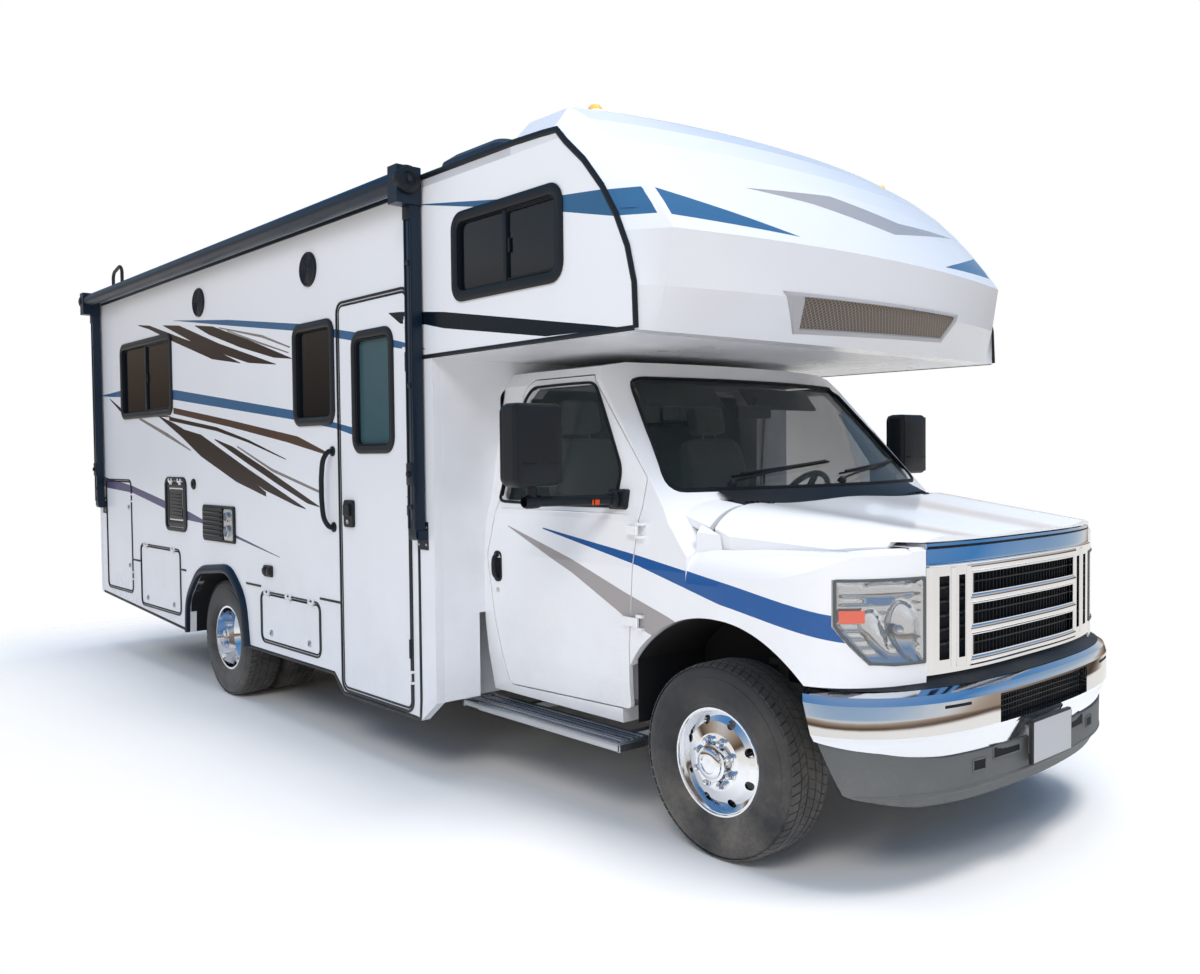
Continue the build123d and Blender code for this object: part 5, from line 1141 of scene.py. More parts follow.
def build_door_trim():
    place = on_side(-1)
    bm = bmesh.new()
    add_frame(bm, ENTRY_DOOR, place, 0.017, -0.004, 0.045, 0.007)
    finish_mesh("entry_door_surround", bm, ["black moulding"])
    bm = bmesh.new()
    add_frame(bm, ENTRY_DOOR, place, -0.0035, sizes().seal_width, 0.045, 0.0035)
    # lock housing with its paddle and key barrel
    lock_y, lock_z = -0.625, 1.243
    add_plate(bm, rounded_outline(lock_y - 0.048, lock_y + 0.048, lock_z - 0.070, lock_z + 0.070, 0.014), place, 0.0,
              0.016, 0, 0.004)
    add_plate(bm, rounded_outline(lock_y - 0.030, lock_y + 0.034, lock_z - 0.012, lock_z + 0.050, 0.008), place, 0.016,
              0.028, 0, 0.004)
    add_turned(bm, mm(14, 13, 21, 12, 21, 6, 18, 0), (-COACH_X, lock_y, lock_z - 0.042), (-1, 0, 0), 1, 20)
    # hinge knuckles down the front edge
    for z in (0.62, 1.30, 1.98):
        add_tube(bm, [place(ENTRY_DOOR[0], z + end, 0.008) for end in (-0.045, 0.045)], 0.007)
    finish_mesh("entry_door_fittings", bm, ["black moulding", "satin silver"], "coach_door")
    # tall grab handle beside the door: (back from the grip's foot, height z, height out)
    bm = bmesh.new()
    grip_y, grip_low, grip_high = -0.445, 1.165, 1.565
    bend = [(0.0, 0.0, 0.004), (0.0, 0.005, 0.030), (0.012, 0.050, 0.052), (0.020, 0.135, 0.058)]
    points = [place(grip_y + back, grip_low + up, out) for back, up, out in bend]
    points += [place(grip_y + 0.022, (grip_low + grip_high) / 2, 0.058)]
    points += [place(grip_y + back, grip_high - up, out) for back, up, out in reversed(bend)]
    add_tube(bm, smooth_line(points, 5), 0.0135, 0, 14)
    for z in (grip_low, grip_high):
        add_turned(bm, mm(0, 27, 7, 26, 11, 18), place(grip_y, z, 0), (-1, 0, 0), 0, 24)
    finish_mesh("entry_grab_handle", bm, ["black moulding"])
    for hatch, opening in HATCHES.items():
        low_y, high_y, low_z, high_z = opening
        sign = SIDES[hatch.split("_")[0]]
        place = on_side(sign)
        bm = bmesh.new()
        add_frame(bm, opening, place, 0.013, -0.003, 0.045, 0.005)
        finish_mesh(f"hatch_{hatch}_surround", bm, ["black moulding"])
        bm = bmesh.new()
        add_frame(bm, opening, place, -0.0035, 0.011, 0.040, 0.003)
        locks = [(low_y + 0.13, low_z + 0.055), (high_y - 0.13, low_z + 0.055)]
        if hatch.endswith("closet"):
            locks = [(low_y + 0.06, low_z + 0.20), (low_y + 0.06, high_z - 0.20)]
        for y, z in locks:
            add_turned(bm, mm(0, 19, 5, 18, 7, 12, 4, 10, 4, 0), place(y, z, 0.0), (sign, 0, 0), 1, 24)
            add_box(bm, place(y - 0.002, z - 0.008, 0.003), place(y + 0.002, z + 0.008, 0.006), 0.0005)
        finish_mesh(f"hatch_{hatch}_fittings", bm, ["black rubber seal", "satin silver"], f"locker_door_{hatch}")
    place = on_side(-1)
    bm = bmesh.new()
    add_frame(bm, SERVICE_LID, place, 0.030, -0.003, 0.030, 0.010)
    finish_mesh("service_lid_surround", bm, ["black moulding"])
    bm = bmesh.new()
    add_frame(bm, SERVICE_LID, place, -0.0035, 0.045, 0.018, 0.004)
    add_plate(bm, grown(SERVICE_LID, -0.055, 0.012), place, 0.0, 0.005, 1, 0.003)
    low_y, high_y, low_z, _ = SERVICE_LID
    add_slats(bm, place, low_y + 0.075, high_y - 0.075, [low_z + 0.077 + k * 0.024 for k in range(7)], 0.009,
              (0.004, 0.009))
    finish_mesh("service_lid_fittings", bm, ["black moulding", "cooler shroud"], "service_door")


class MOTORHOME_OT_windows(bpy.types.Operator):
    """Build the window beads, sliding bars and pleated shades"""

    bl_idname = "motorhome.windows"
    bl_label = "Windows"

    def execute(self, context):
        build_windows()
        return {"FINISHED"}


class MOTORHOME_OT_doors(bpy.types.Operator):
    """Build the surrounds, seals, locks and handles of the doors and hatches"""

    bl_idname = "motorhome.doors"
    bl_label = "Doors and hatches"

    def execute(self, context):
        build_door_trim()
        return {"FINISHED"}


# ---------------------------------------------------------------- front end
SLOT_ROWS = mm(800, 872, 912, 984, 1024, 1096)
SLOT_HALF_WIDTH = 0.400
SIDE_SLOTS = mm(445, 480, 530, 580)
GRILLE_X = 0.641
GRILLE_END_Y = -3.545
WING_FRONT_X = 0.703
WING_FRONT_Y = -3.5265
CORNER_TOP = 1.203
BUMPER_TOP = 0.716
LAMP_TOP = 1.097
LAMP_LOW = 0.803
LAMP_SIDE_EDGE = mm(1100, -3370, 940, -3370, 806, -3455, 790, -3600)
LAMP_COLUMNS, LAMP_ROWS = 56, 34
# bowls in the lamp's housing: middle and half size as shares of the face, and depth
LAMP_BOWLS = [(0.25, 0.40, 0.21, 0.36, 0.052), (0.62, 0.36, 0.15, 0.30, 0.038), (0.42, 0.84, 0.36, 0.13, 0.022)]


def build_grille():
    tree = surface_of("grille")
    bm = bmesh.new()
    # rounded bars over the grille's face, between and round the slots
    for z in (0.779, 0.892, 1.004, 1.118):
        skin = skin_line(tree, z, -SLOT_HALF_WIDTH - 0.02, SLOT_HALF_WIDTH + 0.02, 24)
        line = [p + Vector((0, 0.002, 0)) for p in skin]
        add_tube(bm, line, 0.0175, 0, 12, flat=0.5, up=(0, 0, 1))
    for sign in (-1, 1):
        for x, probe, back in ((0.420, 0.420, 0.002), (0.505, 0.505, 0.002), (0.610, 0.60, 0.010)):
            line = [Vector((sign * x, from_front(tree, sign * probe, z).y + back, z)) for z in even(0.772, 1.125, 12)]
            add_tube(bm, line, 0.017, 0, 12, flat=0.45, up=(1, 0, 0))
    finish_mesh("grille_bars", bm, ["chrome"], slot="chrome", sharp=50)
    # black liner behind the slots, with fine cross ribs; the near-black sheets behind the openings are partly painted
    # shade of the grille's dark inside
    bm = bmesh.new()

    def behind(x, z, depth):
        return Vector((x, from_front(tree, x, SLOT_ROWS[1][0] - 0.020).y + depth, z))

    for low_z, high_z in SLOT_ROWS:
        add_sheet(bm, [[behind(x, z, 0.040) for x in even(-SLOT_HALF_WIDTH - 0.01, SLOT_HALF_WIDTH + 0.01, 16)]
                       for z in (low_z - 0.006, high_z + 0.006)])
        for x in even(-SLOT_HALF_WIDTH, SLOT_HALF_WIDTH, 32):
            rib = behind(x, low_z, 0.026)
            add_box(bm, (x - 0.0015, rib.y, low_z), (x + 0.0015, rib.y + 0.014, high_z), 0, 1)
        add_tube(bm, [behind(x, (low_z + high_z) / 2, 0.028) for x in even(-SLOT_HALF_WIDTH, SLOT_HALF_WIDTH, 12)],
                 0.004, 1, 6)
    for near, far in SIDE_SLOTS:
        for sign in (-1, 1):
            y = from_front(tree, sign * 0.505, 0.95).y
            add_box(bm, (sign * (near - 0.003), y + 0.034, 0.795), (sign * (far + 0.003), y + 0.044, 1.101))
            for z in (0.85, 0.90, 0.95, 1.00, 1.05):
                add_box(bm, (sign * near, y + 0.018, z), (sign * far, y + 0.034, z + 0.008), 0.001, 1)
    finish_mesh("grille_liner", bm, ["dark recess", "black moulding"])
    # bright lip where the grille meets the bonnet, with a dark joint line over it
    bm = bmesh.new()
    add_tube(bm, [p + Vector((0, -0.0015, 0)) for p in skin_line(tree, 1.136, -0.632, 0.632, 32)], 0.006, 0, 8)
    add_tube(bm, [p + Vector((0, -0.001, 0.006)) for p in skin_line(tree, 1.196, -0.632, 0.632, 32)], 0.0018, 1, 8)
    finish_mesh("grille_lip", bm, ["chrome", "black rubber seal"], slot="chrome")
    # painted corner between the grille, the headlamp's top and the wing, under the bonnet's edge
    for side, sign in SIDES.items():
        bm = bmesh.new()
        rows = []
        for z in (LAMP_TOP + 0.004, 1.130, 1.160, 1.190, CORNER_TOP):
            roll = 0.012 * max((z - 1.190) / (CORNER_TOP - 1.190), 0.0) ** 2
            rows.append([Vector((sign * x, y + 0.001 + roll, z)) for x, y in
                         zip(even(GRILLE_X, WING_FRONT_X, 6), even(GRILLE_END_Y, WING_FRONT_Y, 6))])
        rows.append([p + Vector((0, 0.075, 0.002)) for p in rows[-1]])
        add_sheet(bm, rows)
        finish_mesh(f"front_corner_{side}", bm, ["cab paint"], slot="paint_white", sharp=40)


def lamp_grid(tree, sign):
    """Points over the headlamp's outer face: rows from the bottom up, columns from the grille round to the side."""
    grid = []
    for z in even(LAMP_LOW, LAMP_TOP, LAMP_ROWS):
        for (high_z, high_y), (low_z, low_y) in zip(LAMP_SIDE_EDGE, LAMP_SIDE_EDGE[1:]):
            if low_z <= z <= high_z:
                edge_y = low_y + (high_y - low_y) * (z - low_z) / (high_z - low_z)
        line = []
        pivot = Vector((sign * 0.45, -3.05, z))
        for turn in even(math.radians(-98), math.radians(7), 180):
            heading = Vector((sign * math.cos(turn), math.sin(turn), 0))
            hit = tree.ray_cast(pivot + heading * 1.2, -heading)[0]
            if hit is not None and abs(hit.x) >= 0.646 and hit.y <= edge_y - 0.004:
                line.append(hit)
        lengths = [0.0]
        for a, b in zip(line, line[1:]):
            lengths.append(lengths[-1] + (b - a).length)
        points = []
        k = 0
        for goal in even(0, lengths[-1], LAMP_COLUMNS):
            while k < len(line) - 2 and lengths[k + 1] < goal:
                k += 1
            span = lengths[k + 1] - lengths[k] or 1
            points.append(line[k].lerp(line[k + 1], min(max((goal - lengths[k]) / span, 0), 1)))
        grid.append(points)
    return grid


def grid_normals(grid, sign):
    """The outward normal at each point of the grid."""
    normals = []
    for below, row, above in zip(grid[:1] + grid, grid, grid[1:] + grid[-1:]):
        line = []
        for c, (near, far) in enumerate(zip(row[:1] + row, row[1:] + row[-1:])):
            normal = (far - near).cross(above[c] - below[c]).normalized()
            inward = normal.y > 0 or (abs(normal.y) < 0.2 and normal.x * sign < 0)
            line.append(-normal if inward else normal)
        normals.append(line)
    return normals


def housing_depth(u, v):
    """How deep the lamp's housing lies at this share across and up: bowls, and stepped ledges between them."""
    border = min(u, 1 - u, v * 0.8, (1 - v) * 0.8)
    depth = 0.004 + min(border * 0.25, 0.016)
    in_bowl = False
    for middle_u, middle_v, half_u, half_v, deep in LAMP_BOWLS:
        away = math.hypot((u - middle_u) / half_u, (v - middle_v) / half_v)
        if away < 1:
            in_bowl = True
            depth = max(depth, 0.014 + deep * math.sqrt(1 - away * away))
    return depth if in_bowl else depth + 0.0035 * math.sin(v * 62) * min(border * 8, 1)


def build_headlamps():
    tree = surface_of("lamps")
    standing = []
    for side, sign in SIDES.items():
        grid = lamp_grid(tree, sign)
        normals = grid_normals(grid, sign)

        def sunk(r, c, depth):
            return grid[r][c] - normals[r][c] * depth

        bm = bmesh.new()
        add_sheet(bm, [[sunk(r, c, housing_depth(c / LAMP_COLUMNS, r / LAMP_ROWS)) for c in range(LAMP_COLUMNS + 1)]
                       for r in range(LAMP_ROWS + 1)])
        # bulb shield in the main bowl, and the amber reflector block at the side
        r, c = int(LAMP_BOWLS[0][1] * LAMP_ROWS), int(LAMP_BOWLS[0][0] * LAMP_COLUMNS)
        add_turned(bm, mm(-6, 15.3, 10, 17, 18, 13.6, 24, 6.8, 26, 0), sunk(r, c, 0.050), normals[r][c], 1, 20)
        add_sheet(bm, [[sunk(r, c, 0.0035) for c in range(int(LAMP_COLUMNS * 0.70), int(LAMP_COLUMNS * 0.985))]
                       for r in range(int(LAMP_ROWS * 0.50), int(LAMP_ROWS * 0.70))], 2)
        standing.append(finish_mesh(f"headlamp_{side}_housing", bm, ["lamp reflector", "satin silver", "amber lens"],
                                    slot="chrome", sharp=60))
        bm = bmesh.new()
        add_sheet(bm, grid)
        standing.append(finish_mesh(f"headlamp_{side}_lens", bm, ["lamp lens"], slot="lamp_clear", sharp=60))
        bm = bmesh.new()
        outline = grid[0] + [row[-1] for row in grid[1:]] + grid[-1][-2::-1] + [row[0] for row in grid[-2:0:-1]]
        add_tube(bm, outline, 0.0055, 0, 8, closed=True, up=(0, 1, 0))
        finish_mesh(f"headlamp_{side}_gasket", bm, ["grey moulding"], sharp=60)
    return standing


def build_tail_lamps():
    bm = bmesh.new()
    place = on_end(COACH_REAR_Y)
    for sign in (-1, 1):
        low_x, high_x = sorted((sign * 1.060, sign * 1.220))
        inner = (low_x + 0.010, high_x - 0.010)
        add_plate(bm, rounded_outline(low_x, high_x, 0.640, 0.860, 0.018), place, 0.0, 0.014, 1, 0.004)
        add_plate(bm, rounded_outline(*inner, 0.722, 0.850, 0.012), place, 0.012, 0.029, 0, 0.006)
        add_plate(bm, rounded_outline(*inner, 0.650, 0.712, 0.010), place, 0.012, 0.026, 2, 0.005)
        add_slats(bm, place, low_x + 0.022, high_x - 0.022, [0.734 + k * 0.0125 for k in range(9)], 0.005,
                  (0.0285, 0.0298), 0)
    return finish_mesh("tail_lamps", bm, ["red lens", "black moulding", "lamp lens"], slot="lamp_clear")


def build_lamps():
    standing = build_headlamps()
    standing.append(build_tail_lamps())
    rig.replaces(standing[0], "lamps")


def build_bumper_details():
    bumper, dam = surface_of("front_bumper"), surface_of("air_dam")
    bm = bmesh.new()
    # mesh and a cross bar inside the centre slot, with a near-black plate behind them: painted shade inside the slot
    for x in even(-0.34, 0.34, 34):
        add_box(bm, (x - 0.0015, -3.640, 0.565), (x + 0.0015, -3.632, 0.665))
    for z in (0.585, 0.605, 0.625, 0.645):
        add_box(bm, (-0.345, -3.642, z), (0.345, -3.634, z + 0.003))
    add_box(bm, (-0.345, -3.629, 0.560), (0.345, -3.625, 0.670), 0, 1)
    finish_mesh("bumper_slot_mesh", bm, ["black moulding", "dark recess"])
    # strip in the black moulding finish from the bumper's top edge back to just under the grille and headlamps
    front = surface_of("grille", "lamps", "front_wings")
    bm = bmesh.new()
    columns = []
    for x in even(-0.940, 0.940, 60):
        near = from_front(bumper, x, BUMPER_TOP - 0.006).y + 0.010
        far = max(from_front(front, x, 0.770 if abs(x) < GRILLE_X else 0.805).y + 0.012, near + 0.012)
        columns.append([Vector((x, near + (far - near) * share, BUMPER_TOP + rise))
                        for share, rise in ((0.0, 0.0012), (0.45, 0.006), (0.85, 0.016), (1.0, 0.028))])
    add_sheet(bm, zip(*columns))
    finish_mesh("bumper_step", bm, ["black moulding"], sharp=60)
    # short slits beside the slot: near-black tubes laid on the skin, painted shade of the openings
    bm = bmesh.new()
    for sign in (-1, 1):
        line = skin_line(bumper, 0.655, sign * 0.52, sign * 0.64, 6, 0.0005)
        add_tube(bm, line, 0.0055, 0, 8, flat=0.5, up=(0, 0, 1))
    finish_mesh("bumper_slits", bm, ["dark recess"])
    # fog and tow slots in the dam as near-black sheets on its skin, painted shade of the openings, and its lower lip
    bm = bmesh.new()
    for sign in (-1, 1):
        for near, far, low, high in ((0.185, 0.360, 0.425, 0.468), (0.405, 0.475, 0.400, 0.440)):
            rows = [skin_line(dam, z, sign * near, sign * far, 6, 0.0012) for z in (low, (low + high) / 2, high)]
            add_sheet(bm, rows)
            rim = rows[0] + [rows[1][-1]] + rows[2][::-1] + [rows[1][0]]
            add_tube(bm, rim, 0.0035, 1, 6, closed=True, up=(0, 1, 0))
    add_tube(bm, skin_line(dam, 0.352, -0.90, 0.90, 40), 0.0035, 1, 6)
    finish_mesh("dam_slots", bm, ["dark recess", "grey moulding"], slot="grey_plastic")
    bm = bmesh.new()
    add_ring(bm, rounded_outline(-0.160, 0.160, 0.368, 0.536, 0.010),
             rounded_outline(-0.143, 0.143, 0.385, 0.519, 0.008), on_end(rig.box("number_plates")[0].y + 0.006, -1),
             [(0, -0.010), (0, 0.002), (0.3, 0.006), (1, 0.0055), (1, -0.004)])
    finish_mesh("front_plate_frame", bm, ["black moulding"])


class MOTORHOME_OT_grille(bpy.types.Operator):
    """Build the grille's rounded bars, its liner and the bright lip"""

    bl_idname = "motorhome.grille"
    bl_label = "Grille"

    def execute(self, context):
        build_grille()
        return {"FINISHED"}


class MOTORHOME_OT_lamps(bpy.types.Operator):
    """Build the headlamps and tail lamps with lens and housing"""

    bl_idname = "motorhome.lamps"
    bl_label = "Lamps"

    def execute(self, context):
        build_lamps()
        return {"FINISHED"}


class MOTORHOME_OT_bumper(bpy.types.Operator):
    """Build the slots, mesh and plate frame of the front bumper and dam"""

    bl_idname = "motorhome.bumper"
    bl_label = "Bumper details"

    def execute(self, context):
        build_bumper_details()
        return {"FINISHED"}


# ---------------------------------------------------------------- cab glass seals, wipers, mirrors, arches
SCREEN_OUTLINE = mm(-893, 1387, 893, 1387, 735, 1868, -735, 1868)
COWL_FRONT_Y = -2.772
COWL_LOW, COWL_TOP = 1.317, 1.383
CAB_WINDOW = mm(-1495, 1325, -1600, 1790, -1650, 1842, -2070, 1842, -2305, 1475, -2290, 1325)
SCREEN_UP = (0, -0.6, 0.8)  # square to the windscreen
ARCH_RADIUS = 0.541
LINER_INNER_X, LINER_OUTER_X = 0.572, 0.972
BUMPER_ROOM = 0.060  # how far the liner stays inside the bumper and the dam
REAR_ARCH = mm(1657, 353, 1643, 573, 1434, 773, 950, 817, 758, 660, 710, 380)
# flare round the rear arch: (out from the opening's edge, height off the wall)
FLARE = mm(-4, 0, -2, 24, 12, 30, 40, 20, 52, 6, 53, 0)


def build_cab_seals():
    tree = surface_of("cab_shell", "fixed_glass")
    bm = bmesh.new()
    line = [from_front(tree, p.x * 1.004, p.y + (0.003 if p.y > 1.6 else -0.003)) + Vector((0, -0.001, 0))
            for p in spread_points(rounded_corners(SCREEN_OUTLINE, 0.07), 0.04)]
    add_tube(bm, line, 0.013, 0, 8, closed=True, flat=0.5, up=(0, 1, 0.6))
    finish_mesh("windscreen_seal", bm, ["black rubber seal"], slot="rubber_tyre", sharp=60)
    middle = Vector((-1.90, 1.60))
    for side, sign in SIDES.items():
        door = surface_of(f"cab_door_{side}")
        bm = bmesh.new()
        outline = spread_points(rounded_corners(CAB_WINDOW, 0.045), 0.03)
        hits = [side_hit(door, sign, *(p + (p - middle).normalized() * 0.010)) for p in outline]
        add_tube(bm, [hit + Vector((sign * 0.001, 0, 0)) for hit in hits if hit], 0.012, 0, 8, closed=True, flat=0.55,
                 up=(sign, 0, 0.2))
        # vertical pull handle in its dish, and the lock barrel under it
        handle_x = side_hit(door, sign, -1.525, 1.017).x
        face = lambda u, v, height: Vector((handle_x + sign * height, u, v))
        add_ring(bm, rounded_outline(-1.556, -1.494, 0.945, 1.089, 0.026),
                 rounded_outline(-1.548, -1.502, 0.957, 1.077, 0.020), face,
                 [(0, -0.004), (0, 0.003), (0.5, 0.005), (1, 0.003), (1, -0.002)], 1)
        add_plate(bm, rounded_outline(-1.549, -1.501, 0.956, 1.078, 0.020), face, -0.004, 0.0005)
        grip = [face(-1.522, z, out) for z, out in mm(964, 1, 972, 16, 995, 23, 1040, 23, 1062, 16, 1070, 1)]
        add_tube(bm, smooth_line(grip, 4), 0.009, 1, 10, flat=1.5, up=(sign, 0, 0))
        add_turned(bm, mm(0, 12, 3, 11, 3, 6, 1, 0), *cast(door, (sign * 1.3, -1.520, 0.905), (-sign, 0, 0)), 2, 20)
        finish_mesh(f"cab_door_{side}_fittings", bm, ["black rubber seal", "black moulding", "satin silver"],
                    DOOR_BODIES[side], sharp=50)
        # belt line pressed under the glass
        bm = bmesh.new()
        hits = [side_hit(door, sign, y, 1.288) for y in even(-2.40, -1.52, 14)]
        add_tube(bm, [hit + Vector((sign * 0.0005, 0, 0)) for hit in hits if hit], 0.0045, 0, 6, flat=0.7,
                 up=(sign, 0, 0.3))
        finish_mesh(f"cab_door_{side}_belt", bm, ["cab paint"], DOOR_BODIES[side], "paint_white", 60)


def build_wipers():
    tree = surface_of("fixed_glass", "cab_shell")
    bm = bmesh.new()
    for pivot_x, tip_x, pivot_z, tip_z in ((-0.60, 0.05, 1.398, 1.452), (0.06, 0.72, 1.398, 1.446)):
        pivot = from_front(tree, pivot_x, pivot_z, 0.004)
        add_turned(bm, mm(0, 20, 14, 18, 24, 14, 26, 0), pivot, SCREEN_UP, 0, 20)
        mount = from_front(tree, pivot_x + (tip_x - pivot_x) * 0.55, pivot_z + (tip_z - pivot_z) * 0.55 + 0.020, 0.030)
        arm = [pivot + Vector((0, -0.012, 0.016)), pivot.lerp(mount, 0.3) + Vector((0, -0.018, 0.018)),
               pivot.lerp(mount, 0.7) + Vector((0, -0.012, 0.010)), mount]
        add_tube(bm, smooth_line(arm, 5), 0.0075, 0, 8, flat=0.55, up=SCREEN_UP)
        blade = [from_front(tree, x, z, 0.008) for x, z in
                 zip(even(pivot_x + 0.03, tip_x + 0.03, 16), even(pivot_z + 0.034, tip_z + 0.034, 16))]
        add_tube(bm, blade, 0.006, 1, 8, flat=0.6, up=SCREEN_UP)
        add_tube(bm, [p + Vector((0, -0.009, 0.009)) for p in blade[1:-1]], 0.0055, 0, 6)
    finish_mesh("wipers", bm, ["black moulding", "black rubber seal"])
    # black cover between the bonnet and the foot of the windscreen
    cover = surface_of("cab_shell", "cowl", "fixed_glass")
    bm = bmesh.new()
    columns = []
    for x in even(-COWL_PAINT_X, COWL_PAINT_X, 46):
        foot = from_front(tree, x, COWL_TOP).y - 0.012
        column = []
        for share in (0.0, 0.35, 0.7, 1.0):
            y = COWL_FRONT_Y + (foot - COWL_FRONT_Y) * share
            below = cast(cover, (x, y, 1.9), (0, 0, -1), (x, y, 0))[0].z
            column.append((x, y, max(COWL_LOW + (COWL_TOP - COWL_LOW) * share, below + 0.003)))
        columns.append(column)
    add_sheet(bm, zip(*columns))
    finish_mesh("cowl_cover", bm, ["black moulding"], sharp=50)
    # fresh-air slots in the cowl panels: near-black strips on the skin, painted shade of the openings
    cowl = surface_of("cowl")
    bm = bmesh.new()
    for sign in (-1, 1):
        for k in range(12):
            x = sign * (0.30 + k * 0.032)
            hits = [cowl.ray_cast(Vector((x, y, 2.0)), Vector((0, 0, -1)))[0] for y in (-2.755, -2.735)]
            if all(hits):
                add_tube(bm, [hit + Vector((0, 0, 0.001)) for hit in hits], 0.005, 0, 6, flat=0.5, up=(0, 0, 1))
    finish_mesh("cowl_slots", bm, ["dark recess"])


def build_mirrors():
    for side, sign in SIDES.items():
        low_x, high_x = sorted((sign * 1.460, sign * 1.220))
        place, ahead = on_end(-2.169), on_end(-2.279, -1)
        bm = bmesh.new()
        add_ring(bm, rounded_outline(low_x + 0.004, high_x - 0.004, 1.414, 1.736, 0.036),
                 rounded_outline(low_x + 0.016, high_x - 0.016, 1.426, 1.724, 0.028), place,
                 [(0, -0.012), (0, 0.001), (0.4, 0.004), (1, 0.002), (1, -0.004)])
        pane = (low_x + 0.017, high_x - 0.017)
        add_plate(bm, rounded_outline(*pane, 1.512, 1.723, 0.022), place, -0.004, 0.0005, 1)
        add_plate(bm, rounded_outline(*pane, 1.427, 1.503, 0.018), place, -0.004, 0.0015, 1, 0.004)
        # crowned front of the shell with its seam
        steps = even(-1, 1, 12)
        add_sheet(bm, [[ahead(low_x + 0.012 + (high_x - low_x - 0.024) * (u + 1) / 2, 1.575 + 0.151 * v,
                              0.013 * (1 - abs(u) ** 3) * (1 - abs(v) ** 4)) for u in steps] for v in steps])
        add_box(bm, ahead(low_x + 0.030, 1.500, 0.0), ahead(high_x - 0.030, 1.505, 0.012), 0.001, 2)
        # arm gaiter, foot and amber marker under the head
        add_turned(bm, mm(-40, 22, -28, 27, 0, 28, 28, 27, 40, 22), (sign * 1.340, -2.219, 1.350), (sign, 0, 0), 0, 20)
        add_turned(bm, mm(0, 36, 12, 34, 20, 24), (sign * 0.985, -2.320, 1.350), (sign, 0.28, 0), 0, 20)
        add_box(bm, (sign * 1.090 - 0.016, -2.330, 1.328), (sign * 1.090 + 0.016, -2.312, 1.356), 0.004, 3)
        finish_mesh(f"mirror_{side}_details", bm, ["black moulding", "chrome", "black rubber seal", "amber lens"],
                    DOOR_BODIES[side], sharp=40)


def build_arches():
    ahead = surface_of("front_bumper", "air_dam")
    for side, sign in SIDES.items():
        # near-black liners in the front and rear arches: black plastic, with the shade of the wheel wells painted into
        # their tone
        bm = bmesh.new()
        edge = [(FRONT_AXLE_Y - ARCH_RADIUS * math.cos(turn), AXLE_Z + ARCH_RADIUS * math.sin(turn))
                for turn in even(math.radians(12), math.radians(142.5), 24)]
        wall = [[(sign * LINER_INNER_X, y, z) for y, z in edge], [(sign * LINER_INNER_X, y, 0.62) for y, _ in edge]]
        edge += [(-2.436, 0.60), (-2.436, 0.44)]
        hits = [side_hit(ahead, sign, y, z) for y, z in edge]
        room = [min(abs(hit.x) - BUMPER_ROOM, LINER_OUTER_X) if hit else LINER_OUTER_X for hit in hits]
        add_sheet(bm, [[(sign * min(x, most), y, z) for (y, z), most in zip(edge, room)]
                       for x in (0.57, 0.70, 0.85, LINER_OUTER_X)])
        add_sheet(bm, wall)
        finish_mesh(f"front_arch_{side}_liner", bm, ["dark recess"], sharp=40)
        bm = bmesh.new()
        line = spread_points(rounded_corners(REAR_ARCH, 0.09, 4, closed=False), 0.05, closed=False)
        add_sheet(bm, [[(sign * x, p.x, p.y) for p in line] for x in (0.71, 0.95, 1.15, 1.276)])
        add_sheet(bm, [[(sign * 0.712, p.x, p.y) for p in line],
                       [(sign * 0.712, p.x, 0.50 if p.y > 0.5 else p.y) for p in line]])
        finish_mesh(f"rear_arch_{side}_liner", bm, ["dark recess"], sharp=40)
        bm = bmesh.new()
        outward = []
        for before, p, after in zip(line[:1] + line, line, line[1:] + line[-1:]):
            along = after - before
            out = Vector((along.y, -along.x)).normalized()
            outward.append(-out if out.dot(p - Vector((1.17, 0.45))) < 0 else out)
        add_sheet(bm, [[(sign * (COACH_X + height), *(p + out * grow)) for p, out in zip(line, outward)]
                       for grow, height in FLARE])
        finish_mesh(f"rear_arch_{side}_flare", bm, ["awning paint"], sharp=50)


class MOTORHOME_OT_cab_seals(bpy.types.Operator):
    """Build the glass seals and the cab doors' handles"""

    bl_idname = "motorhome.cab_seals"
    bl_label = "Cab seals and handles"

    def execute(self, context):
        build_cab_seals()
        return {"FINISHED"}


class MOTORHOME_OT_wipers(bpy.types.Operator):
    """Build the wipers and the cowl's air slots"""

    bl_idname = "motorhome.wipers"
    bl_label = "Wipers"

    def execute(self, context):
        build_wipers()
        return {"FINISHED"}


class MOTORHOME_OT_mirrors(bpy.types.Operator):
    """Build the mirror glass, bezels and markers"""

    bl_idname = "motorhome.mirrors"
    bl_label = "Mirrors"

    def execute(self, context):
        build_mirrors()
        return {"FINISHED"}


class MOTORHOME_OT_arches(bpy.types.Operator):
    """Build the wheel arch liners and flares"""

    bl_idname = "motorhome.arches"
    bl_label = "Wheel arches"

    def execute(self, context):
        build_arches()
        return {"FINISHED"}


# ---------------------------------------------------------------- coach sides
AWNING_X = -COACH_X - 0.089
AWNING_Z = 2.790
ARM_Y = (-1.325, 3.450)
LAMP_X = (-1.02, -0.30, 0.0, 0.30, 1.02)  # marker lamps, front and rear
NOSE_COVER = mm(-2674, 2436, -2724, 2436, -2724, 2514, -2630, 2514)
NOSE_PANEL = mm(-520, 2150, 617, 2161, 595, 2070, -451, 2041)
NOSE_PANEL_RIM = mm(-640, 2166, 665, 2176, 632, 2050, -470, 2018)
ROOF_SEAM = mm(3520, 2812, 2000, 2812, 500, 2812, -1200, 2812, -2050, 2812, -2240, 2806) + NOSE_SEAM
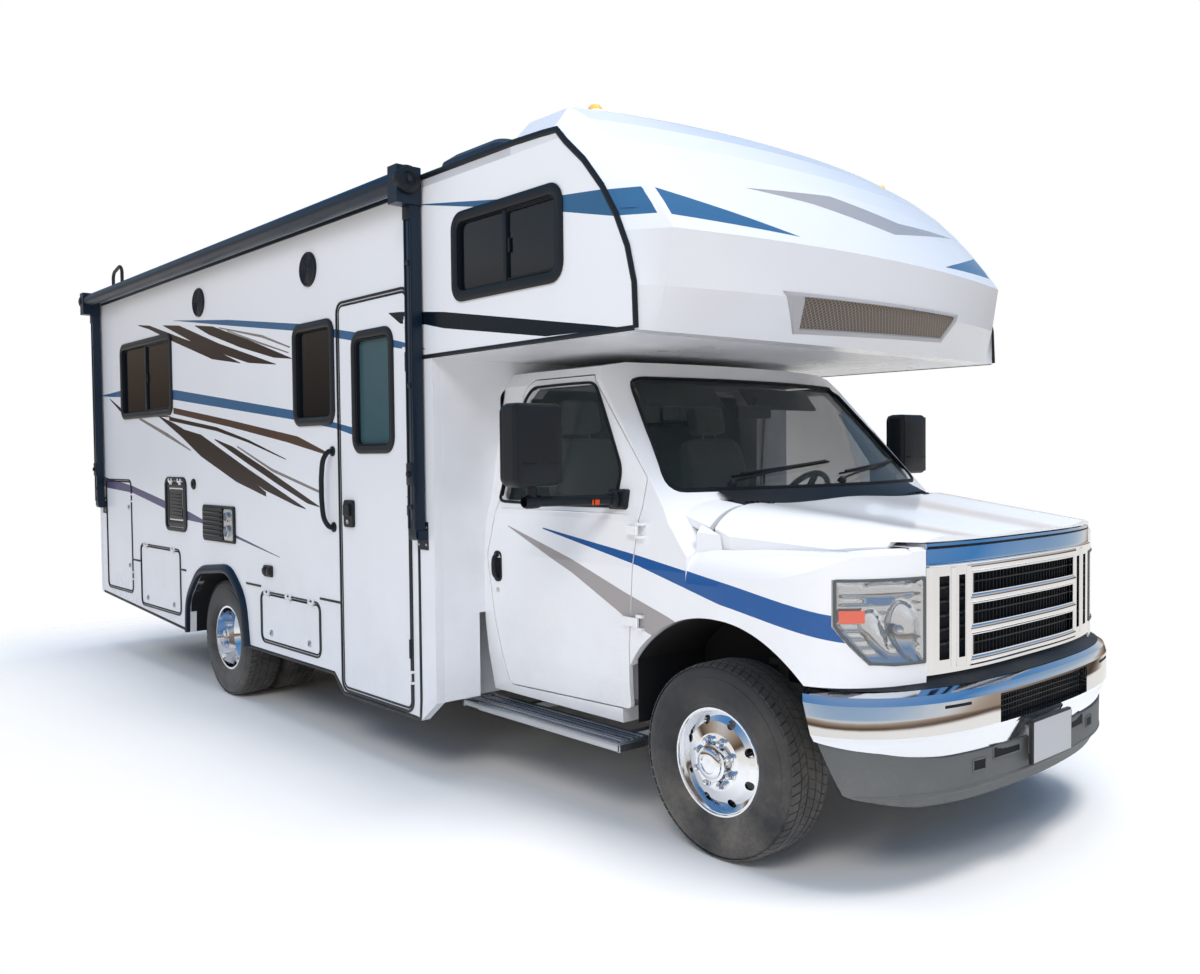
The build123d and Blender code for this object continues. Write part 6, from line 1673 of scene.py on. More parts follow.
# edges of the side wall that carry a black strip: open lines of (y, z)
WALL_EDGES = [
    mm(-2760, 1992, -1290, 1992, -1284, 1980, -1284, 392, -1276, 296, -527, 296, -421, 386, 706, 386),
    mm(1661, 360, 3512, 463),
]
# runs of the belt strip over the skirt, along y
BELT_RUNS = {"right": mm(1700, 1806, 2612, 2800, -500, -270, 490, 700),
             "left": mm(1700, 1806, 2612, 3490, -1260, -270, 490, 700)}


def build_awning():
    bm = bmesh.new()
    # folded lap of the weather cover on the roller
    for turn in (math.radians(205), math.radians(325)):
        line = [(AWNING_X + 0.0465 * math.cos(turn), y, AWNING_Z + 0.0465 * math.sin(turn))
                for y in (ARM_Y[0] + 0.050, ARM_Y[1] - 0.050)]
        add_tube(bm, spread_points(line, 0.4, closed=False), 0.0035, 0, 6)
    for y, out in ((ARM_Y[0] - 0.041, -1), (ARM_Y[1] + 0.041, 1)):
        cap = (AWNING_X + 0.004, y, AWNING_Z - 0.004)
        add_turned(bm, mm(-30, 60, 2, 66, 16, 62, 22, 50, 22, 34, 16, 30, 18, 0), cap, (0, out, 0), 1, 36)
        add_turned(bm, mm(18, 14, 26, 12, 28, 0), cap, (0, out, 0), 2, 12)
    # arm channel: raised edges, a sunk middle, joint pins and the travel lock
    place = lambda u, v, height: Vector((-COACH_X - 0.062 - height, u, v))
    for y in ARM_Y:
        for offset in (-0.026, 0.026):
            add_box(bm, place(y + offset - 0.005, 1.20, 0.005), place(y + offset + 0.005, 2.66, -0.004), 0.002)
        add_box(bm, place(y - 0.011, 1.24, 0.002), place(y + 0.011, 2.62, -0.004), 0.0015, 2)
        for z in (1.30, 1.86, 2.42):
            add_turned(bm, mm(0, 13, 4, 12, 7, 7, 7, 0), place(y, z, 0.004), (-1, 0, 0), 2, 16)
        add_box(bm, place(y - 0.030, 1.40, 0.012), place(y + 0.030, 1.505, -0.002), 0.006, 1)
        add_box(bm, place(y - 0.034, 2.615, 0.010), place(y + 0.034, 2.700, -0.004), 0.006, 1)
        add_turned(bm, mm(0, 15, 10, 14, 13, 9, 13, 0), place(y, 1.453, 0.012), (-1, 0, 0), 1, 10)
    finish_mesh("awning_fittings", bm, ["awning paint", "black moulding", "cooler shroud"], "awning_frame",
                "awning_black")
    # rail on the wall under the roof edge that the cover hooks into
    bm = bmesh.new()
    place = on_side(-1)
    add_box(bm, place(ARM_Y[0] + 0.05, 2.752, 0.0), place(ARM_Y[1] - 0.05, 2.772, 0.010), 0.003)
    for y in ARM_Y:
        for z in (1.125, 1.205):
            for offset in (-0.030, 0.030):
                add_turned(bm, mm(0, 7, 4, 6, 5, 0), place(y + offset, z, 0.0045), (-1, 0, 0), 1, 6)
    finish_mesh("awning_rail", bm, ["black moulding", "satin silver"], slot="awning_black")


def add_round_cover(bm, centre, axis, radius):
    """A round cover with a stepped rim and concentric slots."""
    add_turned(bm, [(0.0, radius), (0.010, radius * 0.985), (0.014, radius * 0.93), (0.012, radius * 0.86),
                    (0.006, radius * 0.83)], centre, axis)
    profile = [(0.006, radius * 0.84)]
    for k in range(6):
        profile += [(height, radius * (0.78 - 0.12 * k + step))
                    for height, step in ((0.005, 0.03), (0.010, 0.02), (0.011, -0.02), (0.005, -0.04))]
    add_turned(bm, profile + [(0.008, 0.0)], centre, axis, 1)


def build_side_fittings():
    black, silver = 0, 2

    def cap(sizes_mm, y, z, index=black, segments=28):
        add_turned(bm, mm(*sizes_mm), place(y, z, 0.0), (sign, 0, 0), index, segments)

    def cover(low_y, high_y, low_z, high_z, radius, low, high, index, bevel=0.004):
        add_plate(bm, rounded_outline(low_y, high_y, low_z, high_z, radius), place, low, high, index, bevel)

    sign = -1
    place = on_side(sign)
    bm = bmesh.new()
    for y in (1.365, -0.205):
        add_round_cover(bm, place(y, 2.550, 0.0), (sign, 0, 0), 0.094)
    # furnace vent: a boxed cover with a double louvre and exhaust pipe
    cover(0.845, 1.355, 1.000, 1.232, 0.016, 0.0, 0.012, black)
    cover(1.010, 1.340, 1.014, 1.218, 0.012, 0.010, 0.020, black)
    add_slats(bm, place, 1.030, 1.320, [1.036 + k * 0.029 for k in range(6)], 0.013, (0.019, 0.027), 0.003, 1)
    cover(0.862, 0.992, 1.018, 1.214, 0.014, 0.010, 0.018, silver)
    cap((14, 30, 32, 30, 34, 25.8, 20, 24, 20, 0), 0.927, 1.165, silver)
    cap((14, 38, 32, 38, 34, 32.68, 20, 30.4, 20, 0), 0.927, 1.075, silver)
    # water inlet cap, outlet box and low drain cap
    cap((0, 36, 8, 35, 12, 30, 13, 0), 1.523, 1.362)
    add_box(bm, place(1.515, 1.350, 0.012), place(1.531, 1.374, 0.019), 0.003)
    cover(0.318, 0.430, 0.836, 0.902, 0.010, 0.0, 0.014, black, 0.005)
    for y in (0.346, 0.402):
        cap((10, 23, 24, 22, 27, 15, 28, 0), y, 0.869, segments=24)
    finish_mesh("side_fittings_right", bm, ["black moulding", "cooler shroud", "satin silver"])

    # driver's side: fridge vents, water heater, fuel flap, power inlet and city water
    sign = 1
    # recess is the near-black finish, painted shade in the gaps of the fridge vents and the water heater's slots
    white, recess = 3, 1
    place = on_side(sign)
    bm = bmesh.new()
    for low_z, high_z in ((1.020, 1.330), (2.430, 2.560)):
        cover(0.420, 0.900, low_z, high_z, 0.016, 0.0, 0.010, white)
        for k in range(int((high_z - low_z - 0.05) / 0.026)):
            z = low_z + 0.030 + k * 0.026
            add_slats(bm, place, 0.448, 0.872, [z], 0.013, (0.009, 0.017), 0.003, white)
            add_slats(bm, place, 0.452, 0.868, [z + 0.013], 0.008, (0.0085, 0.0105), 0.0, recess)
    cover(1.060, 1.400, 1.080, 1.400, 0.018, 0.0, 0.009, white)
    add_frame(bm, (1.074, 1.386, 1.094, 1.386), place, 0.0, 0.010, 0.014, 0.014, white, 0.006)
    add_slats(bm, place, 1.12, 1.34, [1.290 + k * 0.014 for k in range(5)], 0.007, (0.008, 0.012), 0.001, recess)
    cover(-0.860, -0.690, 0.980, 1.150, 0.020, 0.0, 0.008, white, 0.003)
    cap((6, 10, 11, 9, 12, 0), -0.705, 1.065, silver, 16)
    for y in (2.700, 2.880):
        cap((0, 48, 8, 47, 13, 40, 13, 30, 10, 28, 12, 0), y, 1.050, segments=32)
    cap((0, 24, 10, 23, 12, 14, 6, 12, 6, 0), 3.060, 1.050, silver, 24)
    finish_mesh("side_fittings_left", bm, ["black moulding", "dark recess", "satin silver", "white moulding"])

    for side, sign in SIDES.items():
        place = on_side(sign)
        bm = bmesh.new()
        for start, end in BELT_RUNS[side]:
            add_box(bm, place(start, 0.764, -0.001), place(end, 0.776, 0.0045), 0.0015)
        finish_mesh(f"belt_strip_{side}", bm, ["black moulding"])
        # strips along the roof edge and the nose's seam, and along the wall's own edges
        for name, runs, gap, radius, flat, up in (
                ("roof_edge_strip", [ROOF_SEAM], 0.05, 0.014, 0.55, (0, 0.2, 1)),
                ("wall_edge_strip", WALL_EDGES, 0.06, 0.010, 0.5, (0, 0.3, 1))):
            bm = bmesh.new()
            for run in runs:
                line = [place(p.x, p.y, 0.0005) for p in spread_points(run, gap, closed=False)]
                add_tube(bm, line, radius, 0, 8, flat=flat, up=up)
            finish_mesh(f"{name}_{side}", bm, ["black moulding"], sharp=60)
        bm = bmesh.new()
        add_box(bm, place(COACH_REAR_Y - 0.026, 0.47, -0.020), place(COACH_REAR_Y + 0.004, 2.80, 0.005), 0.004)
        finish_mesh(f"corner_strip_{side}", bm, ["white moulding"], slot="gelcoat_white")


def build_nose_details():
    tree = surface_of("luton_nose")
    bm = bmesh.new()
    top_left, top_right, low_right, low_left = (Vector(p) for p in NOSE_PANEL)
    panel = []
    for v in even(0, 1, 8):
        start, end = low_left.lerp(top_left, v), low_right.lerp(top_right, v)
        panel.append([from_front(tree, *start.lerp(end, u), 0.004) for u in even(0, 1, 40)])
    add_sheet(bm, panel)
    rims = []
    for share, lift in ((0.0, 0.001), (0.15, 0.006), (0.85, 0.009), (1.0, 0.004)):
        corners = [Vector(a).lerp(Vector(b), share) for a, b in zip(NOSE_PANEL_RIM, NOSE_PANEL)]
        sides = zip(corners, corners[1:] + corners[:1])
        rims.append([from_front(tree, *a.lerp(b, step / 16), lift) for a, b in sides for step in range(16)])
    for near, far in zip(rims, rims[1:]):
        add_sheet(bm, [near + near[:1], far + far[:1]], 1)
    finish_mesh("nose_panel", bm, ["nose mesh", "grey stripe moulding"], sharp=50)
    # gelcoat cover over the corner joint, flush with the skin round it
    for side, sign in SIDES.items():
        bm = bmesh.new()
        corners = []
        for y, z in NOSE_COVER:
            hit, normal = cast(tree, (sign * 1.6, y, z), (-sign, 0, 0))
            corners.append(hit + normal * 0.0012)
        out = (corners[1] - corners[0]).cross(corners[3] - corners[0]).normalized()
        out = -out if out.x * sign < 0 else out
        rows = []
        for r in even(0, 1, 6):
            start, end = corners[0].lerp(corners[3], r), corners[1].lerp(corners[2], r)
            rows.append([start.lerp(end, c) + out * 0.0012 * math.sin(math.pi * c) for c in even(0, 1, 6)])
        add_sheet(bm, rows)
        finish_mesh(f"nose_joint_{side}", bm, ["nose gelcoat"], slot="gelcoat_white", sharp=60)
    # marker lamps along the crest
    bm = bmesh.new()
    for x in LAMP_X:
        hit, normal = cast(tree, (x, -2.26, 3.4), (0, 0, -1))
        add_turned(bm, mm(-4, 36, 10, 35, 14, 30), hit, normal, 1, 24)
        add_turned(bm, mm(12, 30, 26, 27, 36, 18, 40, 0), hit, normal, 0, 24)
    finish_mesh("nose_markers", bm, ["marker lens", "white moulding"], slot="lamp_clear")


class MOTORHOME_OT_awning(bpy.types.Operator):
    """Build the awning's end caps, arm channels and wall rail"""

    bl_idname = "motorhome.awning"
    bl_label = "Awning"

    def execute(self, context):
        build_awning()
        return {"FINISHED"}


class MOTORHOME_OT_side_fittings(bpy.types.Operator):
    """Build the speakers, vents, caps and strips on the coach sides"""

    bl_idname = "motorhome.side_fittings"
    bl_label = "Side fittings"

    def execute(self, context):
        build_side_fittings()
        return {"FINISHED"}


class MOTORHOME_OT_nose(bpy.types.Operator):
    """Build the mesh panel and marker lamps of the nose"""

    bl_idname = "motorhome.nose"
    bl_label = "Nose details"

    def execute(self, context):
        build_nose_details()
        return {"FINISHED"}


# ---------------------------------------------------------------- roof and rear
COOLER_Y = -0.290
VENT_Y = (1.500, -1.500)
VENT_HALF = 0.190
VENT_CROWN = 0.030
LADDER_Y = 3.642


def build_roof():
    bm = bmesh.new()
    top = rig.box("roof_units")[1].z
    # cooler: side louvres, a grille over its fan and one at each end, all near-black bars that paint the shade of the
    # openings
    for sign in (-1, 1):
        for k in range(7):
            z = top - 0.245 + k * 0.020
            add_box(bm, (sign * 0.3095, COOLER_Y - 0.25, z), (sign * 0.3195, COOLER_Y + 0.25, z + 0.009), 0.002, 1)
    for k in range(9):
        y = COOLER_Y - 0.18 + k * 0.045
        add_box(bm, (-0.17, y, top - 0.003), (0.17, y + 0.014, top - 0.0005), 0.001, 1)
    for sign in (-1, 1):
        add_box(bm, (-0.24, COOLER_Y + sign * 0.348, top - 0.235), (0.24, COOLER_Y + sign * 0.342, top - 0.135),
                0.002, 1)
    # crowned lids on the roof vents, with a rim and ribs
    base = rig.box("coach_roof")[1].z + 0.068
    for y in VENT_Y:
        steps = even(-1, 1, 10)
        crown = [[(u * VENT_HALF, y + v * VENT_HALF, base + VENT_CROWN * (1 - abs(u) ** 4) * (1 - abs(v) ** 4))
                  for u in steps] for v in steps]
        add_sheet(bm, crown, 2)
        edge = crown[0] + [row[-1] for row in crown[1:]] + crown[-1][-2::-1] + [row[0] for row in crown[-2:0:-1]]
        add_tube(bm, edge, 0.007, 2, 6, closed=True, up=(0, 0, 1))
        for offset in (-0.11, 0.0, 0.11):
            add_box(bm, (offset - 0.006, y - 0.16, base + 0.018), (offset + 0.006, y + 0.16, base + 0.033), 0.003, 2)
    # seams across the roof sheet and round vent caps
    tree = surface_of("coach_roof")
    for y in (0.6, 2.2):
        line = [from_above(tree, x, y, 0.001) for x in even(-1.15, 1.15, 20)]
        add_tube(bm, line, 0.012, 2, 6, flat=0.4, up=(0, 0, 1))
    for x, y in ((0.55, 2.62), (-0.62, 0.95)):
        add_turned(bm, mm(0, 75, 6, 73, 8, 40, 55, 38, 58, 60, 78, 56, 88, 30, 90, 0), from_above(tree, x, y),
                   (0, 0, 1), 2, 28)
    finish_mesh("roof_fittings", bm, ["cooler shroud", "dark recess", "white moulding"], slot="gelcoat_white")


def build_rear():
    # end panel under the roof's crown, set in a little, and the lip along the crown's rear edge
    tree = surface_of("coach_roof")
    roof_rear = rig.box("coach_roof")[1].y
    columns = even(-1.220, 1.220, 40)
    crown = [from_above(tree, x, roof_rear - 0.020).z for x in columns]
    bm = bmesh.new()
    add_sheet(bm, [[(x, roof_rear - 0.008, 2.800) for x in columns],
                   [(x, roof_rear - 0.008, z - 0.008) for x, z in zip(columns, crown)]])
    add_tube(bm, [(x, roof_rear - 0.009, z - 0.001) for x, z in zip(columns, crown)], 0.009, 0, 8)
    finish_mesh("roof_end_panel", bm, ["white moulding"], slot="gelcoat_white")
    # ladder treads with their grip ribs, and the ladder's feet on the wall
    bm = bmesh.new()
    for z in even(1.000, 2.800, 6):
        add_box(bm, (-1.100, LADDER_Y - 0.020, z + 0.009), (-0.770, LADDER_Y + 0.020, z + 0.016), 0.003)
        for c in range(12):
            x = -1.085 + c * 0.0275
            add_box(bm, (x, LADDER_Y - 0.018, z + 0.0155), (x + 0.010, LADDER_Y + 0.018, z + 0.0185), 0.001)
    for x in (-1.120, -0.750):
        for z in (0.950, 1.750, 2.550):
            add_turned(bm, mm(0, 32, 5, 31, 8, 20), (x, COACH_REAR_Y, z), (0, 1, 0), 0, 20)
    finish_mesh("ladder_treads", bm, ["black moulding"], slot="black_steel")
    # number plate's frame with its lamp
    bm = bmesh.new()
    place = on_end(COACH_REAR_Y)
    add_ring(bm, rounded_outline(0.590, 0.915, 0.590, 0.762, 0.010), rounded_outline(0.606, 0.899, 0.606, 0.746, 0.008),
             place, [(0, 0.0), (0, 0.010), (0.4, 0.014), (1, 0.013), (1, 0.008)])
    add_box(bm, place(0.700, 0.764, 0.0), place(0.805, 0.790, 0.026), 0.006)
    # upper lamps and the belt trim
    for x in LAMP_X:
        add_plate(bm, rounded_outline(x - 0.045, x + 0.045, 2.690, 2.722, 0.012), place, 0.0, 0.020, 1, 0.006)
    for x in (-1.14, 1.14):
        add_plate(bm, rounded_outline(x - 0.055, x + 0.055, 2.560, 2.600, 0.012), place, 0.0, 0.018, 1, 0.005)
    add_box(bm, place(-1.255, 0.900, -0.001), place(1.255, 0.914, 0.004), 0.001)
    finish_mesh("rear_fittings", bm, ["black moulding", "red lens"])
    # bumper's end caps and bolts
    bm = bmesh.new()
    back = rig.box("rear_bumper")[1].y
    for sign in (-1, 1):
        add_box(bm, (sign * 1.183, back - 0.17, 0.425), (sign * 1.150, back, 0.565), 0.008)
    for x in (-0.85, -0.40, 0.40, 0.85):
        add_turned(bm, mm(0, 13, 6, 12, 8, 0), (x, back - 0.008, 0.495), (0, 1, 0), 1, 6)
    finish_mesh("rear_bumper_caps", bm, ["black moulding", "satin silver"], slot="black_steel")


def build_running_boards():
    inner, outer = 0.875, 1.060
    start, end = -2.418, -1.300
    for side, sign in SIDES.items():
        bm = bmesh.new()
        # strips along the tread, bars across it, the nosing and the end caps
        for k in range(6):
            x = inner + 0.016 + k * 0.028
            add_box(bm, (sign * x, start + 0.03, 0.3595), (sign * (x + 0.012), end - 0.03, 0.3635), 0.0015, k % 2)
        for k in range(54):
            y = start + 0.045 + k * 0.0195
            add_box(bm, (sign * (inner + 0.045), y, 0.3595), (sign * (outer - 0.020), y + 0.006, 0.3628), 0.001)
        add_box(bm, (sign * (outer - 0.006), start + 0.01, 0.334), (sign * (outer + 0.004), end - 0.01, 0.362), 0.004)
        for y in (start + 0.006, end - 0.006):
            add_box(bm, (sign * inner, y - 0.008, 0.328), (sign * (outer + 0.003), y + 0.008, 0.3625), 0.004, 1)
        finish_mesh(f"running_board_{side}_tread", bm, ["brushed aluminium", "black moulding"], slot="bright_steel")


class MOTORHOME_OT_roof(bpy.types.Operator):
    """Build the cooler's louvres, vent lids and roof seams"""

    bl_idname = "motorhome.roof"
    bl_label = "Roof"

    def execute(self, context):
        build_roof()
        return {"FINISHED"}


class MOTORHOME_OT_rear(bpy.types.Operator):
    """Build the ladder treads and rear fittings"""

    bl_idname = "motorhome.rear"
    bl_label = "Rear"

    def execute(self, context):
        build_rear()
        return {"FINISHED"}


class MOTORHOME_OT_running_boards(bpy.types.Operator):
    """Build the tread of the running boards"""

    bl_idname = "motorhome.running_boards"
    bl_label = "Running boards"

    def execute(self, context):
        build_running_boards()
        return {"FINISHED"}


# ---------------------------------------------------------------- cab inside
CAB_FLOOR_TOP = 0.730
SEAT_X = 0.470
SIDE_PULL = 0.05
SEAM_DEPTH, SEAM_WIDTH = 0.055, 0.035
CUSHION_FILL = 0.6


def make_cushion(name, place, size, crown, seams):
    """A crowned closed cushion: sides pulled in between its corners, seams sunk along its length."""
    bm = bmesh.new()
    bmesh.ops.create_cube(bm, size=2.0)
    bmesh.ops.subdivide_edges(bm, edges=bm.edges[:], cuts=15, use_grid_fill=True)
    for vert in bm.verts:
        u, v, w = vert.co / sum(abs(part) ** 5 for part in vert.co) ** 0.2
        pull = 1 - SIDE_PULL * (1 - u ** 2) * (1 - w ** 2) * abs(v) ** 3
        draw = 1 - SIDE_PULL * (1 - v ** 2) * (1 - w ** 2) * abs(u) ** 3
        rise = 1.0
        if w > 0:
            rise += crown * (1 - abs(u) ** 2.4) * (1 - abs(v) ** 2.4)
            rise *= 1 - sum(SEAM_DEPTH * math.exp(-((u - seam) / SEAM_WIDTH) ** 2) for seam in seams)
        vert.co = place @ Vector([0.97 * part * full / 2 for part, full in zip((u * draw, v * pull, w * rise), size)])
    piece = finish_mesh(name, bm, ["seat cloth"], slot="seat_fabric", sharp=60)
    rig.padded(piece, CUSHION_FILL)
    return piece


def build_seats():
    cushions = []
    upright = Matrix.Rotation(math.radians(90), 4, "X")
    for side, sign in SIDES.items():
        x = sign * SEAT_X
        seat = Matrix.Translation((x, -1.870, CAB_FLOOR_TOP + 0.265))
        back = Matrix.Translation((x, -1.640, CAB_FLOOR_TOP + 0.280)) @ Matrix.Rotation(math.radians(-12), 4, "X")
        for part, place, size, crown, seams in (
                ("cushion", seat, (0.500, 0.530, 0.120), 0.16, (-0.55, 0.55)),
                ("back", back @ Matrix.Translation((0, 0, 0.320)) @ upright, (0.490, 0.625, 0.110), 0.14,
                 (-0.52, 0.52)),
                ("headrest", back @ Matrix.Translation((0, 0, 0.727)) @ upright, (0.255, 0.180, 0.085), 0.14, ())):
            cushions.append(make_cushion(f"seat_{side}_{part}", place, size, crown, seams))
        # plinth with its slots as near-black strips, painted shade, and the headrest's posts
        bm = bmesh.new()
        add_box(bm, (x - 0.195, -2.075, CAB_FLOOR_TOP), (x + 0.195, -1.625, CAB_FLOOR_TOP + 0.200), 0.012)
        for k in range(3):
            z = CAB_FLOOR_TOP + 0.05 + 0.05 * k
            add_box(bm, (x - 0.15, -2.0765, z), (x + 0.15, -2.0735, z + 0.006), 0, 1)
        for offset in (-0.05, 0.05):
            add_tube(bm, [back @ Vector((offset, 0, z)) for z in (0.60, 0.68)], 0.006, 2)
        finish_mesh(f"seat_{side}_base", bm, ["dash plastic", "dark recess", "satin silver"])
    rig.replaces(cushions[0], "seats")


def build_dash():
    bm = bmesh.new()
    # instrument hood with its rim, dials, air outlets, and the centre panel with its knobs; the outlets' near-black
    # backs are painted shade, while the dial faces and the centre panel are black
    hood = [(SEAT_X + 0.200 * math.cos(turn), 1.285 + 0.070 * math.sin(turn)) for turn in even(0, math.pi, 12)]
    rows = [[(x, y, z) for x, z in hood] for y in (-2.420, -2.300)]
    add_sheet(bm, rows)
    add_tube(bm, rows[1], 0.008, 0, 8)
    for x in (SEAT_X - 0.085, SEAT_X + 0.085):
        add_turned(bm, mm(0, 50, 4, 48, 2, 44, 2, 0), (x, -2.335, 1.300), (0, 0.97, 0.24), 1, 28)
    for x in (-0.72, -0.20, 0.10, 0.76):
        add_box(bm, (x - 0.055, -2.232, 1.195), (x + 0.055, -2.222, 1.255), 0.004, 1)
        for k in range(4):
            add_box(bm, (x - 0.05, -2.226, 1.203 + k * 0.013), (x + 0.05, -2.217, 1.208 + k * 0.013), 0.001)
    add_box(bm, (-0.12, -2.215, 1.040), (0.14, -2.190, 1.170), 0.008, 1)
    for x in (-0.08, 0.01, 0.10):
        add_turned(bm, mm(0, 16, 14, 15, 16, 0), (x, -2.192, 1.065), (0, 1, 0.1), 2, 18)
    finish_mesh("dash_fittings", bm, ["dash plastic", "dark recess", "satin silver"])
    # cab mirror and sun visors
    bm = bmesh.new()
    for sign in (-1, 1):
        add_box(bm, (sign * 0.10, -2.160, 1.795), (sign * 0.62, -2.030, 1.812), 0.006,
                turn=Matrix.Rotation(0.9, 4, "X"))
    add_box(bm, (-0.12, -2.245, 1.700), (0.12, -2.225, 1.762), 0.008, 1)
    add_tube(bm, [(0, -2.235, 1.760), (0, -2.250, 1.800)], 0.008, 1, 8)
    finish_mesh("cab_visors", bm, ["curtain cloth", "dash plastic"])


class MOTORHOME_OT_seats(bpy.types.Operator):
    """Build the cab seats as padded cushions"""

    bl_idname = "motorhome.seats"
    bl_label = "Cab seats"

    def execute(self, context):
        build_seats()
        return {"FINISHED"}


class MOTORHOME_OT_dash(bpy.types.Operator):
    """Build the dash fittings, visors and cab mirror"""

    bl_idname = "motorhome.dash"
    bl_label = "Dash fittings"

    def execute(self, context):
        build_dash()
        return {"FINISHED"}


# ---------------------------------------------------------------- stage
CAMERA_PLACE = (-3.89712, -5.51336, 1.53957)
CAMERA_YAW, CAMERA_PITCH, CAMERA_ROLL = 0.725214, -0.032001, -0.009972
CAMERA_LENS = 31.45
FLOOR_HALF = 16.0
FLOOR_SOLID = (1.30, 3.50)  # half the width and length of the floor's solid part; it fades beyond
FLOOR_FADE = 2.0
# what the surfaces reflect, from straight down at 0 to straight up at 1
SURROUNDINGS = [(0.0, (1.0, 0.96, 0.91)), (0.470, (1.0, 0.97, 0.93)), (0.489, (0.30, 0.23, 0.18)),
                (0.500, (0.07, 0.05, 0.04)), (0.535, (0.28, 0.20, 0.14)), (0.565, (0.46, 0.37, 0.30)),
                (0.590, (0.75, 0.76, 0.78)), (0.640, (0.42, 0.54, 0.68)), (0.760, (0.07, 0.25, 0.56)),
                (1.0, (0.24, 0.37, 0.62))]
# light: name, place, target, (width, height), watts, colour
LIGHTS = [
    ("key", (-9.0, -7.5, 9.0), (0, -1.0, 1.3), (6, 4), 610, (1.0, 0.96, 0.91)),
    ("front", (3.5, -12.0, 6.0), (0, -2.0, 1.6), (7, 4), 15, (1.0, 0.98, 0.95)),
    ("cab side", (-8.5, -5.0, 2.6), (-1.0, -1.6, 1.2), (4, 3), 40, (1.0, 0.98, 0.96)),
    ("low bounce", (-5.5, -6.0, 0.4), (-0.4, -2.0, 1.9), (4, 0.6), 40, (1.0, 0.96, 0.91)),
    ("over bonnet", (0.5, -5.6, 8.0), (0, -3.4, 1.3), (3, 2), 350, (1.0, 0.98, 0.95)),
    ("far side", (9.5, 3.0, 7.0), (0, 0, 1.4), (7, 4), 320, (0.97, 0.98, 1.0)),
    ("above", (0.0, 0.5, 9.0), (0, 0, 2.0), (7, 9), 430, (1.0, 0.99, 0.97)),
    ("behind", (-3.0, 11.0, 6.0), (0, 2.0, 1.6), (6, 4), 300, (1.0, 0.98, 0.96)),
]


def make_camera():
    data = bpy.data.cameras.new("camera")
    data.lens = CAMERA_LENS
    data.sensor_width = 36
    data.clip_end = 300
    camera = put_in_scene("camera", data)
    ahead = Vector((math.sin(CAMERA_YAW) * math.cos(CAMERA_PITCH), math.cos(CAMERA_YAW) * math.cos(CAMERA_PITCH),
                    math.sin(CAMERA_PITCH)))
    right = Vector((math.cos(CAMERA_YAW), -math.sin(CAMERA_YAW), 0))
    up = right.cross(ahead)
    leant_right = math.cos(CAMERA_ROLL) * right + math.sin(CAMERA_ROLL) * up
    leant_up = -math.sin(CAMERA_ROLL) * right + math.cos(CAMERA_ROLL) * up
    turned = Matrix((leant_right, leant_up, -ahead)).transposed().to_4x4()
    camera.matrix_world = Matrix.Translation(CAMERA_PLACE) @ turned
    bpy.context.scene.camera = camera


def make_floor():
    tree, shader = new_material("studio floor")
    squares = [abs(axis).math("SUBTRACT", half).math("MAXIMUM", 0.0).math("POWER", 2.0)
               for axis, half in zip(axes_of(object_place(tree)), FLOOR_SOLID)]
    away = (squares[0] + squares[1]).math("SQRT")
    set_inputs(shader, {
        "Base Color": mix_colour(tree, noise(tree, 0.4, 2.0), (0.94, 0.91, 0.86), (0.98, 0.95, 0.90)),
        "Alpha": away.ramp(0.0, FLOOR_FADE, 1.0, 0.0, "SMOOTHSTEP"), "Roughness": 0.8, "Specular IOR Level": 0.0})
    mesh = bpy.data.meshes.new("studio_floor")
    corners = [(x * FLOOR_HALF, y * FLOOR_HALF, 0) for x, y in ((-1, -1), (1, -1), (1, 1), (-1, 1))]
    mesh.from_pydata(corners, [], [(0, 1, 2, 3)])
    mesh.materials.append(MATERIALS["studio floor"])
    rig.stage(put_in_scene("studio_floor", mesh))


def make_surroundings():
    """A plain white backdrop for the camera; the surfaces reflect the bands of colour instead."""
    world = bpy.data.worlds.new("studio")
    world.use_nodes = True
    bpy.context.scene.world = world
    tree = world.node_tree
    tree.nodes.clear()
    output = tree.nodes.new("ShaderNodeOutputWorld")
    height = axes_of(add_node(tree, "TexCoord", output="Generated"))[2]
    bands = add_node(tree, "ValToRGB", {"Fac": height.ramp(-1.0, 1.0)})
    elements = bands.socket.node.color_ramp.elements
    for position, _ in SURROUNDINGS[1:-1]:
        elements.new(position)
    for element, (_, colour) in zip(elements, SURROUNDINGS):
        element.color = (*colour, 1)
    around = add_node(tree, "Background", {"Color": bands, "Strength": 0.92})
    plain = add_node(tree, "Background", {"Color": (1.0, 1.0, 1.0), "Strength": 1.0})
    seen = add_node(tree, "LightPath", output="Is Camera Ray")
    set_inputs(output, {"Surface": add_node(tree, "MixShader", {0: seen, 1: around, 2: plain})})


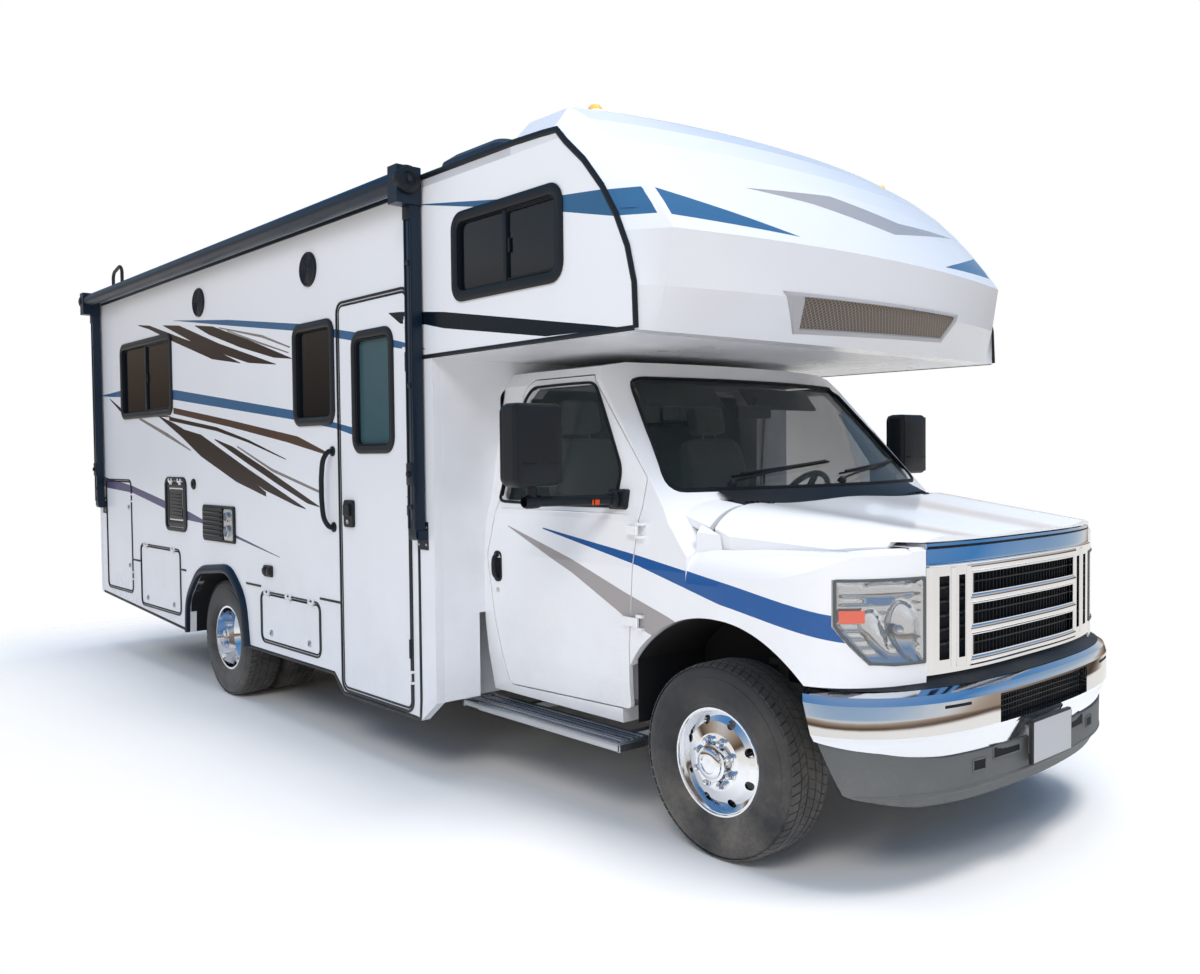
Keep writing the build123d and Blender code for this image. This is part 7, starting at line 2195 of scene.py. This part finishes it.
def make_stage():
    make_floor()
    make_surroundings()
    for name, place, target, size, power, colour in LIGHTS:
        data = bpy.data.lights.new(name, "AREA")
        data.shape = "RECTANGLE"
        data.size, data.size_y = size
        data.energy = power
        data.color = colour
        light = put_in_scene(name, data)
        light.location = place
        light.rotation_euler = (Vector(target) - Vector(place)).to_track_quat("-Z", "Y").to_euler()
        light.visible_camera = False
        light.visible_glossy = False
    make_camera()
    bpy.context.scene.view_settings.view_transform = "Standard"


class MOTORHOME_OT_stage(bpy.types.Operator):
    """Lay the floor and set the lights and the camera"""

    bl_idname = "motorhome.stage"
    bl_label = "Stage"

    def execute(self, context):
        make_stage()
        return {"FINISHED"}


class MOTORHOME_PT_panel(bpy.types.Panel):
    """Sidebar panel that lists the settings and the steps."""

    bl_idname = "MOTORHOME_PT_panel"
    bl_label = "Motorhome"
    bl_space_type = "VIEW_3D"
    bl_region_type = "UI"
    bl_category = "Motorhome"

    def draw(self, context):
        layout = self.layout
        for group in (context.scene.motorhome_colours, context.scene.motorhome_sizes):
            box = layout.box()
            for name in group.bl_rna.properties.keys():
                if name not in ("rna_type", "name"):
                    box.prop(group, name)
        for step in STEPS:
            layout.operator(step.bl_idname)


STEPS = [c for c in list(globals().values()) if isinstance(c, type) and issubclass(c, bpy.types.Operator)]
CLASSES = [MotorhomeColours, MotorhomeSizes, *STEPS, MOTORHOME_PT_panel]


def register():
    for item in CLASSES:
        bpy.utils.register_class(item)
    bpy.types.Scene.motorhome_colours = PointerProperty(type=MotorhomeColours)
    bpy.types.Scene.motorhome_sizes = PointerProperty(type=MotorhomeSizes)


def unregister():
    del bpy.types.Scene.motorhome_sizes
    del bpy.types.Scene.motorhome_colours
    for item in reversed(CLASSES):
        bpy.utils.unregister_class(item)


def main():
    register()
    for step in STEPS:
        group, name = step.bl_idname.split(".")
        getattr(getattr(bpy.ops, group), name)()
    with open("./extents.json", "w") as out:
        json.dump({"cad": CAD_BOX, "visual": [list(corner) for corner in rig.bounds()]}, out)


if __name__ == "__main__":
    main()
